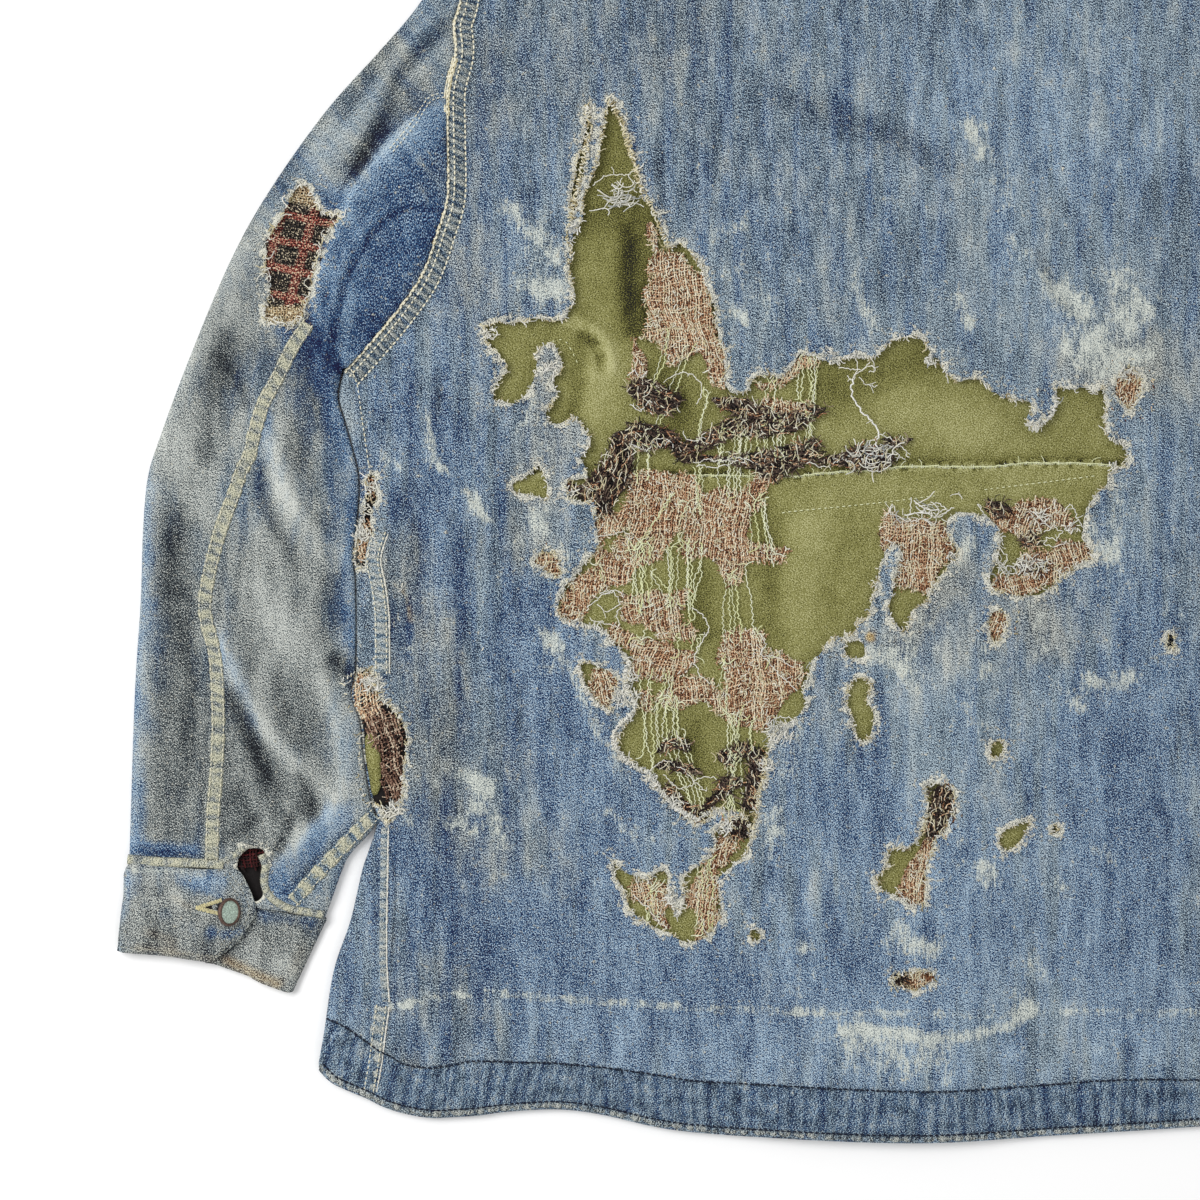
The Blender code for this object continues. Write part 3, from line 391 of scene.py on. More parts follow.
SLEEVE_FOLDS = (
    (2.2, 7, 6, ((-258, 290), (-285, 252), (-300, 232), (-320, 208), (-338, 182))),
    (-1.5, 5, 6, ((-266, 282), (-300, 247), (-320, 217), (-344, 188))),
    (-2.1, 6, 5, ((-262, 268), (-288, 238), (-304, 200), (-318, 172))),
    (6.0, 20, 2.0, ((-256, 223), (-270, 219), (-282, 210), (-295, 197), (-307, 185), (-318, 168),
     (-325, 152), (-332, 135), (-338, 118), (-340, 102), (-341, 85), (-339, 68), (-334, 58), (-328, 44),
     (-322, 30))),
    (2.6, 9, 2.0, ((-258, 160), (-270, 164), (-281, 164.5), (-292, 162), (-302, 154), (-311, 143),
     (-319, 132), (-326, 114), (-330, 96), (-332, 80), (-328, 64))),
    (-1.6, 1.8, 2.6, ((-259, 154), (-270, 158), (-280, 158.5), (-290, 156), (-299, 149), (-307, 139),
     (-314, 129), (-321, 112), (-325, 94), (-327, 80))),
    (1.6, 12, 12, ((-268, 140), (-286, 128), (-300, 110), (-308, 92))),
    (-0.7, 2.2, 2.2, ((-256, 118), (-268, 112), (-278, 110))),
    (-0.7, 2.0, 2.0, ((-262, 104), (-276, 98), (-290, 98))),
    (-0.8, 2.2, 2.2, ((-272, 92), (-288, 88), (-300, 90))),
    (-0.7, 2.0, 2.0, ((-284, 82), (-298, 78), (-308, 82))),
    (-0.9, 1.6, 1.6, ((-261, 164), (-275, 165), (-288, 163), (-299, 158))),
    (1.2, 2.4, 2.4, ((-336, 112), (-334, 92), (-334, 76), (-330, 60))),
    (-1.2, 2.0, 2.0, ((-331, 112), (-329, 92), (-329, 76), (-327, 64))),
    (1.3, 5, 5, ((-262, 205), (-275, 185), (-292, 168))),
    (-2.2, 9, 7, ((-392, 84), (-400, 60), (-406, 10), (-420, -24), (-429, -60), (-420, -90), (-411, -112),
     (-414, -150), (-417, -190))),
    (1.8, 9, 9, ((-352, 172), (-380, 128), (-402, 82), (-420, 40))),
    (-1.6, 5, 5, ((-372, 84), (-384, 50), (-392, 20))),
    (2.7, 5, 6, ((-356, 40), (-360, 10), (-355, -15), (-345, -35), (-328, -58))),
    (-2.0, 5, 5, ((-372, 8), (-370, -16), (-360, -38), (-348, -58))),
    (-1.5, 5, 5, ((-345, 30), (-342, 4), (-334, -22))),
    (3.3, 5, 6, ((-402, -92), (-390, -112), (-381, -134), (-366, -158), (-350, -175), (-336, -194))),
    (-2.2, 5, 5, ((-390, -128), (-380, -150), (-371, -168), (-364, -196))),
    (-1.6, 6, 6, ((-384, -84), (-374, -110), (-360, -136), (-344, -156))),
    (2.5, 5, 5, ((-338, -120), (-325, -150), (-321, -170), (-321, -190), (-331, -206), (-350, -222),
     (-368, -240))),
    (-2.4, 5, 4, ((-350, -176), (-342, -192), (-339, -212))),
    (-1.7, 2.6, 2.6, ((-350, -200), (-355, -212), (-362, -232))),
    (-2.4, 3, 2.6, ((-336, -112), (-328, -122), (-320, -132), (-314, -148))),
    (1.8, 5, 5, ((-330, -66), (-342, -84), (-352, -100))),
    (-1.5, 5, 5, ((-322, -84), (-336, -100), (-346, -114))),
    (1.3, 6, 6, ((-438, -20), (-440, -90), (-443, -180), (-444, -226))),
    (1.4, 4, 4, ((-386, -196), (-384, -214), (-380, -228))),
    (-1.4, 4, 4, ((-428, -170), (-430, -200), (-434, -224))),
)
RIGHT_SLEEVE_FOLDS = (
    (2.6, 7, 8, ((262, 284), (296, 240), (334, 184))),
    (-2.4, 6, 6, ((266, 262), (296, 218), (322, 172))),
    (4.2, 5, 16, ((262, 226), (292, 198), (320, 162), (336, 124), (340, 84), (332, 52))),
    (-2.0, 5, 5, ((262, 160), (290, 150), (318, 126))),
    (-2.4, 8, 8, ((396, 70), (408, 0), (424, -70), (414, -150))),
    (3.0, 6, 6, ((354, 36), (358, -6), (342, -48))),
    (-2.2, 6, 6, ((372, 0), (362, -34), (346, -64))),
    (3.6, 6, 5, ((398, -96), (376, -140), (342, -186))),
    (-2.4, 5, 5, ((388, -132), (370, -178), (364, -214))),
    (2.4, 5, 5, ((334, -128), (322, -172), (344, -226))),
    (-2.0, 4, 4, ((350, -168), (340, -208), (348, -240))),
    (1.4, 6, 6, ((438, -10), (440, -100), (444, -220))),
)


# Kinds of mark: "bleach" whitens, "pale" fades, and is painted highlight where it runs along a fold ridge,
# the darkening kind keeps the dye, and is painted shade where it runs along a crease, hollow or raised
# edge,
# "stain" browns, "blue" stays bright and "rust" turns ochre. Each stroke: kind, strength, how far it fades
# to each side, path
# Darkening strokes along folds, tears and seam edges are painted shade and shadow, and pale strokes along
# fold ridges are painted highlight; with them go faded and dye-kept cloth, bleach, stains and rust.
BODY_WEAR_AND_SHADE = (
    ("bleach", 0.8, 9, ((-222, 158), (-205, 140), (-196, 130))),
    ("bleach", 0.7, 6, ((-212, 112), (-194, 110))),
    ("bleach", 0.9, 6, ((-87, 95), (-82, 90))),
    ("bleach", 0.8, 5, ((-83, 150), (-80, 145))),
    ("bleach", 0.8, 6, ((-15, 112), (-10, 98), (-4, 86))),
    ("bleach", 0.7, 5, ((4, 164), (7, 160))),
    ("bleach", 0.9, 5, ((45, 104), (51, 92), (53, 87))),
    ("bleach", 0.8, 5, ((52, 207), (57, 196), (60, 188))),
    ("bleach", 0.72, 13, ((112, 104), (130, 84), (150, 92))),
    ("bleach", 0.45, 14, ((122, 66), (150, 70))),
    ("stain", 0.80, 18, ((124, 64), (156, 64))),
    ("bleach", 0.60, 9, ((144, -8), (142, -30))),
    ("bleach", 0.55, 8, ((128, 6), (150, 14))),
    ("pale", 0.14, 20, ((150, 10), (150, -30))),
    ("bleach", 0.60, 8, ((90, -84), (98, -98), (96, -110))),
    ("stain", 0.90, 14, ((92, -82), (100, -106))),
    ("pale", 0.12, 14, ((92, -86), (100, -110))),
    ("bleach", 0.60, 7, ((24, -84), (10, -112), (-22, -104))),
    ("stain", 0.80, 14, ((28, -80), (46, -58), (10, -104))),
    ("pale", 0.12, 20, ((40, -130), (36, -170), (44, -236))),
    ("bleach", 0.55, 7, ((-50, -148), (-60, -196), (-66, -216))),
    ("bleach", 0.70, 4, ((-206, -92), (-192, -106), (-184, -124), (-172, -150), (-160, -170),
     (-150, -186))),
    ("bleach", 0.60, 5, ((-208, -30), (-196, -40), (-186, -52), (-190, -74))),
    ("bleach", 0.60, 5, ((-216, 22), (-206, 44), (-218, 60))),
    ("pale", 0.10, 22, ((-150, -356), (-60, -356), (60, -362))),
    ("pale", 0.12, 20, ((100, 196), (140, 190), (180, 196))),
    ("deep", 0.13, 9, ((-262, 20), (-264, -10), (-262, -60))),
    ("blue", 0.60, 14, ((-262, 20), (-262, -70))),
    ("deep", 0.12, 12, ((-86, -310), (-60, -326))),
    ("bleach", 0.7, 12, ((140, 116), (158, 100))),
    ("bleach", 0.55, 10, ((112, 74), (140, 62), (160, 70))),
    ("bleach", 1.0, 7, ((126, -126), (138, -128), (150, -124))),
    ("bleach", 0.6, 7, ((112, -132), (122, -140))),
    ("bleach", 0.6, 6, ((14, -118), (20, -124))),
    ("bleach", 0.8, 5, ((62, -238), (68, -243))),
    ("bleach", 0.7, 6, ((106, -248), (112, -253))),
    ("bleach", 0.7, 6, ((131, -226), (136, -231))),
    ("bleach", 0.8, 5, ((-46, -284), (-43, -287))),
    ("bleach", 0.8, 5, ((-236, -190), (-240, -202), (-228, -208))),
    ("bleach", 0.6, 4, ((-252, -212), (-244, -218))),
    ("bleach", 1.0, 3.6, ((-271, 32), (-270, 20), (-268, 8), (-262, 1))),
    ("bleach", 0.9, 1.8, ((-262, 2), (-257, -7), (-251, -12))),
    ("bleach", 1.0, 5, ((-247, -14), (-241, -22), (-236, -28))),
    ("bleach", 0.8, 3.2, ((-297, 8), (-289, 3), (-281, -1))),
    ("bleach", 0.9, 3.0, ((-293, -64), (-287, -70), (-281.5, -76))),
    ("rust", 0.8, 1.8, ((-292, -66), (-283, -75), (-281.7, -90))),
    ("bleach", 0.8, 3.5, ((-286, -106), (-279, -104))),
    ("bleach", 0.9, 4.5, ((-246, -184), (-238, -190))),
    ("bleach", 1.0, 4.5, ((-236, -214), (-228, -219), (-226, -226))),
    ("bleach", 0.8, 4.5, ((-288, -204), (-282, -212))),
    ("bleach", 0.8, 4.0, ((-262, -214), (-254, -210), (-244, -202))),
    ("deep", 0.22, 4, ((-284, -20), (-277, -36), (-276, -56))),
    ("deep", 0.20, 3, ((-265, 60), (-266, 44), (-267, 26))),
    ("bleach", 0.9, 4.5, ((-20, -334), (0, -335), (30, -340), (60, -338), (80, -333), (90, -322))),
    ("bleach", 0.5, 12, ((-16, -342), (10, -348), (40, -350))),
    ("bleach", 0.6, 8, ((84, -318), (96, -306), (92, -292))),
    ("bleach", 1.1, 2.4, ((-294, -321), (-288, -320.5), (-282, -319.5))),
    ("bleach", 1.00, 2.8, ((-284, -320), (-262, -316), (-236, -313), (-215, -314.5), (-194, -316.7),
     (-163, -318.5), (-140, -320), (-90, -323), (-50, -324))),
    ("bleach", 0.80, 2.8, ((-50, -324), (0, -325), (60, -326), (130, -325), (192, -325))),
    ("deep", 0.18, 8, ((-282, -6), (-277, -30), (-279, -60), (-285, -90))),
    ("pale", 0.12, 7, ((-264, -20), (-264, -90), (-260, -150))),
    ("deep", 0.13, 8, ((-250, -40), (-252, -110), (-256, -200), (-252, -300))),
    ("pale", 0.10, 9, ((-238, -60), (-240, -140), (-242, -230))),
    ("deep", 0.14, 8, ((-225, 4), (-222, -50), (-216, -90))),
    ("deep", 0.34, 1.8, ((-292.6, -44), (-296.6, -58), (-293.6, -74), (-291.8, -92), (-291.6, -121))),
    ("deep", 0.34, 1.8, ((-291.6, -214), (-291.6, -250), (-292, -290), (-291, -318))),
    ("bleach", 0.45, 16, ((-170, 110), (-196, 104))),
    ("bleach", 0.8, 9, ((20, -64), (40, -58), (54, -46))),
    ("bleach", 0.5, 9, ((-60, 90), (-100, 140))),
    ("bleach", 0.7, 10, ((116, -22), (128, -40), (140, -48))),
    ("bleach", 0.5, 9, ((30, 40), (44, 70))),
    ("bleach", 0.5, 8, ((-200, -20), (-212, -44))),
    ("bleach", 0.55, 7, ((-196, -102), (-200, -118))),
    ("bleach", 0.5, 8, ((-140, -222), (-166, -206))),
    ("bleach", 0.45, 8, ((-60, -212), (-68, -232))),
    ("bleach", 0.45, 9, ((10, -280), (30, -286))),
    ("bleach", 0.7, 4, ((64, -104), (63, -122))),
    ("bleach", 0.6, 6, ((172, -84), (180, -92), (170, -114))),
    ("deep", 0.14, 34, ((-240, 276), (-190, 262), (-120, 266))),
    ("deep", 0.10, 26, ((-236, 240), (-242, 170), (-262, 110))),
    ("deep", 0.10, 24, ((-110, 240), (-104, 180))),
    ("pale", 0.13, 36, ((-10, 176), (40, 160), (70, 120), (100, 90))),
    ("pale", 0.14, 40, ((50, 226), (110, 232), (150, 214))),
    ("bleach", 0.50, 8, ((58, 208), (70, 186), (76, 160))),
    ("bleach", 0.55, 7, ((78, 140), (92, 122), (106, 110), (118, 100))),
    ("pale", 0.13, 24, ((16, -128), (22, -180), (14, -250))),
    ("deep", 0.13, 26, ((140, -156), (152, -220), (140, -310))),
    ("deep", 0.10, 20, ((-124, -296), (-70, -304))),
    ("pale", 0.10, 14, ((-150, -280), (-146, -296))),
    ("pale", 0.10, 16, ((-222, -250), (-224, -286))),
    ("pale", 0.12, 22, ((-178, 46), (-184, -6), (-190, -44))),
    ("stain", 0.60, 22, ((-190, 56), (-206, 0), (-202, -44))),
    ("stain", 0.55, 20, ((-236, 250), (-240, 190), (-250, 120))),
    ("blue", 0.80, 26, ((-206, -92), (-192, -150), (-166, -214))),
    ("blue", 0.60, 30, ((140, -150), (156, -220))),
    ("blue", 0.50, 26, ((-154, -250), (-130, -300))),
    ("pale", 0.10, 70, ((40, -120), (110, -200), (120, -300))),
    ("pale", 0.10, 50, ((20, -330), (120, -330))),
    ("pale", 0.10, 50, ((120, 100), (160, 80))),
    ("pale", 0.08, 40, ((-110, -240), (-60, -300))),
    ("pale", 0.10, 2.6, ((112, -262), (103, -300))),
    ("pale", 0.16, 3, ((-40, -225), (-45, -275))),
    ("deep", 0.13, 40, ((-280, 30), (-270, -90), (-268, -180))),
    ("deep", 0.12, 34, ((-276, -230), (-262, -330))),
    ("deep", 0.13, 30, ((-160, -60), (-220, -90), (-226, -150))),
    ("deep", 0.12, 40, ((-60, 190), (20, 150))),
    ("deep", 0.26, 9, ((-74, 230), (-40, 219), (-10, 207), (15, 199), (50, 180))),
    ("deep", 0.30, 4, ((97, 130), (105, 108), (115, 98), (124, 90))),
    ("deep", 0.30, 2.6, ((-132, 202), (-131, 175), (-129, 148))),
    ("deep", 0.35, 1.8, ((-159, 220), (-150, 204), (-145, 186), (-141, 170), (-132, 156))),
    ("deep", 0.12, 40, ((150, -170), (180, -240))),
    ("deep", 0.12, 30, ((-10, -150), (10, -200))),
    ("deep", 0.10, 40, ((170, 200), (190, 120))),
    ("deep", 0.14, 20, ((-230, -240), (-236, -300))),
    ("stain", 0.55, 26, ((-284, -60), (-270, -140), (-266, -220))),
    ("stain", 0.45, 30, ((-238, -230), (-246, -320))),
    ("stain", 0.35, 40, ((-180, 230), (-120, 262))),
    ("stain", 0.40, 24, ((-206, 60), (-246, 90))),
    ("stain", 0.30, 30, ((120, 110), (170, 60))),
    ("stain", 0.30, 28, ((-90, -300), (-20, -320))),
    ("stain", 0.35, 20, ((-210, -180), (-190, -240))),
    ("stain", 0.25, 40, ((40, -100), (110, -90))),
    ("stain", 0.50, 9, ((-284, -356), (-240, -366))),
    ("rust", 1.6, 3.2, ((-6, -99.5),)),
    ("stain", 0.8, 3.0, ((-21, -217),)),
    ("stain", 0.8, 3.0, ((-60, -340),)),
    ("blue", 0.55, 4, ((-157, -258), (-153, -284), (-151, -312))),
    ("blue", 0.60, 5, ((-50, -228), (-46, -250), (-44, -272))),
    ("blue", 0.55, 4, ((114, -262), (104, -302))),
    ("blue", 0.80, 40, ((-270, -240), (-180, -310), (-100, -330), (-20, -310))),
    ("blue", 0.80, 34, ((-24, -200), (60, -260), (20, -330))),
    ("blue", 0.80, 32, ((140, -170), (150, -320))),
    ("blue", 0.90, 3.5, ((-161, -270), (-163, -300), (-160, -328))),
    ("blue", 0.90, 4, ((-97, -282), (-95, -310), (-98, -334))),
    ("blue", 0.90, 4, ((-28, -262), (-22, -290), (-12, -318))),
    ("blue", 0.80, 4, ((-214, -250), (-220, -290), (-216, -320))),
    ("deep", 0.13, 3.6, ((-97, -280), (-95, -310), (-98, -336))),
    ("deep", 0.13, 3.6, ((-30, -262), (-22, -290), (-10, -318))),
    ("deep", 0.14, 4, ((112, -238), (108, -270), (104, -306))),
    ("deep", 0.12, 6, ((-12, -170), (0, -220), (-6, -270))),
    ("deep", 0.13, 10, ((-166, -230), (-190, -270), (-180, -310))),
    ("bleach", 0.34, 20, ((0, -112), (46, -118), (60, -146))),
    ("bleach", 0.36, 16, ((14, -272), (32, -296))),
    ("bleach", 0.34, 16, ((46, -226), (64, -246))),
    ("bleach", 0.36, 16, ((-20, -350), (30, -364))),
    ("bleach", 0.30, 10, ((-46, -296), (-44, -350))),
    ("bleach", 0.34, 10, ((-268, -180), (-226, -188))),
    ("bleach", 0.32, 12, ((120, -50), (150, -64))),
    ("bleach", 0.32, 16, ((-206, -10), (-200, 24))),
    ("bleach", 0.30, 14, ((-226, 130), (-200, 116))),
    ("blue", 0.45, 26, ((-260, 60), (-250, 130), (-238, 190))),
    ("blue", 0.30, 40, ((60, 230), (150, 180))),
    ("blue", 0.35, 12, ((-318, -240), (-324, -300), (-328, -340))),
    ("blue", 0.50, 10, ((-290, -20), (-284, 20), (-300, 50))),
    ("blue", 0.30, 26, ((140, -60), (176, -140))),
)
# Short creases that the hem's stitching pulls into the cloth above it, painted in turn as shade in a
# crease, highlight on a ridge and bright blue dye
HEM_LINE = np.array(HEM_TOP, float).T
PUCKERS = [(-284 + 9.5 * k + 4 * math.sin(k * 2.1), k) for k in range(50)]
BODY_WEAR_AND_SHADE += tuple((("deep", "pale", "blue")[k % 3], 0.14 + 0.08 * (k % 3), 3.4,
                    ((x, np.interp(x, *HEM_LINE) + 1), (x + 5, np.interp(x, *HEM_LINE) + 12 + 6 * (k % 4))))
                   for x, k in PUCKERS)
# Darkening strokes along the sleeve's creases, fold edges and seams are painted shade and shadow, and pale
# strokes along its fold ridges are painted highlight; with them go fading, kept dye, stains and bright
# blue.
SLEEVE_WEAR_AND_SHADE = (
    ("pale", 0.14, 7, ((-262, 292), (-285, 252), (-302, 230), (-338, 182))),
    ("pale", 0.12, 9, ((-330, 214), (-366, 160), (-396, 108))),
    ("deep", 0.26, 4.8, ((-266, 282), (-300, 247), (-322, 215))),
    ("deep", 0.34, 4.8, ((-262, 268), (-288, 238), (-304, 200), (-316, 174))),
    ("pale", 0.22, 2.0, ((-258, 221), (-270, 217), (-281, 208), (-294, 195.5), (-306, 183.5),
     (-316.5, 167), (-323.5, 151), (-331, 134), (-336.5, 118))),
    ("deep", 0.26, 2.6, ((-272, 221), (-284, 212), (-297, 200), (-310, 187), (-320.5, 169), (-327.5, 153),
     (-334.5, 136), (-341, 119), (-343, 102), (-343, 85), (-341, 68))),
    ("deep", 0.22, 3.2, ((-296, 205), (-303, 197), (-309, 188), (-313, 180))),
    ("deep", 0.13, 6.0, ((-280, 226), (-294, 214), (-306, 201), (-318, 184))),
    ("stain", 0.60, 12, ((-276, 228), (-300, 204), (-316, 182))),
    ("deep", 0.17, 8.0, ((-333, 222), (-350, 198), (-366, 174), (-382, 146))),
    ("pale", 0.15, 3.5, ((-268, 251), (-290, 228), (-308, 208), (-323, 189))),
    ("deep", 0.15, 3.0, ((-275, 262), (-300, 236), (-318, 214), (-334, 194))),
    ("pale", 0.13, 3.5, ((-272, 278), (-300, 247), (-330, 208), (-345, 186))),
    ("deep", 0.12, 3.0, ((-350, 206), (-372, 172), (-390, 140))),
    ("deep", 0.20, 10, ((-345, 86), (-342, 60), (-336, 30))),
    ("deep", 0.22, 9, ((-366, 72), (-362, 50), (-356, 24), (-350, 4))),
    ("deep", 0.20, 7, ((-388, 76), (-394, 52), (-400, 30), (-404, 8))),
    ("deep", 0.34, 3.0, ((-338, 84), (-334, 66), (-328, 52), (-320, 40), (-314, 24))),
    ("deep", 0.26, 2.2, ((-327, 66), (-320, 56), (-312, 44))),
    ("deep", 0.16, 9, ((-328, 20), (-322, 0), (-316, -24))),
    ("deep", 0.13, 10, ((-330, -72), (-326, -88), (-330, -104))),
    ("deep", 0.14, 9, ((-348, -30), (-340, -52), (-338, -80))),
    ("deep", 0.17, 5, ((-396, -124), (-387, -148), (-373, -172), (-358, -190), (-345, -203))),
    ("deep", 0.14, 12, ((-384, -120), (-390, -160), (-392, -200))),
    ("stain", 0.70, 14, ((-372, -66), (-358, -88), (-346, -104))),
    ("pale", 0.12, 8, ((-372, -70), (-360, -88), (-350, -102))),
    ("deep", 0.14, 6, ((-427, -42), (-420, -66), (-411, -86))),
    ("deep", 0.12, 7, ((-436, 20), (-430, -10), (-428, -40))),
    ("pale", 0.17, 4, ((-370, 24), (-361, -6), (-348, -26), (-334, -40), (-318, -54))),
    ("deep", 0.15, 2.2, ((-256, 118), (-268, 112), (-276, 110))),
    ("deep", 0.15, 2.0, ((-262, 104), (-276, 98), (-288, 98))),
    ("deep", 0.15, 2.4, ((-272, 92), (-288, 88), (-298, 90))),
    ("deep", 0.14, 2.0, ((-284, 82), (-298, 78), (-306, 82))),
    ("deep", 0.14, 2.4, ((-296, 74), (-308, 70), (-315, 74))),
    ("pale", 0.10, 2.0, ((-260, 111), (-274, 105), (-284, 104))),
    ("pale", 0.10, 2.2, ((-278, 88), (-292, 84), (-302, 86))),
    ("blue", 1.10, 20, ((-268, 204), (-290, 184), (-312, 156), (-326, 132))),
    ("blue", 1.50, 18, ((-266, 140), (-284, 136), (-298, 118), (-308, 98), (-314, 80))),
    ("blue", 1.00, 10, ((-334, 110), (-334, 80), (-328, 56))),
    ("deep", 0.20, 20, ((-264, 190), (-284, 174), (-304, 152), (-316, 130))),
    ("deep", 0.32, 20, ((-262, 138), (-286, 122), (-304, 98), (-312, 84))),
    ("deep", 0.14, 16, ((-266, 196), (-288, 178), (-308, 156))),
    ("deep", 0.20, 13, ((-330, 136), (-342, 108), (-342, 70), (-334, 40))),
    ("deep", 0.16, 16, ((-268, 120), (-286, 96), (-304, 84))),
    ("blue", 0.80, 16, ((-346, 110), (-350, 70), (-342, 30))),
    ("deep", 0.18, 10, ((-350, 190), (-362, 170), (-352, 160))),
    ("deep", 0.16, 12, ((-354, 84), (-352, 50), (-348, 20))),
    ("pale", 0.13, 9, ((-414, 76), (-424, 50), (-432, 20))),
    ("pale", 0.14, 8, ((-404, 40), (-414, 0), (-418, -14))),
    ("pale", 0.16, 8, ((-320, -72), (-312, -96), (-306, -110))),
    ("pale", 0.13, 8, ((-320, -130), (-312, -150), (-306, -168))),
    ("pale", 0.15, 7, ((-391, -122), (-384, -144), (-374, -158))),
    ("deep", 0.14, 12, ((-352, -126), (-346, -150), (-352, -166))),
    ("deep", 0.14, 12, ((-388, -200), (-380, -228))),
    ("stain", 0.60, 16, ((-388, -180), (-376, -224))),
    ("pale", 0.14, 9, ((-430, 56), (-437, 24), (-440, -10))),
    ("pale", 0.10, 10, ((-396, 40), (-404, 10), (-412, -20))),
    ("deep", 0.15, 13, ((-424, -70), (-426, -140), (-424, -230))),
    ("pale", 0.12, 9, ((-372, -36), (-356, -48), (-344, -60))),
    ("pale", 0.14, 4.0, ((-262, 212), (-276, 206), (-290, 196), (-302, 184))),
    ("deep", 0.14, 4.8, ((-334, 104), (-334, 80), (-328, 58))),
    ("deep", 0.52, 2.0, ((-259, 154), (-270, 158), (-280, 158.5), (-290, 156), (-299, 149), (-307, 139),
     (-314, 129), (-321, 112), (-325, 94), (-327, 80))),
    ("pale", 0.12, 2.4, ((-262, 160), (-276, 164), (-288, 162.5), (-300, 155), (-310, 143), (-318, 131))),
    ("deep", 0.30, 1.6, ((-261, 163.5), (-275, 164.5), (-288, 162.5), (-298, 158))),
    ("pale", 0.10, 3.0, ((-300, 139), (-307, 126), (-314, 112), (-320, 94))),
    ("deep", 0.30, 2.6, ((-331, 112), (-329, 92), (-329, 76), (-326, 62))),
    ("deep", 0.50, 3, ((-329, 68), (-324, 60), (-319, 54))),
    ("pale", 0.10, 10, ((-320, 92), (-300, 104), (-288, 122))),
    ("blue", 0.80, 8, ((-334, 60), (-322, 30), (-317, 0), (-317, -30), (-318, -100))),
    ("pale", 0.11, 5, ((-330, 48), (-322, 28), (-318, 0))),
    ("stain", 0.70, 24, ((-372, 130), (-392, 90), (-408, 40))),
    ("stain", 0.75, 22, ((-416, 10), (-424, -60), (-424, -140), (-426, -210))),
    ("stain", 0.75, 26, ((-372, -60), (-368, -120), (-378, -190))),
    ("stain", 0.60, 20, ((-344, 60), (-354, 10), (-340, -60))),
    ("stain", 0.80, 20, ((-350, -120), (-344, -180), (-360, -226))),
    ("stain", 0.45, 16, ((-300, 262), (-330, 222))),
    ("deep", 0.22, 7, ((-394, 80), (-402, 40), (-408, 0), (-422, -40), (-426, -72))),
    ("deep", 0.16, 6.4, ((-420, -90), (-412, -130), (-416, -190))),
    ("pale", 0.12, 4, ((-430, 20), (-440, -30), (-442, -90), (-446, -150), (-448, -224))),
    ("pale", 0.14, 14, ((-410, 30), (-418, -10))),
    ("blue", 0.60, 7, ((-438, -10), (-441, -90), (-446, -160), (-448, -224))),
    ("pale", 0.21, 8, ((-358, 42), (-361, 10), (-356, -15), (-346, -35), (-330, -56))),
    ("blue", 0.45, 9, ((-372, 30), (-364, -20), (-350, -48))),
    ("deep", 0.26, 4.8, ((-372, 4), (-370, -18), (-360, -40), (-350, -56))),
    ("pale", 0.25, 6, ((-400, -96), (-388, -116), (-380, -136), (-366, -158), (-350, -175), (-338, -192))),
    ("blue", 0.50, 7, ((-396, -104), (-384, -128), (-368, -156), (-350, -176))),
    ("deep", 0.35, 5.6, ((-388, -134), (-376, -160), (-368, -188), (-362, -206))),
    ("pale", 0.17, 5, ((-337, -126), (-326, -150), (-322, -170), (-322, -190), (-331, -206),
     (-350, -222))),
    ("deep", 0.42, 4.8, ((-346, -184), (-341, -198), (-338, -210))),
    ("deep", 0.50, 2.4, ((-351, -204), (-356, -216), (-362, -230))),
    ("deep", 0.55, 5, ((-327, -113), (-319, -122), (-313, -134))),
    ("pale", 0.11, 14, ((-376, -60), (-362, -90), (-340, -110))),
    ("pale", 0.10, 14, ((-356, 70), (-350, 30))),
    ("bleach", 0.45, 3, ((-370, -52), (-362, -60), (-352, -72))),
    ("deep", 0.20, 7.2, ((-336, -30), (-326, -60), (-322, -90))),
    ("blue", 1.30, 4, ((-450, -224), (-430, -227), (-412, -228))),
    ("deep", 0.36, 2.4, ((-451, -227), (-430, -229.5), (-400, -231.5))),
    ("deep", 0.26, 1.6, ((-408.5, -226), (-406.5, -190), (-404.8, -150), (-401.5, -110), (-394, -60),
     (-390, -20))),
    ("deep", 0.20, 1.6, ((-395, -226), (-395.5, -190), (-394.2, -150), (-391, -110), (-384, -60),
     (-380, -20))),
    ("bleach", 0.9, 1.8, ((-392, -229), (-386, -225.5), (-380, -223.5), (-371, -223.5), (-365.5, -228),
     (-365, -234))),
    ("deep", 0.34, 3, ((-396, -222), (-384, -216), (-374, -208))),
    ("deep", 0.45, 2.2, ((-306, -206), (-322, -219), (-338, -234), (-356, -253))),
    ("blue", 1.30, 8, ((-326, -206), (-342, -222), (-358, -236), (-362, -250))),
    ("pale", 0.16, 4, ((-330, -205), (-346, -222), (-362, -238))),
    ("deep", 0.26, 4, ((-400, 70), (-388, 60), (-380, 40))),
)
RIGHT_WEAR = (
    ("bleach", 0.7, 6, ((232, 60), (246, 46))),
    ("bleach", 0.6, 7, ((262, -140), (270, -156))),
    ("bleach", 0.6, 6, ((214, -230), (226, -238))),
    ("bleach", 0.5, 2.2, ((192, -325), (240, -322), (296, -315))),
    ("bleach", 0.5, 7, ((210, 200), (222, 186))),
    ("deep", 0.12, 40, ((240, 100), (230, -60))),
    ("pale", 0.10, 50, ((220, -180), (240, -300))),
    ("stain", 0.45, 30, ((284, -60), (276, -220))),
    ("blue", 0.35, 30, ((220, 260), (250, 180))),
)


# ---------------------------------------------------------------- heights of the layers

def placket_ridge(x, y):
    """What the buttoned front edges add under everything above them."""
    return 3.6 * np.exp(-(np.abs(x) / 74.0) ** 4) * ease(330, 285, y)


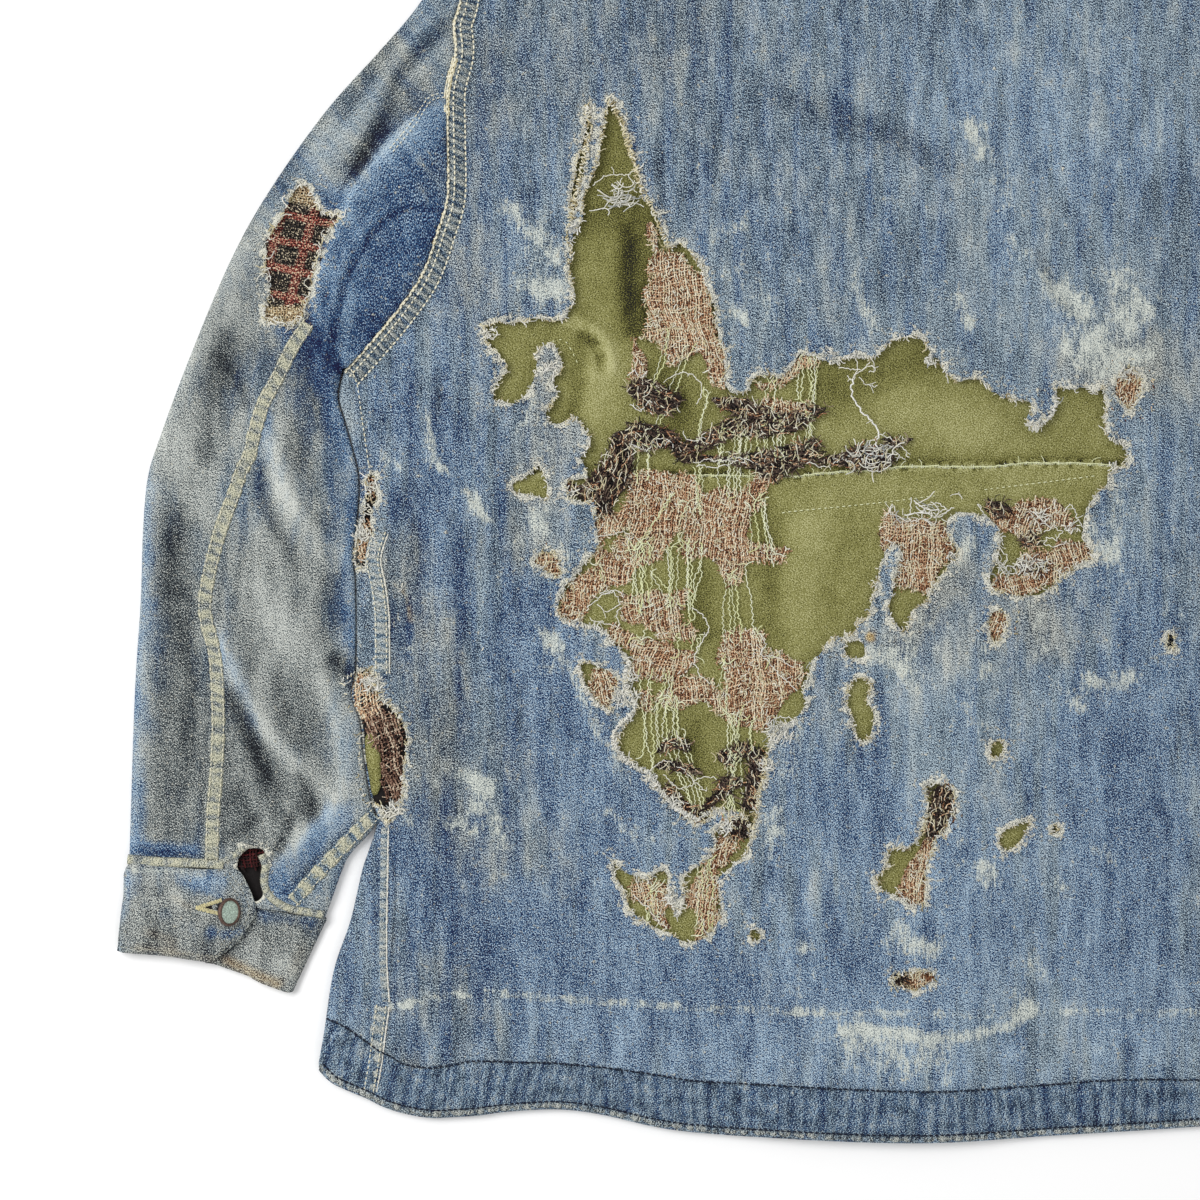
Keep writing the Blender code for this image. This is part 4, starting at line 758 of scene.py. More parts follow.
def shell(path_step=3.0):
    """Smooth versions of the outlines that several panels share."""
    made = {}
    for name, points in (("side_fold", SIDE_FOLD), ("side_seam", SIDE_SEAM), ("armhole", ARMHOLE),
                         ("hem", HEM_EDGE), ("hem_top", HEM_TOP), ("outer", SLEEVE_OUTER),
                         ("inner", SLEEVE_INNER), ("end", SLEEVE_END), ("elbow_top", ELBOW_TOP),
                         ("elbow", ELBOW), ("inner_seam", INNER_SEAM)):
        made[name] = curve(points, path_step)
    return made


RUNS = shell()
FLIP = np.array((-1.0, 1.0))


def shoulder_line(x):
    """Height in the drawing of the shoulder seam above a place."""
    t = (np.abs(x) + NECK[0]) / (-SHOULDER[0] + NECK[0])
    return NECK[1] + (SHOULDER[1] - NECK[1]) * t


def body_top(x, y):
    """Upper face of the back and the parts of the fronts that turn onto it."""
    x, y = np.asarray(x, float), np.asarray(y, float)
    z = BODY_TOP + placket_ridge(x, y) + body_relief(x, y)
    z = z + 0.35 * wander(x, y, 95, 3) + 0.14 * wander(x, y, 24, 4)
    hem = nearest(x, y, RUNS["hem"][::3])[0]
    z = z - 2.6 * ease(16, 0, hem)
    over = shoulder_line(x) - y
    z = z - 2.8 * np.where(np.abs(x) > -NECK[0], ease(16, 0, over), 0.0)
    fold = nearest(-np.abs(x), y, RUNS["side_fold"])[0]
    middle = (BODY_TOP + BODY_BOTTOM) / 2
    dip = np.clip(fold / FOLD_REACH, 0, 1)
    rounded = middle + (z - middle) * np.sqrt(np.maximum(0, 1 - (1 - dip) ** 2))
    return np.where(y < 60, rounded, z)


def under_top(level):
    """Upper face of a flat layer inside the body."""
    def at(x, y):
        return level + placket_ridge(np.asarray(x, float), np.asarray(y, float)) * 0.96
    return at


def sleeve_top(x, y, folds=None, side=-1):
    """Upper face of a sleeve."""
    x, y = np.asarray(x, float), np.asarray(y, float)
    mirror = -side * x
    outer = nearest(mirror, y, RUNS["outer"])[0]
    inner = nearest(mirror, y, RUNS["inner"])[0]
    z = SLEEVE_TOP + 0.9 * ease(0, 40, np.minimum(outer, inner))
    z = z + sleeve_relief(x, y, SLEEVE_FOLDS if folds is None else folds, side)
    z = z + 0.4 * wander(x, y, 70, 5) + 0.18 * wander(x, y, 20, 6)
    arm = nearest(mirror, y, RUNS["armhole"][::3])[0]
    z = z - 0.5 * np.exp(-(arm / 11) ** 2)
    z = z - 1.6 * ease(14, 0, nearest(mirror, y, RUNS["end"])[0])
    z = np.maximum(z, 3.6)
    middle = (SLEEVE_TOP + BODY_BOTTOM) / 2
    edge = np.where(y < 60, np.minimum(outer, inner), outer)
    dip = np.clip(edge / FOLD_REACH, 0, 1)
    return middle + (z - middle) * np.sqrt(np.maximum(0, 1 - (1 - dip) ** 2))


def right_sleeve_top(x, y):
    return sleeve_top(x, y, RIGHT_SLEEVE_FOLDS, 1)


def rounded_bottom(edges, top, folded):
    """Lower layer of a tube, turned up to meet the upper one along the folded edges."""
    middle = (top + BODY_BOTTOM) / 2

    def at(x, y):
        distance = np.full(np.shape(x), 1e9)
        for path in edges:
            distance = np.minimum(distance, nearest(x, y, path)[0])
        distance = np.where(folded(x, y), distance, 1e9)
        dip = np.clip(distance / FOLD_REACH, 0, 1)
        return middle - (middle - BODY_BOTTOM) * np.sqrt(np.maximum(0, 1 - (1 - dip) ** 2))
    return at


# ---------------------------------------------------------------- building cloth

def field_points(outline, step, fine_step=None, near=None, reach=0.0, edge=2.0):
    """Points spread inside an outline, closer together within reach of the near points."""
    low, high = outline.min(axis=0), outline.max(axis=0)
    tree = None
    if near is not None and len(near):
        tree = KDTree(len(near))
        for i, (x, y) in enumerate(near):
            tree.insert((x, y, 0), i)
        tree.balance()
    rim = KDTree(len(outline))
    for i, (x, y) in enumerate(outline):
        rim.insert((x, y, 0), i)
    rim.balance()

    def grid(spacing):
        rows = np.arange(low[1], high[1], spacing * 0.866)
        across = np.arange(low[0], high[0], spacing)
        x = across[None, :] + (np.arange(len(rows)) % 2)[:, None] * spacing / 2
        y = np.repeat(rows[:, None], len(across), axis=1)
        x, y = x.ravel(), y.ravel()
        keep = inside(x, y, outline)
        return np.stack([x[keep], y[keep]], axis=1)

    kept = []
    for p in grid(step):
        away = tree.find((p[0], p[1], 0))[2] if tree else 1e9
        if away > reach and rim.find((p[0], p[1], 0))[2] > edge:
            kept.append(p)
    if tree:
        for p in grid(fine_step):
            away = tree.find((p[0], p[1], 0))[2]
            if fine_step * 0.5 < away <= reach and rim.find((p[0], p[1], 0))[2] > fine_step * 0.6:
                kept.append(p)
    return np.array(kept)


def triangulated(outline, inner_lines, points):
    """Flat triangles over an outline, with the inner lines kept as edges."""
    coords = [Vector(p) for p in outline]
    edges = [(i, (i + 1) % len(outline)) for i in range(len(outline))]
    for line, closed in inner_lines:
        start = len(coords)
        coords.extend(Vector(p) for p in line)
        edges.extend((start + i, start + i + 1) for i in range(len(line) - 1))
        if closed:
            edges.append((start + len(line) - 1, start))
    coords.extend(Vector(p) for p in points)
    result = delaunay_2d_cdt(coords, edges, [], 0, 1e-4)
    flat = np.array([(v.x, v.y) for v in result[0]])
    faces = np.array([f for f in result[2] if len(f) == 3])
    middle = flat[faces].mean(axis=1)
    a, b, c = flat[faces[:, 0]], flat[faces[:, 1]], flat[faces[:, 2]]
    area = (b[:, 0] - a[:, 0]) * (c[:, 1] - a[:, 1]) - (b[:, 1] - a[:, 1]) * (c[:, 0] - a[:, 0])
    faces[area < 0] = faces[area < 0][:, ::-1]
    keep = inside(middle[:, 0], middle[:, 1], outline) & (np.abs(area) > 1e-5)
    return flat, faces[keep], middle[keep]


def mesh_from(name, points, faces, weld=False):
    """A mesh from points in millimetres."""
    used = np.unique(faces)
    place = {old: new for new, old in enumerate(used)}
    mesh = bpy.data.meshes.new(name)
    mesh.from_pydata((points[used] * MM).tolist(), [], [[place[i] for i in f] for f in faces])
    if weld:
        work = bmesh.new()
        work.from_mesh(mesh)
        bmesh.ops.remove_doubles(work, verts=work.verts, dist=2e-6)
        work.to_mesh(mesh)
        work.free()
    mesh.shade_smooth()
    return mesh


def add_piece(name, mesh, finish):
    thing = bpy.data.objects.new(name, mesh)
    bpy.context.scene.collection.objects.link(thing)
    if finish:
        mesh.materials.clear()
        mesh.materials.append(finish)
    return thing


def set_values(mesh, name, values):
    layer = mesh.attributes.new(name, "FLOAT", "POINT")
    layer.data.foreach_set("value", np.asarray(values, np.float32))


def set_cloth_map(mesh, across, along):
    """UV map in metres of cloth, from values at the points."""
    layer = mesh.uv_layers.new(name="cloth")
    corners = np.zeros(len(mesh.loops), np.int32)
    mesh.loops.foreach_get("vertex_index", corners)
    pairs = np.stack([np.asarray(across)[corners], np.asarray(along)[corners]], axis=1)
    layer.data.foreach_set("uv", pairs.astype(np.float32).ravel())


def thicken(thing, thickness, offset=-1.0):
    wall = thing.modifiers.new("thickness", "SOLIDIFY")
    wall.thickness = thickness * MM
    wall.offset = offset
    wall.use_even_offset = False
    return thing


def points_of(mesh):
    flat = np.zeros(len(mesh.vertices) * 3, np.float32)
    mesh.vertices.foreach_get("co", flat)
    return flat.reshape(-1, 3) / MM


def set_strokes_and_shade(mesh, table, holes, grain, loft):
    """Stroke values of fading, stains and painted shade and highlight, and the cloth map of a denim panel.
    """
    p = points_of(mesh)
    x, y = p[:, 0], p[:, 1]
    for kind in ("bleach", "pale", "deep", "stain", "blue", "rust"):
        set_values(mesh, kind, strokes_at(x, y, table, kind))
    distance = np.full(len(x), 60.0)
    if len(holes):
        tree = KDTree(len(holes))
        for i, (hx, hy) in enumerate(holes):
            tree.insert((hx, hy, 0), i)
        tree.balance()
        distance = np.array([tree.find((a, b, 0))[2] for a, b in zip(x, y)])
    uneven = np.clip(0.8 + 0.75 * wander(x, y, 9, 77), 0.1, 1.6)
    frayed_rim = np.exp(-(distance / 2.4) ** 2) + 0.5 * np.exp(-(distance / 7.0) ** 2)
    set_values(mesh, "torn", uneven * frayed_rim)
    # Fold height, which the finishes turn into paler ridges and darker hollows: part rubbing, part painted
    # shade.
    set_values(mesh, "loft", loft(x, y))
    across, along = grain(x, y)
    set_cloth_map(mesh, across * MM, along * MM)


def straight_grain(x, y):
    return x, y


def sleeve_grain(side):
    """Across and along the sleeve, which bends at the pit."""
    def at(x, y):
        angle = math.radians(38) * ease(40, 220, y)
        right, up = -side * x + 330.0, y - 130.0
        return right * np.cos(angle) + up * np.sin(angle), up * np.cos(angle) - right * np.sin(angle)
    return at


# ---------------------------------------------------------------- shader expressions

class Value:
    """A shader socket that adds nodes as it is used in an expression."""

    def __init__(self, tree, socket=None):
        self.tree = tree
        self.socket = socket

    def node(self, kind, settings=None, inputs=None, output=0):
        made = self.tree.nodes.new(kind)
        for key, value in (settings or {}).items():
            if key == "stops":
                ramp = made.color_ramp
                while len(ramp.elements) < len(value):
                    ramp.elements.new(0.5)
                for element, (place, colour) in zip(ramp.elements, value):
                    element.position = place
                    element.color = (*colour, 1.0)
            else:
                setattr(made, key, value)
        for key, value in (inputs or {}).items():
            socket = made.inputs[key]
            if isinstance(value, Value):
                self.tree.links.new(value.socket, socket)
            else:
                socket.default_value = value
        return Value(self.tree, made.outputs[output])

    def maths(self, operation, *others):
        values = dict(enumerate((self, *others)))
        return self.node("ShaderNodeMath", {"operation": operation}, values)

    def __add__(self, other):
        return self.maths("ADD", other)

    def __radd__(self, other):
        return self.maths("ADD", other)

    def __sub__(self, other):
        return self.maths("SUBTRACT", other)

    def __rsub__(self, other):
        return self.node("ShaderNodeMath", {"operation": "SUBTRACT"}, {0: other, 1: self})

    def __mul__(self, other):
        return self.maths("MULTIPLY", other)

    def __rmul__(self, other):
        return self.maths("MULTIPLY", other)

    def __truediv__(self, other):
        return self.maths("DIVIDE", other)

    def sine(self):
        return self.maths("SINE")

    def clipped(self, low=0.0, high=1.0):
        """The value mapped so that low gives 0 and high gives 1, and kept between them."""
        sockets = {"From Min": low, "From Max": high, "Value": self}
        return self.node("ShaderNodeMapRange", {"interpolation_type": "SMOOTHSTEP"}, sockets)

    def value(self, name):
        """A number that the piece carries at its points."""
        return self.node("ShaderNodeAttribute", {"attribute_name": name}, output=2)

    def cloth(self):
        """Place on the cloth in millimetres."""
        place = self.node("ShaderNodeUVMap", {"uv_map": "cloth"})
        return place.node("ShaderNodeVectorMath", {"operation": "SCALE"}, {0: place, "Scale": 1 / MM})

    def room(self):
        """Place in the jacket's own frame in millimetres."""
        place = self.node("ShaderNodeTexCoord", output=3)
        return place.node("ShaderNodeVectorMath", {"operation": "SCALE"}, {0: place, "Scale": 1 / MM})

    def noise(self, across, along, shift=0.0, detail=1.0):
        """Uneven values round 0.5, with bumps across and along millimetres in size, at a vector's place."""
        scaled = self.node("ShaderNodeVectorMath", {"operation": "MULTIPLY_ADD"},
                           {0: self, 1: (1 / across, 1 / along, 1 / across), 2: (shift, shift * 0.7, 0)})
        return scaled.node("ShaderNodeTexNoise", {"noise_dimensions": "3D"},
                           {"Vector": scaled, "Scale": 1.0, "Detail": detail, "Roughness": 0.6})

    def part(self, axis):
        return self.node("ShaderNodeSeparateXYZ", None, {0: self}, output=axis)

    def ramp(self, stops):
        return self.node("ShaderNodeValToRGB", {"stops": stops}, {0: self})

    def mix(self, factor, other):
        """This colour mixed towards another colour."""
        return self.node("ShaderNodeMix", {"data_type": "RGBA"}, {0: factor, 6: self, 7: other}, output=2)


def new_finish(name, roughness=0.9, sheen=0.0):
    """A material, its shader node, and a Value to start expressions from."""
    material = bpy.data.materials.new(name)
    material.use_nodes = True
    tree = material.node_tree
    shader = tree.nodes["Principled BSDF"]
    shader.inputs["Roughness"].default_value = roughness
    shader.inputs["Sheen Weight"].default_value = sheen
    shader.inputs["Sheen Roughness"].default_value = 0.6
    shader.inputs["Specular IOR Level"].default_value = 0.25
    return material, shader, Value(tree)


def coloured(material, shader, colour, height=None, distance=0.2, strength=1.0):
    """Joins a colour and a surface relief, in millimetres, to the shader."""
    tree = material.node_tree
    tree.links.new(colour.socket, shader.inputs["Base Color"])
    if height is not None:
        bump = height.node("ShaderNodeBump", None,
                           {"Height": height, "Distance": distance * MM, "Strength": strength})
        tree.links.new(bump.socket, shader.inputs["Normal"])
    return material


# Screen colour to reflectance: how bright the studio light shows a surface, and its faint overall gloss
LIGHT_GAIN = 1.22

GLOSS = 0.012


def seen(*colour):
    """Reflectance that shows as a screen colour, given in 0 to 255, under the studio light."""
    return tuple(max(0.003, ((c / 255 + 0.055) / 1.055) ** 2.4 - GLOSS) / LIGHT_GAIN for c in colour)


def shades(*colours):
    """Stops of a ramp at even distances from dark to light."""
    last = len(colours) - 1
    return tuple((i / last, seen(*colour)) for i, colour in enumerate(colours))


KHAKI = shades((34, 42, 46), (84, 92, 88), (140, 144, 128), (186, 186, 160), (226, 223, 198))

TORN = shades((66, 74, 84), (124, 130, 132), (178, 180, 170), (222, 219, 200), (248, 246, 230))

RUST = shades((62, 44, 20), (116, 84, 40), (164, 124, 66), (196, 164, 108), (226, 208, 164))
BLEACHED = shades((66, 80, 92), (116, 130, 138), (160, 171, 172), (198, 205, 198), (234, 238, 226))


def denim_grain(cloth, level, strength=1.0, streaks=1.0):
    """Tone of faded twill: grains along its diagonal, slubs down the warp and a little of the weft."""
    across, along = cloth.part(0), cloth.part(1)
    leaning = cloth.node("ShaderNodeCombineXYZ", None, {0: across * 0.97 - along * 0.24,
                                                        1: across * 0.24 + along * 0.97, 2: 0.0})
    grain = leaning.noise(0.42, 0.85, 1.3, 0.0)
    coarse = leaning.noise(1.1, 1.7, 7.7, 0.0)
    streak = cloth.noise(1.1, 9.0, 3.1, 1.0)
    slub = cloth.noise(2.4, 60.0, 5.9, 1.0)
    weft = cloth.noise(14.0, 1.3, 9.4, 1.0)
    diagonal = ((across * 0.8 - along) * (math.tau / 1.9)).sine()
    tone = (level + (grain - 0.5) * (5.3 * strength) + (coarse - 0.5) * (0.30 * strength)
            + (streak - 0.5) * (0.95 * strength * streaks) + (slub - 0.5) * (0.40 * streaks)
            + (weft - 0.5) * 0.30
            + diagonal * (0.05 * strength))
    return tone, grain, streak, diagonal


def hem_finish():
    """The turned hem: blue creases and rubbed pale ridges with painted shade and highlight on its puckers,
    painted shade under its top seam, and pale ticks along its very edge.
    """
    material, shader, start = new_finish("puckered hem", 0.94, 0.05)
    cloth = start.cloth()
    across = start.value("across")
    worn = start.value("worn")
    tone, grain, *_ = denim_grain(cloth, 0.36, 0.75, 0.3)
    patchy = cloth.noise(9.0, 12.0, 6.3, 2.0)
    scuffed = cloth.noise(3.0, 2.4, 8.3, 1.0)
    ticks = (cloth.part(1) * (math.tau / 4.6) + patchy * 9.0).sine()
    rim = across.clipped(0.62, 0.88)
    top = (0.0 - across).clipped(0.84, 0.99)
    # top paints shade into the groove under the hem's upper seam; worn makes the puckers' crests paler and
    # their creases darker, part rubbing and part painted shade.
    tone = tone + worn * 1.25 + (patchy - 0.5) * 1.3 + rim * (ticks * 0.22 + 0.16) - top * 0.16
    stained = ((patchy - 0.5) * 2.0 + worn * 0.7 + (scuffed - 0.5) * 1.4 + rim * 0.8 + 0.02).clipped()
    bluer = ((patchy - 0.5) * 1.6 - worn * 1.2 + 0.50 - rim * 0.4).clipped()
    colour = tone.ramp(INDIGO).mix(bluer, tone.ramp(BRIGHT_BLUE)).mix(stained, tone.ramp(STAINED))
    return coloured(material, shader, colour, grain + scuffed * 2.0, 0.4)


def weave_finish(name, stops):
    """Blanket cloth: ribs of slanted dashes down the warp, dark between them, with paler flecks."""
    material, shader, start = new_finish(name, 0.96, 0.05)
    cloth = start.cloth()
    bend = cloth.noise(14.0, 14.0, 5.5, 1.0)
    rib = ((cloth.part(0) + bend * 9.0) * (math.tau / 1.6)).sine()
    dash = ((cloth.part(1) + cloth.part(0) * 0.8 + bend * 4.0) * (math.tau / 1.5)).sine()
    fleck = cloth.noise(0.8, 1.0, 3.9, 0.0)
    patch = cloth.noise(6.0, 6.0, 9.2, 1.0)
    tone = 0.34 + rib * 0.17 + dash * 0.14 + (fleck - 0.5) * 2.4 + (patch - 0.5) * 0.9
    return coloured(material, shader, tone.ramp(stops), rib + dash * 0.6 + fleck * 2.0, 0.4)


ROSE_SHADES = shades((60, 32, 22), (140, 88, 60), (212, 158, 118), (249, 222, 182), (255, 248, 222))

CHARCOAL_SHADES = shades((18, 12, 12), (46, 34, 34), (78, 62, 58), (138, 118, 100), (220, 210, 184))

INDIGO = shades((22, 36, 54), (54, 76, 96), (92, 115, 135), (134, 159, 177), (198, 216, 226))
BRIGHT_BLUE = shades((14, 32, 64), (34, 66, 106), (67, 106, 149), (115, 152, 184), (194, 215, 230))
STAINED = shades((26, 33, 38), (64, 74, 79), (112, 122, 124), (162, 169, 167), (220, 223, 216))


def denim_finish(name, tone_level, stain_level, blue_level, fold_rub_and_shade=0.045, streaks=1.0, drama=1.0,
                 strength=1.0):
    """Faded indigo twill: warp streaks, pale flecks, bleached blotches, stains and whitened torn edges,
    with painted highlight on its fold ridges and painted shade in its creases and hollows.
    """
    material, shader, start = new_finish(name, 0.94, 0.05)
    cloth = start.cloth()
    tone, grain, streak, diagonal = denim_grain(cloth, tone_level, strength, streaks)
    cloud = cloth.noise(38.0, 60.0, 2.2, 2.0)
    patchy = cloth.noise(8.0, 13.0, 4.8, 2.0)
    swathe = cloth.noise(10.0, 46.0, 12.5, 2.0)
    ragged_rim = cloth.noise(2.4, 2.6, 11.0, 1.0)
    # The pale and darkening strokes bring fading and kept dye, and painted highlight and shade along folds
    # and edges; loft paints fold ridges paler and hollows darker, part rubbing and part painted shade.
    tone = (tone + (cloud - 0.5) * 0.36 + (patchy - 0.5) * (0.62 * strength)
            + (swathe - 0.5) * (1.25 * strength)
            + start.value("pale") * drama - start.value("deep") * drama + start.value("loft") * fold_rub_and_shade)
    bleached = (start.value("bleach") * 0.96 + (patchy - 0.5) * 1.7 + (ragged_rim - 0.5) * 0.8
                + (streak - 0.5) * 1.2).clipped(0.28, 1.10)
    stained = (start.value("stain") * 0.75 - start.value("blue") * 0.5 + (cloud - 0.5) * 1.2
               + (patchy - 0.5) * 0.7 + (swathe - 0.5) * 1.4
               + stain_level).clipped()
    bluer = (start.value("blue") * 1.1 + (cloth.noise(7.0, 80.0, 6.6, 1.0) - 0.5) * (3.0 * strength)
             + (patchy - 0.5) * 0.9 + blue_level).clipped()
    colour = tone.ramp(INDIGO).mix(bluer, tone.ramp(BRIGHT_BLUE)).mix(stained, tone.ramp(STAINED))
    colour = colour.mix(bleached * 0.88, (tone * 0.9 + bleached * 0.42 + 0.05).ramp(BLEACHED))
    colour = colour.mix((start.value("rust") + (grain - 0.5) * 0.4).clipped(0.15, 1.2), tone.ramp(RUST))
    torn = (start.value("torn") * 1.15 + (grain - 0.5) * 0.6 + (patchy - 0.5) * 1.2
            + (ragged_rim - 0.5) * 2.8).clipped(0.45, 1.0)
    colour = colour.mix(torn * 0.92, (tone + 0.34).ramp(TORN))
    return coloured(material, shader, colour, grain + ragged_rim * torn * 2.0 + diagonal * 0.15, 0.30)


def olive_finish():
    """Plain cotton in olive, a little rubbed on its folds, with painted highlight on its ridges and painted
    shade in its hollows and beside the raw edge.
    """
    material, shader, start = new_finish("olive cotton", 0.86, 0.04)
    cloth = start.cloth()
    across, along = cloth.part(0), cloth.part(1)
    leaning = cloth.node("ShaderNodeCombineXYZ", None,
                         {0: across * 0.8 - along * 0.6, 1: across * 0.6 + along * 0.8})
    weave = leaning.noise(0.7, 0.7, 1.1, 0.0)
    thread = cloth.noise(1.0, 12.0, 2.2, 1.0)
    cloud = cloth.noise(34.0, 46.0, 3.3, 2.0)
    patchy = leaning.noise(5.0, 9.0, 4.4, 2.0)
    # The pale and darkening strokes and loft paint highlight on the ridges and shade in the hollows and
    # above the raw edge, with some rubbing.
    tone = (0.57 + (weave - 0.5) * 1.5 + (thread - 0.5) * 0.20 + (cloud - 0.5) * 0.35
            + (patchy - 0.5) * 0.30
            + start.value("pale") - start.value("deep") + start.value("loft") * 0.07)
    colour = tone.ramp(shades((30, 30, 8), (84, 82, 38), (131, 129, 76), (156, 154, 98), (198, 196, 146)))
    return coloured(material, shader, colour, weave, 0.16)


def yarn_finish(name, stops, flecks=0.5, size=1.4):
    """Hairy yarn; each run has its own shade."""
    material, shader, start = new_finish(name, 0.95, 0.06)
    place = start.room()
    shade = start.value("shade") + (place.noise(size, size, 2.0, 1.0) - 0.5) * (flecks * 2)
    return coloured(material, shader, shade.ramp(stops), place.noise(0.5, 0.5, 5.0, 0.0), 0.2)


def band_finish(name, low_ramp, high_ramp, level, contrast, edge_tone):
    """A felled seam: rubbed pale rungs on its puckers and darker cloth between them, part dye left and part
    painted shade, with painted shade along its borders.
    """
    material, shader, start = new_finish(name, 0.94, 0.05)
    cloth = start.cloth()
    across, worn = start.value("across"), start.value("worn")
    tone, grain, *_ = denim_grain(cloth, level, 0.6, 0.5)
    mottled = cloth.noise(4.0, 5.0, 8.1, 2.0)
    edge = (across * across).clipped(0.45, 0.95)
    border = (across * across).clipped(0.90, 1.0)
    # worn makes the puckers' crests paler and the hollows between darker, part rubbing and part painted
    # shade; edge_tone lightens the rubbed edges when above zero and paints shade along them when below;
    # border is painted shade where the band meets the panel.
    tone = tone + worn * contrast + (mottled - 0.5) * 0.6 + edge * edge_tone - border * 0.22
    rubbed = (worn * (contrast * 1.5) + (mottled - 0.5) * 1.5 + 0.6).clipped(0.2, 0.8)
    colour = tone.ramp(low_ramp).mix(rubbed, tone.ramp(high_ramp))
    return coloured(material, shader, colour, grain + mottled * 1.5, 0.35)


def plain_finish(name, colour, variation=0.2, roughness=0.6, size=2.0, metallic=0.0, lighter=1.5):
    """One colour with fine uneven shade."""
    material, shader, start = new_finish(name, roughness)
    shader.inputs["Metallic"].default_value = metallic
    place = start.room()
    shade = (place.noise(size, size, 1.0, 2.0) - 0.5) * (variation * 4) + 0.5
    made = shade.ramp(((0.0, tuple(c * 0.55 for c in colour)), (0.5, colour),
                       (1.0, tuple(min(1.0, c * lighter) for c in colour))))
    return coloured(material, shader, made, place.noise(size, size, 4.0, 1.0), 0.08)


FINISHES = {
    "denim": denim_finish("faded denim", 0.465, 0.12, 0.37, 0.055),
    "sleeve": denim_finish("stained sleeve denim", 0.54, 0.44, 0.36, 0.06, 0.5, 1.25, 0.70),
    "cuff": denim_finish("dirty cuff denim", 0.53, 0.46, 0.30, 0.05, 0.9, 1.3, 0.8),
    "olive": olive_finish(),
    "rose": yarn_finish("rose blanket yarn", ROSE_SHADES, 1.3, 0.8),
    "rose_cloth": weave_finish("rose blanket cloth", ROSE_SHADES),
    "charcoal": yarn_finish("charcoal blanket yarn", CHARCOAL_SHADES, 0.5, 1.0),
    "charcoal_cloth": weave_finish("charcoal blanket cloth", CHARCOAL_SHADES),
    "cream": yarn_finish("cream thread", shades((130, 114, 80), (204, 190, 146), (238, 228, 190),
                                                (250, 244, 218),
                                                (254, 252, 238)), 0.3),
    "straw": yarn_finish("pale green thread", shades((186, 188, 116), (230, 234, 170), (246, 250, 206),
                                                     (253, 255, 232)), 0.25),
    "white": yarn_finish("white fray", shades((160, 166, 168), (222, 222, 212), (246, 243, 228),
                                              (253, 251, 240),
                                              (255, 254, 248)), 0.3),
    "navy": yarn_finish("navy thread", shades((12, 18, 32), (30, 42, 62), (58, 74, 96)), 0.3),
    "band": band_finish("worn seam", INDIGO, STAINED, 0.42, 1.8, 0.06),
    "side_band": band_finish("worn side seam", INDIGO, STAINED, 0.70, 1.5, 0.12),
    "sleeve_band": band_finish("worn sleeve seam", STAINED, KHAKI, 0.66, 1.1, -0.14),
    "inner_band": band_finish("worn inner seam", INDIGO, KHAKI, 0.66, 1.7, 0.0),
    "hem": hem_finish(),
}


# ---------------------------------------------------------------- repeated pieces by node trees

def new_tree(name, numbers):
    """A geometry tree with a geometry input, number inputs, a material input and a geometry output."""
    tree = bpy.data.node_groups.new(name, "GeometryNodeTree")
    tree.interface.new_socket("Geometry", in_out="INPUT", socket_type="NodeSocketGeometry")
    for label, value in numbers:
        tree.interface.new_socket(label, in_out="INPUT",
                                  socket_type="NodeSocketFloat").default_value = value
    tree.interface.new_socket("Material", in_out="INPUT", socket_type="NodeSocketMaterial")
    tree.interface.new_socket("Geometry", in_out="OUTPUT", socket_type="NodeSocketGeometry")
    return tree, tree.nodes.new("NodeGroupInput"), tree.nodes.new("NodeGroupOutput")


def wire(tree, source, output, target, entry):
    tree.links.new(source.outputs[output], target.inputs[entry])


def stitch_tree():
    """Small round-ended stitches along each edge run."""
    tree, given, result = new_tree("sewn row", (("Pitch", 0.003), ("Length", 0.0011), ("Width", 0.0003)))
    to_curve = tree.nodes.new("GeometryNodeMeshToCurve")
    spread = tree.nodes.new("GeometryNodeCurveToPoints")
    spread.mode = "LENGTH"
    one = tree.nodes.new("GeometryNodeMeshIcoSphere")
    one.inputs["Radius"].default_value = 1.0
    one.inputs["Subdivisions"].default_value = 1
    place = tree.nodes.new("GeometryNodeInstanceOnPoints")
    size = tree.nodes.new("ShaderNodeCombineXYZ")
    jitter = tree.nodes.new("FunctionNodeRandomValue")
    jitter.data_type = "FLOAT"
    jitter.inputs[2].default_value = 0.72
    jitter.inputs[3].default_value = 1.15
    jitter.inputs["Seed"].default_value = 11
    longer = tree.nodes.new("ShaderNodeMath")
    longer.operation = "MULTIPLY"
    realize = tree.nodes.new("GeometryNodeRealizeInstances")
    paint = tree.nodes.new("GeometryNodeSetMaterial")
    wire(tree, given, "Geometry", to_curve, 0)
    wire(tree, to_curve, 0, spread, "Curve")
    wire(tree, given, "Pitch", spread, "Length")
    wire(tree, given, "Length", longer, 0)
    wire(tree, jitter, 1, longer, 1)
    wire(tree, given, "Width", size, 0)
    wire(tree, given, "Width", size, 1)
    wire(tree, longer, 0, size, 2)
    wire(tree, spread, "Points", place, "Points")
    wire(tree, one, "Mesh", place, "Instance")
    wire(tree, spread, "Rotation", place, "Rotation")
    wire(tree, size, 0, place, "Scale")
    wire(tree, place, 0, realize, 0)
    wire(tree, realize, 0, paint, "Geometry")
    wire(tree, given, "Material", paint, "Material")
    wire(tree, paint, 0, result, 0)
    return tree


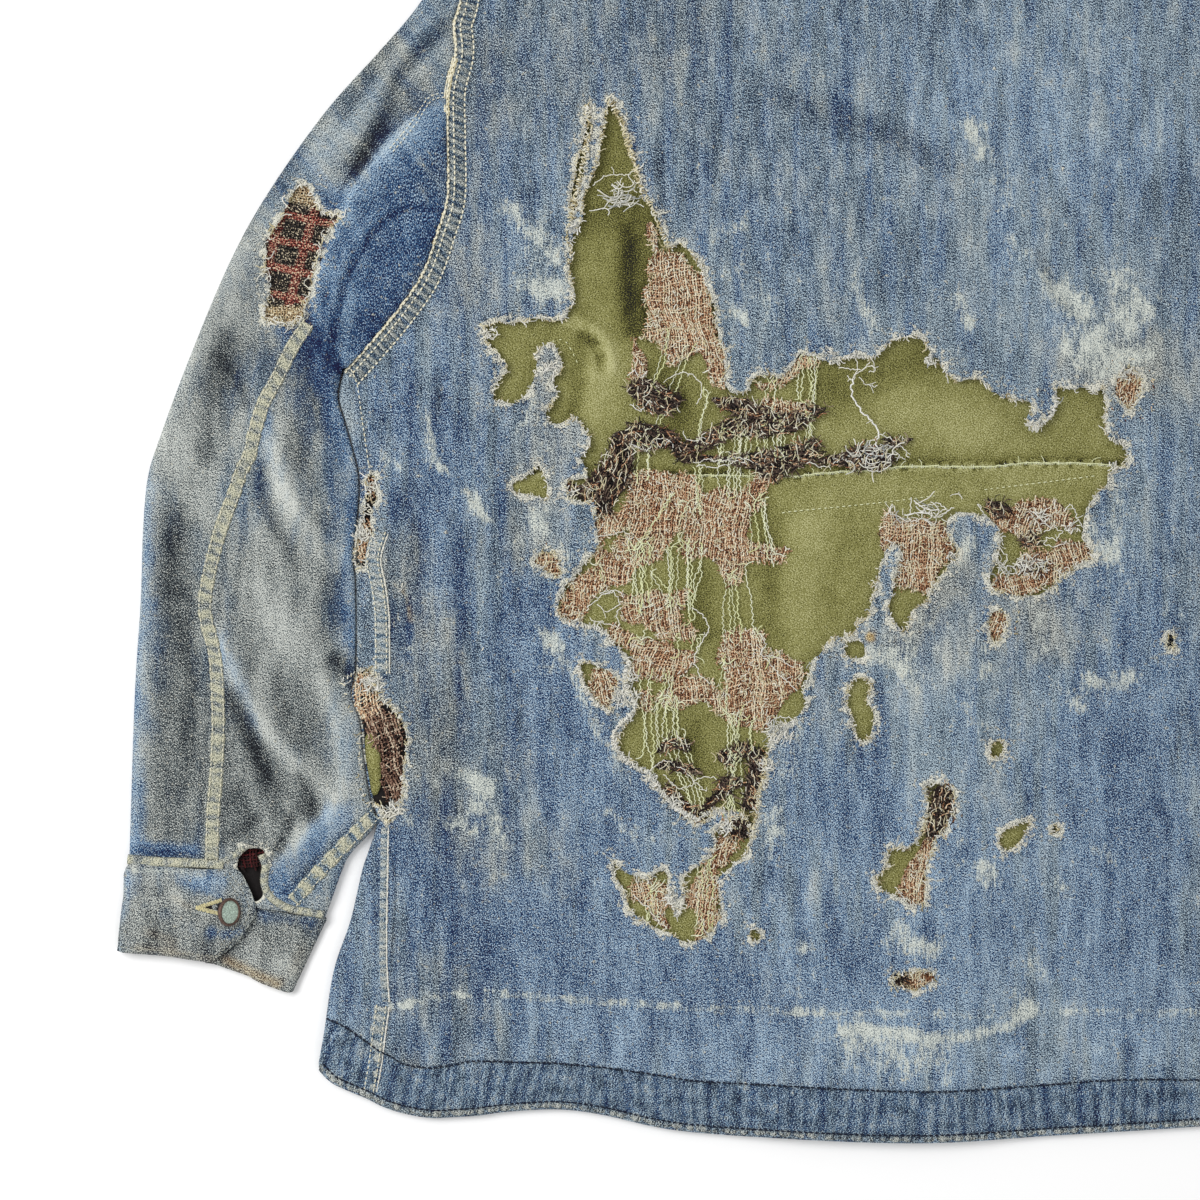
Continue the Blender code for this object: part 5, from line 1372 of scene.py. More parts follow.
def thread_tree():
    """A thread along each edge run, its flat side up; the runs carry their own thickness."""
    tree, given, result = new_tree("loose threads", (("Thickness", 0.001), ("Sides", 4.0)))
    to_curve = tree.nodes.new("GeometryNodeMeshToCurve")
    upright = tree.nodes.new("GeometryNodeSetCurveNormal")
    upright.mode = "Z_UP"
    section = tree.nodes.new("GeometryNodeCurvePrimitiveCircle")
    section.inputs["Radius"].default_value = 0.5
    flat_up = tree.nodes.new("GeometryNodeTransform")
    flat_up.inputs["Rotation"].default_value = (0.0, 0.0, math.radians(-30.0))
    own = tree.nodes.new("GeometryNodeInputNamedAttribute")
    own.data_type = "FLOAT"
    own.inputs["Name"].default_value = "thick"
    scaled = tree.nodes.new("ShaderNodeMath")
    scaled.operation = "MULTIPLY"
    tube = tree.nodes.new("GeometryNodeCurveToMesh")
    tube.inputs["Fill Caps"].default_value = True
    smooth = tree.nodes.new("GeometryNodeSetShadeSmooth")
    realize = tree.nodes.new("GeometryNodeRealizeInstances")
    paint = tree.nodes.new("GeometryNodeSetMaterial")
    wire(tree, given, "Geometry", to_curve, 0)
    wire(tree, given, "Sides", section, "Resolution")
    wire(tree, given, "Thickness", scaled, 0)
    wire(tree, own, 0, scaled, 1)
    wire(tree, to_curve, 0, upright, 0)
    wire(tree, upright, 0, tube, "Curve")
    wire(tree, section, 0, flat_up, "Geometry")
    wire(tree, flat_up, 0, tube, "Profile Curve")
    wire(tree, scaled, 0, tube, "Scale")
    wire(tree, tube, 0, smooth, 0)
    wire(tree, smooth, 0, realize, 0)
    wire(tree, realize, 0, paint, "Geometry")
    wire(tree, given, "Material", paint, "Material")
    wire(tree, paint, 0, result, 0)
    return tree


STITCHES = stitch_tree()
THREADS = thread_tree()


def grown(name, runs, tree, finish, **numbers):
    """A plain mesh that a node tree makes from runs of (points, thickness, shade)."""
    coords, edges, thick, shade = [], [], [], []
    for points, size, tint in runs:
        start = len(coords)
        coords.extend(np.asarray(points) * MM)
        edges.extend((start + i, start + i + 1) for i in range(len(points) - 1))
        thick.extend([size] * len(points))
        shade.extend([tint] * len(points))
    mesh = bpy.data.meshes.new(name)
    mesh.from_pydata([tuple(c) for c in coords], edges, [])
    set_values(mesh, "thick", thick)
    set_values(mesh, "shade", shade)
    thing = add_piece(name, mesh, None)
    step = thing.modifiers.new("grow", "NODES")
    step.node_group = tree
    sockets = {s.name: s.identifier for s in tree.interface.items_tree if s.in_out == "INPUT"}
    for label, value in numbers.items():
        step[sockets[label]] = value
    step[sockets["Material"]] = finish
    bpy.context.view_layer.update()
    made = bpy.data.meshes.new_from_object(thing.evaluated_get(bpy.context.evaluated_depsgraph_get()))
    thing.modifiers.clear()
    thing.data = made
    made.name = name
    bpy.data.meshes.remove(mesh)
    return thing


def laid_on(path, top, lift):
    """A flat path given the height of a surface."""
    return np.column_stack([path, top(path[:, 0], path[:, 1]) + lift])


# ---------------------------------------------------------------- bands and seams

def strip(name, left, right, top, lift, finish, pucker=0.25, period=9.0, across_count=7, step=1.2, seed=1,
          lean=0.0):
    """A raised band between two paths, puckered along its length, with its cloth map along it."""
    count = max(6, int(length_of(left) / step))
    left, right = evenly(left, count), evenly(right, count)
    draw = random.Random(seed)
    share = np.linspace(0, 1, across_count)
    run = np.concatenate([[0], np.cumsum(np.hypot(*np.diff((left + right) / 2, axis=0).T))])
    width = float(np.hypot(*(left - right).T).mean())
    places = [-period]
    while places[-1] < run[-1] + period:
        places.append(places[-1] + period * draw.choice((0.5, 0.7, 0.9, 1.1, 1.4)))
    marks = [draw.uniform(0.35, 1.0) * (1 if i % 2 else -1) for i in range(len(places))]
    bend = np.interp(run, np.linspace(0, run[-1], 24), [draw.uniform(-0.6, 1.0) for _ in range(24)])
    shifted = run[:, None] + (share[None, :] - 0.5) * lean * bend[:, None]
    ripple = np.interp(shifted, places, marks)
    rows = left[:, None, :] * (1 - share)[None, :, None] + right[:, None, :] * share[None, :, None]
    x, y = rows[..., 0].ravel(), rows[..., 1].ravel()
    crown = np.sqrt(np.sin(np.clip(share, 0.0, 1.0) * math.pi).clip(0, 1))
    z = top(x, y).reshape(count, across_count) + lift * crown[None, :] - 0.15
    z = z + ripple * pucker * np.sqrt(np.sin(share * math.pi).clip(0, 1))[None, :]
    points = np.column_stack([x, y, z.ravel()])
    faces = []
    for i in range(count - 1):
        for j in range(across_count - 1):
            a = i * across_count + j
            faces.append((a, a + across_count, a + across_count + 1, a + 1))
    mesh = bpy.data.meshes.new(name)
    mesh.from_pydata((points * MM).tolist(), [], faces)
    mesh.update()
    if mesh.polygons[len(faces) // 2].normal.z < 0:
        mesh.flip_normals()
    mesh.shade_smooth()
    set_values(mesh, "across", np.tile(share * 2 - 1, count))
    # Pucker height as tone: crests made paler and hollows darker, part rubbing and part painted shade.
    set_values(mesh, "worn", 0.60 * np.sqrt((ripple.ravel() + 1.0) / 2) - 0.42)
    set_cloth_map(mesh, np.tile(share * width, count) * MM, np.repeat(run, across_count) * MM)
    return thicken(add_piece(name, mesh, finish), 0.5)


def seam_band(name, path, width, top, lift, finish, **more):
    return strip(name, beside(path, width / 2), beside(path, -width / 2), top, lift, finish, **more)


def sewn(name, paths, top, lift, finish, pitch=3.2, size=1.2, width=0.42, shade=0.75):
    """Rows of stitches along paths on a surface."""
    runs = [(laid_on(evenly(p, max(3, int(length_of(p) / 2.0))), top, lift), 1.0, shade) for p in paths]
    return grown(name, runs, STITCHES, finish, Pitch=pitch * MM, Length=size * MM, Width=width * MM)


# ---------------------------------------------------------------- torn edges and yarns

def curly(start, heading, length, curl, draw, z, droop=0.0, step=1.25):
    """A loose thread: a wandering run from a start point."""
    points = []
    x, y = start
    angle = heading
    bend = draw.uniform(-curl, curl)
    count = max(3, int(length / step))
    for i in range(count):
        points.append((x, y, z + 0.35 * math.sin(i * 1.1 + start[0]) - droop * i / count))
        x += math.cos(angle) * step
        y += math.sin(angle) * step
        bend = 0.8 * bend + draw.uniform(-curl, curl) * 0.6
        angle += bend
    return points


def frayed(outline, top, seed, size=3.6, amount=1.0):
    """White and cream yarn ends round a torn edge, thick in some places and thin in others."""
    draw = random.Random(seed)
    count = len(outline)
    turn = np.roll(outline, -1, axis=0) - np.roll(outline, 1, axis=0)
    signed = float(np.sum(outline[:, 0] * np.roll(outline[:, 1], -1) - np.roll(outline[:, 0],
                                                                               -1) * outline[:, 1]))
    into = 1.0 if signed > 0 else -1.0
    heights = top(outline[:, 0], outline[:, 1])
    fields = []
    for waves in (count / 9, count / 16):
        waves = max(2, int(waves))
        marks = [draw.random() for _ in range(waves)]
        marks.append(marks[0])
        fields.append(np.interp(np.arange(count) / count * waves, np.arange(waves + 1), marks))
    thickly, creamy = fields
    white, cream = [], []
    for i in range(count):
        ahead = math.atan2(turn[i][1], turn[i][0])
        for _ in range(3):
            if draw.random() > amount * (0.10 + 0.62 * thickly[i] ** 1.5):
                continue
            outwards = draw.random() < 0.38
            heading = ahead + into * (math.pi / 2) * (-1 if outwards else 1) + draw.gauss(0, 1.0)
            length = size * draw.choice((0.4, 0.6, 0.8, 1.0, 1.5)) * draw.uniform(0.6, 1.3)
            back = draw.uniform(0.0, 2.4)
            spot = (outline[i][0] - math.cos(heading) * back, outline[i][1] - math.sin(heading) * back)
            droop = 0.0 if outwards else draw.uniform(0.2, 2.0)
            group = cream if draw.random() < 0.15 + 0.7 * creamy[i] else white
            group.append((curly(spot, heading, length, 0.95, draw, heights[i] + draw.uniform(0.1, 1.1),
                                droop, 0.95),
                          draw.uniform(0.38, 0.85), draw.uniform(0.05, 1.0)))
    return white, cream


def bound_edge(path, top, seed, width=4.0, spacing=1.3, lift=0.6):
    """A thick worn edge: uneven loops of yarn one beside another across a path."""
    draw = random.Random(seed)
    path = evenly(path, max(4, int(length_of(path) / spacing)))
    ahead = np.gradient(path, axis=0)
    heights = top(path[:, 0], path[:, 1])
    runs = []
    for (x, y), (dx, dy), z in zip(path, ahead, heights):
        if draw.random() < 0.12:
            continue
        angle = math.atan2(dy, dx) + math.pi / 2 + draw.gauss(0, 0.6)
        half = width / 2 * draw.uniform(0.4, 1.3)
        bend = draw.uniform(-0.5, 0.5) * half
        points = []
        for k in range(7):
            t = -1 + k / 3
            along, across = half * t, bend * (1 - t * t) + draw.uniform(-0.2, 0.2)
            points.append((x + math.cos(angle) * along - math.sin(angle) * across,
                           y + math.sin(angle) * along + math.cos(angle) * across,
                           z + lift * draw.uniform(0.7, 1.2) * math.sqrt(max(0.0, 1 - t * t)) + 0.1))
        runs.append((points, draw.uniform(0.55, 1.05), draw.uniform(0.1, 0.95)))
    return runs


def woven(region, turn, seed, z_at, warp, weft, holes=0.05, tail=3.0):
    """Torn blanket weave in a region. Warp and weft are each a pitch, a thickness and a range of shades."""
    draw = random.Random(seed)
    low, high = region.min(axis=0) - 2, region.max(axis=0) + 2
    centre = (low + high) / 2
    reach = float(np.hypot(*(high - low))) / 2
    cos, sin = math.cos(turn), math.sin(turn)
    runs = []
    for across, (pitch, size, dark, light) in ((False, warp), (True, weft)):
        half = int(reach / pitch) + 1
        other = (warp if across else weft)[0]
        for line in range(-half, half + 1):
            places = np.arange(-half * pitch, half * pitch, 1.35)
            offset = line * pitch + draw.uniform(-0.2, 0.2) * pitch
            off = (offset + 1.3 * np.sin(places / 11.0 + line * 0.1 + seed)
                   + 0.8 * np.sin(places / 4.3 + line * 0.23))
            off = off + np.array([draw.uniform(-0.22, 0.22) for _ in places])
            u, v = (places, off) if across else (off, places)
            x = centre[0] + u * cos - v * sin
            y = centre[1] + u * sin + v * cos
            keep = inside(x, y, region)
            if not keep.any():
                continue
            over = np.cos(math.pi * (places / other + line)) * (1 if across else -1)
            z = z_at(x, y) + 0.4 * over + 0.4 * wander(x, y, 13, seed)
            gap, current, tint = 0, [], draw.uniform(dark, light)
            for k in range(len(places)):
                if keep[k] and gap <= 0 and draw.random() < holes * 0.5:
                    gap = draw.randint(2, 6)
                gap -= 1
                if keep[k] and gap <= 0:
                    current.append((x[k], y[k], z[k]))
                    continue
                if len(current) > 2:
                    runs.append((current, size, tint))
                current, tint = [], draw.uniform(dark, light)
            if len(current) > 2:
                runs.append((current, size, tint))
    made = []
    for points, size, tint in runs:
        for end in (0, -1):
            if draw.random() < 0.5:
                a, b = (points[0], points[1]) if end == 0 else (points[-1], points[-2])
                heading = math.atan2(a[1] - b[1], a[0] - b[0])
                extra = curly(a[:2], heading, tail * draw.uniform(0.4, 1.8), 0.6, draw, a[2], 0.3)[1:]
                points = list(reversed(extra)) + points if end == 0 else points + extra
        made.append((points, size * draw.uniform(0.8, 1.2), tint))
    return made


def ribbon(path, width):
    """Closed outline of a stroke of cloth along a path; width is one value or one for each point."""
    smooth_path = curve(path, 2.5)
    if np.ndim(width):
        width = np.interp(np.linspace(0, 1, len(smooth_path)), np.linspace(0, 1, len(width)), width)
    widths = np.asarray(width) * np.ones(len(smooth_path))
    left = smooth_path + (beside(smooth_path, 1.0) - smooth_path) * (widths / 2)[:, None]
    right = smooth_path - (beside(smooth_path, 1.0) - smooth_path) * (widths / 2)[:, None]
    return np.concatenate([left, right[::-1]])


# ---------------------------------------------------------------- the pieces

MADE = {}


def finish_piece(thing, nodes=()):
    """Rides the piece on the one body, hides the parts it stands for, and keeps it in MADE."""
    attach(thing, "root")
    if nodes:
        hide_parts(*nodes)
    MADE[thing.name] = thing
    return thing


def cloth_piece(name, mesh, finish, thickness, nodes=()):
    """A finished piece of cloth; the mesh is its outer face and its thickness lies behind."""
    return finish_piece(thicken(add_piece(name, mesh, finish), thickness), nodes)


def yarns(name, runs, finish, nodes=()):
    """A finished piece of three-sided threads, one for each run."""
    return finish_piece(grown(name, runs, THREADS, finish, Thickness=MM, Sides=3.0), nodes)


def layer(outline, step, holes=(), lines=(), edges=(), crisp=()):
    """Flat triangles of one layer, fine beside its holes and crisp folds and close beside folded edges."""
    fine = list(holes) + list(crisp)
    near = np.concatenate(fine) if fine else None
    points = field_points(outline, step, HOLE_STEP, near, HOLE_REACH, edge=step * 0.55)
    extra = []
    for path, side in edges:
        for distance in (0.5, 1.6, 3.4):
            moved = beside(path, side * distance)
            keep = inside(moved[:, 0], moved[:, 1], outline)
            extra.append(moved[keep])
    if extra:
        rim = np.concatenate(extra)
        tree = KDTree(len(rim))
        for i, (x, y) in enumerate(rim):
            tree.insert((x, y, 0), i)
        tree.balance()
        away = np.array([tree.find((x, y, 0))[2] for x, y in points])
        points = np.concatenate([points[away > 2.0], rim])
    inner = [(h, True) for h in holes] + [(line, False) for line in lines]
    return triangulated(outline, inner, points)


def without(faces, middle, holes):
    """Faces that lie in none of the holes."""
    keep = np.ones(len(faces), bool)
    for hole in holes:
        keep &= ~inside(middle[:, 0], middle[:, 1], hole)
    return keep


def joined_layers(*layers):
    """Points and faces of several (points, faces) put together."""
    points, faces, start = [], [], 0
    for some_points, some_faces in layers:
        points.append(some_points)
        faces.append(some_faces + start)
        start += len(some_points)
    return np.concatenate(points), np.concatenate(faces)


def neckline(side):
    """From the shoulder seam's neck end to the middle of the back."""
    angles = np.linspace(0, math.pi / 2, 14)
    x = side * -NECK[0] * np.cos(angles)
    return np.stack([x, NECK[1] - NECK_DEPTH * np.sin(angles)], axis=1)


def body_outline():
    """Outline of the body from the left hem corner, counter-clockwise along the hem."""
    left_side = RUNS["side_fold"]
    arm = RUNS["armhole"]
    left_top = np.concatenate([arm, [NECK], neckline(-1)[1:]])
    up_left = np.concatenate([left_side, left_top])
    up_right = up_left * FLIP
    hem = RUNS["hem"]
    return np.concatenate([hem[1:-1], up_right, up_left[::-1][1:]])


def side_region(side):
    """The strip of a front that shows between the side seam and the fold."""
    path = np.concatenate([RUNS["side_seam"], RUNS["side_fold"][::-1]])
    return path if side < 0 else path * FLIP


def make_body():
    """Back, and both fronts with the strips that turn onto the back."""
    outline = body_outline()
    holes = {"main": ragged(HOLE_MAIN, 1.7, 21), "island": ragged(HOLE_ISLAND, 1.3, 22),
             "lower": ragged(HOLE_LOWER, 1.3, 23)}
    for number, (name, points) in enumerate(SMALL_HOLES.items()):
        holes[name] = ragged(points, 0.8, 30 + number, 1.3)
    side_holes = {"side_upper": ragged(HOLE_SIDE_UPPER, 0.8, 51),
                  "side_lower": ragged(HOLE_SIDE_LOWER, 0.9, 52)}
    seams = [RUNS["side_seam"], RUNS["side_seam"] * FLIP]
    folds = [(RUNS["side_fold"], -1), (RUNS["side_fold"] * FLIP, 1)]
    every_hole = list(holes.values()) + list(side_holes.values())
    flat, faces, middle = layer(outline, OPEN_STEP, every_hole, seams, folds,
                                crisp_lines(BODY_FOLDS, BODY_WEAR_AND_SHADE))
    whole = without(faces, middle, every_hole)
    top = np.column_stack([flat, body_top(flat[:, 0], flat[:, 1])])
    regions = {side: inside(middle[:, 0], middle[:, 1], side_region(side)) for side in (-1, 1)}
    torn = np.concatenate(every_hole)

    mesh = mesh_from("back", top, faces[whole & ~regions[-1] & ~regions[1]])
    set_strokes_and_shade(mesh, BODY_WEAR_AND_SHADE + RIGHT_WEAR, torn, straight_grain, body_relief)
    cloth_piece("back_cloth", mesh, FINISHES["denim"], DENIM_THICK, ["back"])

    low_flat, low_faces, low_middle = layer(outline, 11.0, (), (), folds)
    bottom = rounded_bottom([RUNS["side_fold"], RUNS["side_fold"] * FLIP], BODY_TOP,
                            lambda x, y: np.asarray(y) < 60)
    for side, word, edge in ((-1, "left", 22.0), (1, "right", -22.0)):
        z = bottom(low_flat[:, 0], low_flat[:, 1])
        if side > 0:
            z = z + 1.6 * ease(50, 26, low_flat[:, 0])
        low_points = np.column_stack([low_flat, z])
        kept = low_middle[:, 0] < edge if side < 0 else low_middle[:, 0] > edge
        kept &= low_middle[:, 1] < 372
        under_faces = low_faces[kept][:, ::-1]
        points, both = joined_layers((top, faces[whole & regions[side]]), (low_points, under_faces))
        mesh = mesh_from(f"front_{word}", points, both, weld=True)
        set_strokes_and_shade(mesh, BODY_WEAR_AND_SHADE + RIGHT_WEAR, torn, straight_grain, body_relief)
        cloth_piece(f"front_{word}_cloth", mesh, FINISHES["denim"], DENIM_THICK, [f"front_{word}"])
    return holes, side_holes


def sleeve_outline():
    arm = RUNS["armhole"]
    return np.concatenate([RUNS["outer"], RUNS["end"][1:], RUNS["inner"][1:], arm[1:-1]])


def make_sleeve(side):
    """Upper sleeve, round both folds, and the under sleeve's strip between the elbow and inner seams."""
    word = "left" if side < 0 else "right"
    outline = sleeve_outline()[::-1]
    elbow = np.concatenate([RUNS["elbow_top"], RUNS["elbow"][1:]])
    hole = ragged(HOLE_SLEEVE, 1.5, 61)
    slit = ragged(CUFF_SLIT, 0.35, 62, 1.2)
    holes = [hole, slit] if side < 0 else []
    mirror = FLIP if side > 0 else np.ones(2)
    folds = [(RUNS["outer"], 1), (RUNS["inner"], 1)]
    if side > 0:
        outline, elbow = outline * mirror, elbow * mirror
        folds = [(path * mirror, -sign) for path, sign in folds]
    inner = RUNS["inner"] * mirror
    arm = RUNS["armhole"] * mirror
    end = RUNS["end"] * mirror
    tail = end[np.abs(end[:, 0]) < 401.0]
    back_up = arm[:np.argmin(np.hypot(*(arm - elbow[0]).T)) + 1]
    under_region = np.concatenate([elbow, tail, inner[1:], back_up[1:]])
    folds_table = SLEEVE_FOLDS if side < 0 else RIGHT_SLEEVE_FOLDS
    tone_strokes = SLEEVE_WEAR_AND_SHADE if side < 0 else mirrored(SLEEVE_WEAR_AND_SHADE)
    flat, faces, middle = layer(outline, 3.9 if side < 0 else 4.8, holes, [elbow], folds,
                                crisp_lines(folds_table, tone_strokes))
    whole = without(faces, middle, holes)
    top_of = sleeve_top if side < 0 else right_sleeve_top
    top = np.column_stack([flat, top_of(flat[:, 0], flat[:, 1])])
    is_under = inside(middle[:, 0], middle[:, 1], under_region)
    low_flat, low_faces, _ = layer(outline, 10.0, (), (), folds)
    bottom = rounded_bottom([RUNS["outer"] * mirror], SLEEVE_TOP, lambda x, y: np.asarray(y) > -1e9)
    both_edges = rounded_bottom([RUNS["outer"] * mirror, inner], SLEEVE_TOP,
                                lambda x, y: np.asarray(y) < 60)
    low_z = np.maximum(bottom(*low_flat.T), both_edges(*low_flat.T))
    low_points = np.column_stack([low_flat, low_z])
    torn = np.concatenate(holes) if holes else ()

    def loft(x, y):
        return sleeve_relief(x, y, folds_table, side)

    points, both = joined_layers((top, faces[whole & ~is_under]), (low_points, low_faces[:, ::-1]))
    for name, mesh, node in (
            (f"sleeve_upper_{word}", mesh_from("upper", points, both, weld=True), f"sleeve_upper_{word}"),
            (f"sleeve_under_{word}", mesh_from("under", top, faces[whole & is_under]),
             f"sleeve_under_{word}")):
        set_strokes_and_shade(mesh, tone_strokes, torn, sleeve_grain(side), loft)
        cloth_piece(name + "_cloth", mesh, FINISHES["sleeve"], DENIM_THICK, [node])
    return holes


PATCH_FOLDS = (
    (-1.3, 4.5, 4.5, ((-150, 150), (-151, 120), (-150, 86))),
    (1.2, 9, 3, ((-140, 60), (-146, 100), (-142, 140))),
    (2.6, 5, 2.2, ((-196, 90), (-182, 88), (-172, 84), (-165, 76), (-162, 66), (-162, 54))),
    (-2.0, 3.0, 3.0, ((-184, 83), (-175, 80), (-168, 73), (-166, 62))),
    (-1.1, 4, 4, ((-181, 72), (-180, 50), (-185, 32))),
    (0.8, 6, 6, ((-172, 70), (-172, 40), (-176, 20))),
    (-0.8, 6, 6, ((-170, 215), (-164, 180), (-166, 160))),
    (-0.8, 5, 5, ((-128, 60), (-118, 40), (-122, 24))),
    (0.8, 12, 12, ((-30, 60), (20, 44), (90, 20))),
    (-0.9, 10, 10, ((-30, 44), (10, 62), (30, 74))),
    (-0.8, 8, 8, ((70, 34), (100, 22), (130, 24))),
    (0.7, 9, 9, ((-40, -20), (-52, -60), (-50, -100))),
    (-0.7, 6, 6, ((-60, -30), (-66, -70), (-60, -104))),
    (-0.7, 6, 6, ((-24, -34), (-30, -70), (-26, -96))),
    (-0.8, 5, 5, ((-104, -60), (-106, -90), (-102, -104))),
    (-0.8, 6, 6, ((-110, -150), (-112, -176), (-108, -196))),
)
# Darkening strokes in the patch's hollows, across its top and above the raw edge are painted shade and
# shadow, and the narrow pale stroke along the pleat's ridge is painted highlight.
PATCH_WEAR_AND_SHADE = (
    ("deep", 0.30, 6, ((-151, 146), (-152, 118), (-150, 86))),
    ("deep", 0.26, 9, ((-144, 130), (-142, 100), (-140, 84))),
    ("deep", 0.42, 2.6, ((-178, 82), (-171, 77), (-168, 70), (-167, 62))),
    ("pale", 0.20, 2.4, ((-188, 90), (-176, 87), (-168, 81), (-163, 72), (-161, 62))),
    ("deep", 0.10, 34, ((-165, 196), (-162, 150), (-158, 96))),
    ("deep", 0.20, 5, ((-181, 74), (-180, 52), (-185, 34))),
    ("deep", 0.18, 10, ((-176, 150), (-150, 156), (-140, 150))),
    ("deep", 0.20, 9, ((-128, 60), (-116, 36), (-122, 22))),
    ("deep", 0.12, 14, ((-30, 48), (4, 56), (26, 70))),
    ("deep", 0.14, 5, ((-36, 4), (10, 5), (70, 7), (130, 8))),
    ("deep", 0.12, 8, ((-64, -30), (-68, -70), (-62, -104))),
    ("deep", 0.14, 8, ((-106, -60), (-106, -96))),
    ("deep", 0.15, 9, ((-110, -150), (-114, -180))),
    ("pale", 0.10, 16, ((-168, 140), (-166, 100), (-158, 60))),
    ("pale", 0.12, 14, ((-174, 64), (-172, 40))),
    ("pale", 0.10, 18, ((-30, 20), (20, 30), (80, 24))),
    ("pale", 0.10, 16, ((-44, -30), (-46, -90))),
    ("pale", 0.08, 18, ((100, -4), (40, -8), (-20, -12))),
)
# Outline of each piece of the olive patch; the lower one's torn top edge lies over the upper one
PATCH_UPPER = (
    (-184, 232), (-152, 232), (-100, 150), (-40, 108), (60, 104), (168, 84), (170, -22), (60, -24),
    (-60, -26), (-205, -28), (-252, -22), (-256, 108), (-212, 122)
)
RAW_EDGE = (
    (-252, 0), (-180, -1), (-120, -2), (-60, -3), (-40, -2), (-20, 0), (0, 1), (20, 3), (60, 2.5),
    (95, 5), (152, 3.6)
)
PATCH_LOWER_REST = (
    (154, -22), (132, -96), (104, -226), (60, -318), (-60, -318), (-150, -296), (-182, -258),
    (-214, -120), (-254, -60)
)
BASTING = ((-58, -25), (-50, -24), (0, -19), (40, -14), (80, -9), (128, -3))

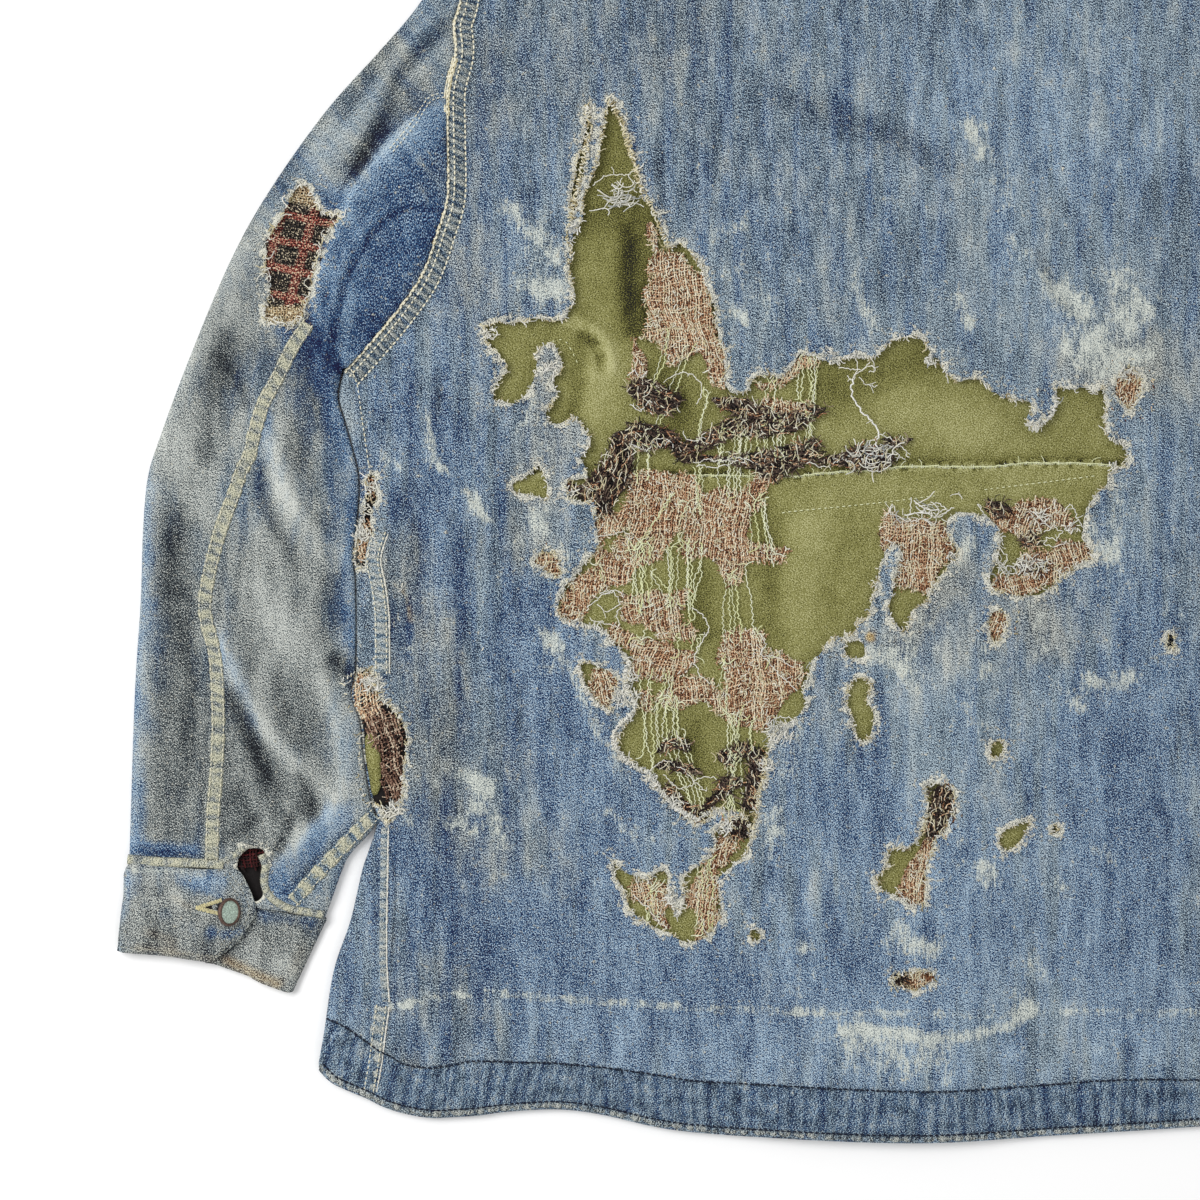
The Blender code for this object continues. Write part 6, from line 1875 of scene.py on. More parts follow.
# Remains of the blanket lining in rose yarn: the solid each belongs to, and its outline
ROSE = (
    ("lining_upper", ((-140, 150), (-134, 146), (-133, 134), (-128, 131), (-119, 130), (-114, 122),
     (-106, 117), (-103, 108), (-101, 95), (-99, 82), (-94, 74), (-90, 66), (-90, 55), (-97, 52),
     (-102, 58), (-104, 68), (-108, 72), (-116, 68), (-124, 64), (-128, 70), (-132, 76), (-134, 80),
     (-142, 80), (-138, 92), (-139, 100), (-142, 104), (-138, 112), (-139, 124), (-136, 132),
     (-140, 142))),
    ("lining_upper", ((-147, 80), (-144, 72), (-140, 66), (-142, 56), (-150, 54), (-148, 62), (-147, 70))),
    ("lining_upper", ((-74, 52), (-62, 56), (-50, 66), (-38, 70), (-38, 65), (-46, 62), (-54, 55),
     (-62, 51), (-72, 48))),
    ("lining_upper", ((-70, 44), (-62, 42), (-50, 41), (-42, 42), (-44, 34), (-54, 30), (-64, 30),
     (-70, 36))),
    ("lining_centre", ((-150, -2), (-138, 0), (-122, -2), (-112, -4), (-106, -14), (-96, -12), (-84, -13),
     (-78, -8), (-70, -2), (-60, 0), (-66, -6), (-70, -12), (-72, -22), (-78, -26), (-79, -42),
     (-70, -44), (-62, -48), (-55, -46), (-60, -54), (-72, -54), (-80, -56), (-86, -68), (-92, -66),
     (-98, -56), (-108, -50), (-118, -52), (-120, -46), (-116, -38), (-122, -34), (-128, -44),
     (-134, -52), (-150, -56), (-156, -50), (-158, -42), (-150, -38), (-152, -34), (-160, -38),
     (-166, -40), (-170, -50), (-172, -30), (-160, -26), (-152, -20), (-150, -10))),
    ("lining_centre", ((-170, -46), (-160, -50), (-152, -52), (-150, -58), (-152, -66), (-164, -70),
     (-172, -78), (-178, -88), (-186, -92), (-193, -86), (-190, -76), (-184, -66), (-176, -62),
     (-168, -58))),
    ("lining_centre", ((-156, -72), (-146, -76), (-134, -72), (-124, -74), (-116, -70), (-116, -78),
     (-120, -84), (-118, -92), (-112, -94), (-112, -100), (-120, -100), (-126, -102), (-132, -100),
     (-136, -94), (-142, -92), (-150, -92), (-156, -88), (-154, -80))),
    ("lining_centre", ((-163, -94), (-154, -96), (-146, -100), (-136, -102), (-128, -104), (-122, -108),
     (-112, -108), (-111, -114), (-118, -122), (-128, -126), (-140, -124), (-149, -122), (-148, -112),
     (-151, -106), (-158, -102))),
    ("lining_centre", ((-136, -136), (-128, -130), (-118, -124), (-108, -124), (-100, -128), (-96, -134),
     (-92, -126), (-94, -116), (-97, -112), (-94, -104), (-90, -98), (-80, -96), (-70, -98), (-72, -106),
     (-64, -110), (-54, -112), (-47, -118), (-48, -128), (-56, -136), (-60, -142), (-66, -150),
     (-72, -156), (-80, -154), (-90, -150), (-98, -142), (-106, -138), (-114, -140), (-122, -142),
     (-132, -140))),
    ("lining_lower", ((-144, -132), (-138, -132), (-137, -142), (-143, -142))),
    ("lining_island", ((-98, -222), (-90, -220), (-86, -226), (-92, -236), (-98, -240), (-98, -250),
     (-99, -262), (-95, -268), (-102, -277), (-109, -280), (-108, -266), (-116, -258), (-112, -248),
     (-106, -240), (-102, -232))),
    ("lining_island", ((-148, -248), (-138, -246), (-130, -249), (-126, -258), (-130, -264), (-126, -275),
     (-134, -270), (-141, -260), (-148, -256))),
    ("lining_tab", ((4, -24), (14, -29), (24, -29), (40, -33), (44, -46), (40, -54), (34, -62), (30, -72),
     (18, -71), (9, -68), (12, -56), (12, -44), (4, -50), (0, -38))),
    ("lining_right", ((64, -18), (74, -25), (84, -19), (100, -17), (112, -22), (118, -36), (104, -33),
     (96, -38), (92, -48), (80, -38), (70, -34), (66, -28))),
    ("lining_right", ((88, -49), (104, -47), (108, -43), (125, -44), (129, -52), (118, -61), (102, -67),
     (88, -74), (76, -75), (67, -69), (72, -63), (84, -63), (82, -55))),
    ("lining_worn", ((62, -82), (80, -80), (79, -98), (70, -106), (62, -100))),
    ("lining_edge", ((-212, -48), (-191, -46), (-189, -68), (-208, -62))),
    ("lining_edge", ((-172, -120), (-160, -120), (-155, -140), (-166, -145), (-173, -134))),
    ("lining_strip", ((28, -220), (38, -222), (34, -240), (30, -262), (12, -258), (16, -240), (24, -228))),
    ("lining_spot", ((16, -297), (34, -297), (36, -310), (16, -312))),
    ("lining_tear", ((138, 66), (160, 66), (161, 34), (140, 36))),
)
# The same in charcoal yarn, as strokes: solid, width along the stroke, path
CHARCOAL = (
    ("lining_upper", (8, 16, 14, 6), ((-150, 46), (-142, 48), (-130, 42), (-120, 40))),
    ("lining_upper", (8, 15, 12, 6), ((-151, 24), (-142, 21), (-132, 20), (-123, 14))),
    ("lining_upper", (4, 9, 12, 11, 10, 8, 6, 2), ((-101, 42), (-90, 40), (-78, 36), (-68, 31), (-58, 28),
     (-48, 31), (-40, 35), (-31, 39))),
    ("lining_upper", (5, 7, 9, 10, 8, 4), ((-125, 12), (-110, 15), (-97, 22), (-86, 27), (-74, 24),
     (-62, 23))),
    ("lining_upper", (4, 8, 13, 14, 12, 6), ((-90, 9), (-78, 6), (-66, 5), (-54, 8), (-43, 12),
     (-36, 18))),
    ("lining_upper", (2, 5, 9, 13, 12, 6), ((-38, 5), (-26, 7), (-14, 8), (-4, 9), (3, 7), (6, 3))),
    ("lining_upper", (5, 3, 1.5), ((2, 17), (11, 17), (20, 20))),
    ("lining_upper", (3, 4, 3), ((-120, 6), (-104, 8), (-88, 6))),
    ("lining_centre", (8, 13, 16, 20, 18, 8), ((-155, 24), (-155, 12), (-158, 2), (-163, -8), (-168, -18),
     (-166, -28))),
    ("lining_centre", (3, 7, 8), ((-189, -9), (-180, -12), (-170, -12))),
    ("lining_lower", (2, 5, 6, 2), ((-134, -169), (-126, -162), (-119, -164), (-113, -168))),
    ("lining_lower", (3, 5, 3, 1.5), ((-134, -178), (-124, -176), (-116, -179), (-107, -181))),
    ("lining_lower", (4, 6, 7, 6, 5, 4), ((-130, -188), (-121, -199), (-110, -207), (-102, -199),
     (-95, -192), (-90, -188))),
    ("lining_lower", (5, 8, 8, 9, 8, 5), ((-96, -172), (-86, -169), (-76, -169), (-75, -180), (-78, -194),
     (-80, -205))),
    ("lining_lower", (4, 8, 5), ((-98, -190), (-90, -187), (-83, -190))),
    ("lining_island", (6, 12, 8), ((-94, -212), (-86, -212), (-82, -222))),
    ("lining_right", (5, 8, 5), ((64, -20), (70, -24), (78, -25))),
    ("lining_right", (5, 7, 4), ((84, -40), (91, -42), (97, -40))),
    ("lining_right", (3, 5, 3), ((84, -58), (94, -57), (102, -56))),
    ("lining_strip", (9, 14, 12, 8), ((36, -188), (38, -198), (36, -210), (29, -222))),
    ("lining_spot", (6, 7, 6), ((6, -305), (12, -305), (18, -304))),
)
# Loose pale threads that bridge the gaps: how many, left and right x and y at the top, and the same below
BRIDGES = tuple(dict(zip(("count", "x0", "x1", "top", "x2", "x3", "bottom"), row)) for row in (
    (6, -150, -140, -48, -149, -141, -80), (2, -139, -137, -48, -140, -137, -76),
    (5, -130, -122, -49, -129, -123, -77), (4, -116, -111, -44, -115, -112, -84),
    (2, -108, -106, -50, -112, -111, -74), (4, -93, -88, -64, -94, -86, -98),
    (1, -80, -80, -56, -76, -76, -99),
    (2, -78, -76, -24, -78, -73, -44), (3, -72, -69, -18, -70, -63, -49),
    (3, -96, -93, -116, -94, -92, -142),
    (1, -145, -145, -126, -143, -143, -172), (2, -139, -138, -128, -138, -136, -180),
    (2, -134, -132, -138, -134, -131, -168), (3, -129, -126, -140, -129, -126, -162),
    (3, -124, -121, -140, -124, -120, -160), (3, -91, -88, -148, -92, -88, -168),
    (4, -86, -82, -150, -87, -81, -170), (2, -78, -76, -150, -79, -77, -166),
    (5, -128, -116, -163, -112, -104, -204),
    (6, -91, -83, -172, -91, -83, -204), (2, -88, -86, -204, -87, -84, -214),
    (9, -96, -80, 23, -97, -81, 8),
    (13, -73, -49, 27, -73, -48, 11), (4, -47, -41, 32, -47, -40, 15), (4, -44, -38, 69, -45, -39, 31),
    (2, -49, -46, 67, -49, -47, 44), (2, -66, -64, 50, -68, -65, 40), (7, -96, -83, 7, -95, -82, -13),
    (4, -146, -136, 15, -147, -137, -2), (2, -129, -127, 76, -138, -134, 54),
    (2, -118, -114, 72, -128, -124, 50),
    (2, -104, -103, 43, -112, -109, 18), (2, -133, -130, 33, -139, -134, 25),
    (3, -110, -107, -2, -110, -106, -22),
    (2, -127, -124, -16, -150, -146, -44), (2, -117, -115, -20, -122, -120, -42),
    (4, -118, -110, -100, -119, -111, -110), (2, -139, -136, -64, -128, -124, -76),
    (5, -140, -132, -252, -142, -131, -268),
    (4, -109, -103, -236, -110, -102, -276), (2, -170, -168, -56, -168, -164, -66),
    (3, -146, -143, -104, -146, -142, -96),
    (4, -130, -122, -124, -134, -126, -140), (2, -75, -72, -100, -66, -66, -110),
))
# Single white threads: thickness and a run of places
WHITE_THREADS = (
    (0.9, ((-17, 55), (-18, 50), (-15, 42), (-8, 33), (-3, 27), (-1, 20), (-2, 14))),
    (0.5, ((-25, 62), (-18, 61), (-11, 60), (-5, 63), (-3, 60), (-7, 59))),
    (0.5, ((-17, 55), (-13, 59), (-10, 61), (-6, 66), (0, 70))),
    (0.45, ((-13, 56), (-10, 52), (-5, 51), (-2, 51))),
    (0.5, ((-20, 57), (-17, 54), (-14, 62), (-15, 68))),
    (0.5, ((-10, 12), (-8, 18), (-2, 21), (6, 20), (9, 17))),
    (0.5, ((-9, 8), (-9, 3), (-6, 0), (2, 1), (7, 5), (6, 9), (1, 10))),
    (0.5, ((5, 14), (12, 15), (16, 11), (17, 8))),
    (0.4, ((8, 12), (12, 8), (15, 7))),
    (0.45, ((-44, 5), (-38, 3), (-30, 3), (-22, 7), (-18, 3), (-12, 9))),
    (0.45, ((-112, 5), (-102, 7), (-94, 6), (-86, 8), (-78, 6))),
    (0.5, ((-110, 3), (-98, 2), (-88, 6), (-80, 4))),
    (0.5, ((-126, 56), (-118, 60), (-112, 58), (-107, 50), (-108, 43), (-110, 40))),
    (0.5, ((-152, 58), (-147, 61), (-143, 56), (-140, 60))),
    (0.45, ((-150, 40), (-143, 36), (-138, 42), (-137, 34))),
    (0.45, ((-148, 15), (-140, 12), (-136, 18), (-128, 19), (-124, 14))),
    (0.45, ((-118, 24), (-116, 19), (-110, 18), (-104, 23))),
    (0.5, ((-113, -82), (-106, -88), (-103, -96), (-110, -106), (-112, -116), (-106, -124), (-102, -128))),
    (0.45, ((-172, -40), (-160, -38), (-154, -36), (-150, -38), (-152, -44))),
    (0.45, ((-168, -74), (-160, -72), (-156, -80), (-166, -84), (-170, -80))),
    (0.45, ((-176, -82), (-166, -74), (-158, -72), (-154, -76))),
    (0.45, ((-174, -88), (-164, -92), (-156, -92), (-158, -86), (-155, -82))),
    (0.45, ((-72, -98), (-68, -104), (-72, -110), (-62, -112), (-52, -118))),
    (0.45, ((-70, -112), (-62, -120), (-54, -128), (-50, -132))),
    (0.45, ((-138, -180), (-130, -174), (-120, -178), (-112, -186), (-104, -192))),
    (0.45, ((-130, -182), (-122, -190), (-112, -188), (-106, -184), (-98, -185))),
    (0.5, ((4, -27), (7, -20), (6, -26), (12, -28), (18, -30))),
    (0.5, ((19, -16), (18, -22), (16, -28), (22, -30), (28, -22), (36, -20), (40, -23), (34, -26),
     (24, -24))),
    (0.5, ((26, -22), (32, -28), (38, -26), (44, -22))),
    (0.45, ((45, -14), (48, -14), (49, -17))),
    (0.5, ((58, -20), (62, -26), (66, -30), (62, -32), (58, -31))),
    (0.5, ((70, -58), (74, -56), (76, -50), (72, -46), (70, -52), (76, -60), (72, -64))),
    (0.5, ((98, -36), (104, -32), (110, -36), (106, -42), (100, -40), (98, -44), (104, -46), (112, -42))),
    (0.5, ((82, -56), (88, -50), (92, -54), (86, -60), (80, -58), (84, -52))),
    (0.45, ((110, -24), (114, -20), (118, -26), (122, -34))),
    (0.5, ((122, -42), (124, -34), (134, -30), (136, -27), (132, -24))),
    (0.45, ((-6, -66), (-2, -68), (2, -66))),
    (0.5, ((32, -72), (33, -76), (31, -80))),
    (0.5, ((-172, 171), (-166, 177), (-160, 178), (-150, 178), (-146, 181))),
    (0.45, ((-155, 176), (-157, 171), (-161, 168))),
    (0.45, ((-151, 178), (-147, 172), (-146, 167))),
    (0.45, ((-68, -152), (-60, -147), (-52, -150), (-54, -160), (-60, -164))),
    (0.45, ((-66, -156), (-62, -150), (-56, -152), (-58, -162), (-66, -168))),
    (0.45, ((-148, -254), (-138, -264), (-132, -272), (-128, -275))),
    (0.45, ((8, -250), (14, -256), (22, -262), (26, -258))),
    (0.4, ((-182, -16), (-188, -22), (-194, -24), (-196, -18), (-190, -10))),
)
CUFF_OVER = (
    (-451.5, -236.5), (-435, -237), (-420, -238), (-404, -239), (-389, -238.5), (-383.5, -241),
    (-378, -251), (-374.5, -261), (-375.5, -267), (-380, -275), (-387, -284), (-395, -290.5),
    (-401, -294.5), (-412, -293.5), (-425, -291.5), (-440, -290), (-456, -288.5), (-457.6, -284),
    (-454.5, -256)
)
CUFF_UNDER = (
    (-402, -258), (-385, -262), (-372, -262.5), (-362, -264), (-352, -266.5), (-341, -267.5),
    (-332.5, -268.5), (-335, -275), (-343, -292), (-350, -307), (-353, -313), (-358, -312.5),
    (-365, -310), (-373, -307), (-380, -303), (-390, -299.5), (-400, -296), (-406, -293.5), (-404, -275)
)
# Darkening strokes along the cuff's edges and creases are painted shade and shadow; with them go fading,
# bright dye, stains and rust.
CUFF_WEAR_AND_SHADE = (
    ("blue", 0.9, 5, ((-420, -246), (-406, -248), (-396, -246))),
    ("blue", 0.8, 3.5, ((-402, -277), (-394, -279), (-386, -278))),
    ("blue", 0.7, 5, ((-449, -246), (-446, -252))),
    ("blue", 0.6, 6, ((-440, -262), (-430, -266))),
    ("blue", 0.5, 6, ((-418, -272), (-410, -276))),
    ("deep", 0.25, 4, ((-438, -266), (-436, -278), (-438, -284))),
    ("deep", 0.25, 4, ((-408, -282), (-404, -288))),
    ("deep", 0.20, 5, ((-372, -280), (-366, -290))),
    ("bleach", 0.9, 1.6, ((-384, -242), (-378, -252), (-374.5, -261), (-376, -268), (-381, -276),
     (-389, -286))),
    ("blue", 1.0, 3.0, ((-400, -276), (-392, -278), (-384, -276))),
    ("deep", 0.20, 3.0, ((-403, -276), (-395, -278), (-388, -276))),
    ("blue", 1.1, 5.0, ((-452, -242), (-452, -254), (-455, -266))),
    ("blue", 0.9, 4.0, ((-408, -246), (-402, -252), (-396, -256))),
    ("deep", 0.14, 4.0, ((-444, -250), (-432, -252), (-420, -248))),
    ("pale", 0.12, 5.0, ((-412, -244), (-398, -246))),
    ("deep", 0.30, 2.6, ((-373, -264), (-378, -274), (-386, -284), (-397, -294))),
    ("deep", 0.22, 3.5, ((-371, -262), (-362, -267), (-350, -270), (-336, -271))),
    ("blue", 0.9, 4.0, ((-372, -266), (-360, -269), (-344, -270))),
    ("pale", 0.14, 5.0, ((-372, -284), (-360, -296))),
    ("deep", 0.16, 5.0, ((-348, -276), (-350, -290))),
    ("rust", 0.40, 4.0, ((-424, -256), (-414, -262))),
    ("rust", 0.40, 5.0, ((-440, -276), (-424, -282))),
    ("bleach", 0.8, 1.8, ((-448, -239.5), (-420, -240.5), (-395, -241.5))),
    ("pale", 0.15, 5, ((-434, -246), (-420, -256))),
    ("stain", 0.9, 30, ((-430, -270), (-390, -280), (-350, -290))),
    ("rust", 0.7, 5, ((-392, -294), (-376, -302), (-362, -308))),
    ("rust", 0.45, 4, ((-446, -286), (-420, -290), (-402, -293))),
    ("rust", 0.35, 7, ((-352, -300), (-348, -288))),
)
# Collar from the middle of the back to its front end: neck seam, fold and outer edge, each (x, y, z)
COLLAR = tuple(dict(zip(("seam", "fold", "edge"), row)) for row in (
    ((0.0, 356.1, 6.0), (0.0, 402.6, 6.8), (0.0, 333.0, 7.6)),
    ((24.0, 358.2, 6.0), (25.0, 401.4, 6.8), (34.0, 332.6, 7.6)),
    ((48.0, 361.4, 6.0), (50.0, 397.5, 6.8), (74.0, 331.0, 7.6)),
    ((68.0, 368.2, 5.8), (74.0, 392.0, 6.7), (106.0, 328.0, 7.6)),
    ((79.0, 374.8, 5.2), (88.0, 386.0, 6.0), (124.0, 345.0, 7.5)),
    ((82.0, 377.6, 4.4), (93.0, 384.0, 5.0), (131.0, 368.0, 6.2)),
    ((83.0, 378.6, 3.2), (94.0, 385.0, 3.2), (133.0, 371.0, 3.2)),
    ((81.0, 377.0, 1.5), (92.0, 382.6, 1.0), (131.0, 368.0, 0.6)),
    ((74.0, 362.0, 2.0), (62.0, 368.0, 1.3), (127.0, 346.0, 0.6)),
    ((60.0, 327.0, 2.4), (46.0, 340.0, 1.5), (108.0, 300.0, 0.6)),
    ((38.0, 302.0, 2.4), (28.0, 316.0, 1.5), (84.0, 262.0, 0.6)),
    ((7.0, 290.0, 2.4), (6.0, 303.0, 1.5), (58.0, 240.0, 0.6)),
))


def patch_top(level):
    base = under_top(level)
    return lambda x, y: base(x, y) + folds_at(x, y, PATCH_FOLDS) + 0.15 * wander(x, y, 40, 8)


def make_patches():
    """Two pieces of olive cotton behind the back, the lower one lapping the upper one with its raw edge."""
    raw = curve(RAW_EDGE, 3.0)
    draw = random.Random(5)
    raw[:, 1] += [draw.uniform(-0.35, 0.35) for _ in raw]
    lower = np.concatenate([raw, curve(PATCH_LOWER_REST, 6.0)])
    shadow = beside(raw, 1.6)
    for name, outline, level, line in (
            ("patch_upper", curve(PATCH_UPPER, 6.0, closed=True), PATCH_UPPER_TOP, [shadow]),
            ("patch_lower", lower, PATCH_LOWER_TOP, [beside(raw, -1.5)])):
        top_of = patch_top(level)
        flat, faces, _ = layer(outline, 5.2, crisp=line + crisp_lines(PATCH_FOLDS, PATCH_WEAR_AND_SHADE))
        mesh = mesh_from(name, np.column_stack([flat, top_of(flat[:, 0], flat[:, 1])]), faces)
        p = points_of(mesh)
        near_edge, _, side = nearest(p[:, 0], p[:, 1], raw)
        # The lower patch's raw edge is paler where it frays, and the upper patch just above it gets painted
        # shadow from that raised edge.
        for kind, reach, above in (("pale", 1.6, -1), ("deep", 3.0, 1)):
            lip = 0.42 * np.exp(-(near_edge / reach) ** 2) * (side * above > 0)
            set_values(mesh, kind, strokes_at(p[:, 0], p[:, 1], PATCH_WEAR_AND_SHADE, kind) + lip)
        set_values(mesh, "loft", folds_at(p[:, 0], p[:, 1], PATCH_FOLDS))
        set_cloth_map(mesh, p[:, 0] * MM, p[:, 1] * MM)
        cloth_piece(name + "_cloth", mesh, FINISHES["olive"], COTTON_THICK, [name])
    edge = evenly(raw[(raw[:, 0] > -118) & (raw[:, 0] < 142)], 300)
    top_of = patch_top(PATCH_LOWER_TOP)
    runs = [(np.column_stack([edge, top_of(edge[:, 0], edge[:, 1]) + 0.5]), 0.75, 0.6)]
    for x, y in edge:
        z = float(top_of(x, y)) + 0.4
        heading = math.pi / 2 + draw.gauss(0, 0.6)
        runs.append((curly((x, y - 1.0), heading, draw.uniform(1.6, 3.6), 0.4, draw, z, 1.0, 0.8),
                     draw.uniform(0.4, 0.65), draw.uniform(0.3, 1.0)))
        if draw.random() < 0.06:
            runs.append((curly((x, y), heading, draw.uniform(5, 11), 0.7, draw, z, 0.6), 0.45,
                         draw.uniform(0.5, 1.0)))
    yarns("patch_raw_edge", runs, FINISHES["straw"])
    marks = curve(BASTING, 2.0)
    rows = [marks[marks[:, 0] < 33], marks[marks[:, 0] > 63],
            curve(((-196, 78), (-190, 79), (-186, 74), (-182, 66)), 2.0)]
    finish_piece(sewn("patch_basting", rows, top_of, 0.9, FINISHES["straw"], 3.6, 1.1, 0.32, 0.7))


def lining_height(x, y):
    """Middle of the torn blanket cloth, clear of the olive cotton under it."""
    x, y = np.asarray(x, float), np.asarray(y, float)
    under = np.where(y < 3, patch_top(PATCH_LOWER_TOP)(x, y), patch_top(PATCH_UPPER_TOP)(x, y))
    return np.maximum(LINING_MIDDLE + placket_ridge(x, y) * 0.96, under + 1.1)


def crisp_lines(folds, tone_strokes=()):
    """Runs of the folds and of the strokes, painted shade among them, too sharp for the open cloth's
    spacing.
    """
    paths = [path for _, left, right, path in folds if min(left, right) < 3.3]
    paths += [path for _, _, width, path in tone_strokes if width < 3.3 and len(path) > 1]
    return [curve(path, 2.0) for path in paths]


def ripples(x, y, run, reach, period):
    """Small puckers across a seam, dying away from it."""
    path = RUNS[run][::3]
    distance, share, _ = nearest(x, y, path)
    along = share * length_of(path)
    return np.exp(-(distance / reach) ** 2) * np.sin(math.tau * along / period + 2.0 * np.sin(along / 17.0))


def body_relief(x, y):
    """Folds of the back, and the puckers beside its seams and hem."""
    left = -np.abs(x)
    relief = folds_at(x, y, BODY_FOLDS) + 0.8 * ripples(x, y, "hem_top", 15, 12.5)
    return relief + 0.5 * ripples(left, y, "side_seam", 9, 11) + 0.4 * ripples(left, y, "armhole", 11, 10)


def sleeve_relief(x, y, folds, side):
    """Folds of a sleeve and the puckers beside its seams."""
    mirror = -side * x
    low = np.clip((150 - y) / 20, 0, 1)
    relief = folds_at(x, y, folds) + (0.3 + 0.7 * low) * ripples(mirror, y, "armhole", 13, 8.0)
    return relief + 0.3 * ripples(mirror, y, "elbow", 8, 10) + 0.4 * ripples(mirror, y, "inner_seam", 8, 9)


def crinkled(start, end, draw, sway=1.0):
    """Points of a thread that once was woven: it keeps small waves on its way between two places."""
    distance = math.dist(start, end)
    count = max(5, int(distance / 1.1))
    s = np.linspace(0, 1, count)
    run = s * distance
    phase, length = draw.uniform(0, 6), draw.uniform(2.6, 4.2)
    walk = np.cumsum([draw.gauss(0, 0.26) for _ in range(count)])
    walk = walk - s * walk[-1] + draw.uniform(-1.4, 1.4) * np.sin(s * math.pi)
    off = sway * (walk + 0.42 * np.sin(run * math.tau / length + phase))
    dx, dy = (end[0] - start[0]) / distance, (end[1] - start[1]) / distance
    return start[0] + dx * run - dy * off, start[1] + dy * run + dx * off


def tangle(region, number, heading, spread, length, thick, tints, seed, z_at, curl=0.7, lift=0.6):
    """Curled hairs and loose ends strewn over a region."""
    draw = random.Random(seed)
    low, high = region.min(axis=0), region.max(axis=0)
    spots = np.array([(draw.uniform(low[0], high[0]),
                       draw.uniform(low[1], high[1])) for _ in range(number * 4 + 8)])
    spots = spots[inside(spots[:, 0], spots[:, 1], region)][:number]
    heights = z_at(spots[:, 0], spots[:, 1])
    runs = []
    for (x, y), z in zip(spots, heights):
        angle = heading + draw.gauss(0, spread) + (math.pi if draw.random() < 0.5 else 0.0)
        size = length * draw.uniform(0.4, 1.5)
        start = (x - math.cos(angle) * size * 0.4, y - math.sin(angle) * size * 0.4)
        runs.append((curly(start, angle, size, curl, draw, z + lift * draw.uniform(0.2, 1.6), 0.2, 1.3),
                     draw.uniform(*thick), draw.uniform(*tints)))
    return runs


def area_of(outline):
    return abs(float(np.sum(outline[:, 0] * np.roll(outline[:, 1], -1) - np.roll(outline[:, 0], -1)
                            * outline[:, 1]))) / 2


def scraps(name, outlines, z_at, finish):
    """Thin torn sheets of blanket cloth, one for each outline."""
    parts = []
    for outline in outlines:
        flat, faces, _ = layer(outline, 3.4)
        parts.append((np.column_stack([flat, z_at(flat[:, 0], flat[:, 1])]), faces))
    points, faces = joined_layers(*parts)
    mesh = mesh_from(name, points, faces)
    set_cloth_map(mesh, points_of(mesh)[:, 0] * MM, points_of(mesh)[:, 1] * MM)
    return thicken(add_piece(name, mesh, finish), 0.4)


# Balls of white fluff: place, radius, how many hairs, the way they lie and their length
KNOTS = (
    (-155, 163, 9, 30, 0.3, 0.5, 13, 0.45),
    (-152, -136, 7, 70, 1.6, 0.8, 7, 0.8),
    (-150, -124, 5, 34, 2.2, 0.8, 6, 0.8),
    (-60, -158, 8, 60, 1, 0.8, 8, 0.8),
    (-69, -177, 6, 34, 0.9, 0.8, 7, 0.8),
    (-184, 146, 4, 30, 1.2, 0.8, 6, 0.8),
    (-121, -199, 5, 26, 2.4, 0.8, 6, 0.8),
    (-138, -184, 5, 26, 2.4, 0.8, 6, 0.8),
    (-93, -214, 6, 46, 0.6, 0.8, 6, 0.8),
    (-126, -256, 4, 30, 1.5, 0.8, 5, 0.8),
    (-31, 71, 4, 22, 0.5, 0.8, 5, 0.8),
    (30, 66, 4, 26, 2.2, 0.8, 5, 0.8),
    (93, 27, 5, 34, 1.6, 0.8, 5, 0.8),
    (-188, -14, 6, 26, 0.2, 0.8, 6, 0.8),
    (-305, -128, 7, 60, 1.8, 0.8, 7, 0.8),
    (-291, -203, 6, 46, 0.5, 0.8, 7, 0.8),
    (-311, -38, 6, 44, 1.4, 0.8, 6, 0.8),
    (-306, -10, 4, 20, 1.6, 0.8, 5, 0.8),
    (-198, 62, 5, 30, 1.4, 0.8, 5, 0.8),
    (-233, 82, 5, 22, 0.4, 0.8, 5, 0.8),
    (140, 2, 4, 18, 1.2, 0.8, 5, 0.8),
    (45, -52, 5, 24, 1.2, 0.8, 5, 0.8),
    (116, -34, 5, 20, 1, 0.8, 5, 0.8),
    (150, 58, 6, 34, 0.8, 0.8, 6, 0.8),
    (32, -25, 11, 16, -0.2, 0.5, 13, 0.4),
    (10, -26, 5, 5, 1.7, 0.5, 9, 0.4),
    (-6, 9, 12, 34, 0.35, 0.6, 12, 0.5),
    (92, -57, 9, 40, 0.8, 0.9, 8, 0.7),
    (76, -60, 6, 12, 1.6, 0.9, 8, 0.7),
    (95, -28, 8, 22, 0.4, 0.9, 8, 0.7),
    (-236, -108, 3, 6, 1.8, 0.5, 6, 0.5),
    (-287, -70, 4, 10, 1, 0.6, 5, 0.5),
    (-248, -13, 2.4, 8, 1, 1.5, 4, 1),
)

# Edges under thick loops of yarn: path, width, spacing and height of the loops
TEAR_EDGES = (
    (((-163, 223), (-159, 217), (-155, 209), (-151, 196), (-147, 183), (-145, 174)), 4.2, 0.9, 1.1),
    (((-145, 174), (-138, 160), (-134, 151), (-131, 143), (-126, 134)), 2.8, 1.2, 0.8),
    (((-176, 219), (-175, 208), (-177, 194), (-180, 178), (-184, 160), (-186.5, 148)), 2.6, 1.1, 0.8),
    (((-164, 216), (-166, 202), (-170, 188), (-174, 175), (-178, 162), (-180, 150)), 1.4, 2.0, 0.4),
    (((-187, 148), (-188, 140), (-185, 132), (-187, 124), (-185, 112), (-184, 104)), 2.2, 1.4, 0.7),
    (((-67, -165), (-70, -180), (-73, -200), (-77, -219)), 2.0, 1.6, 0.6),
)

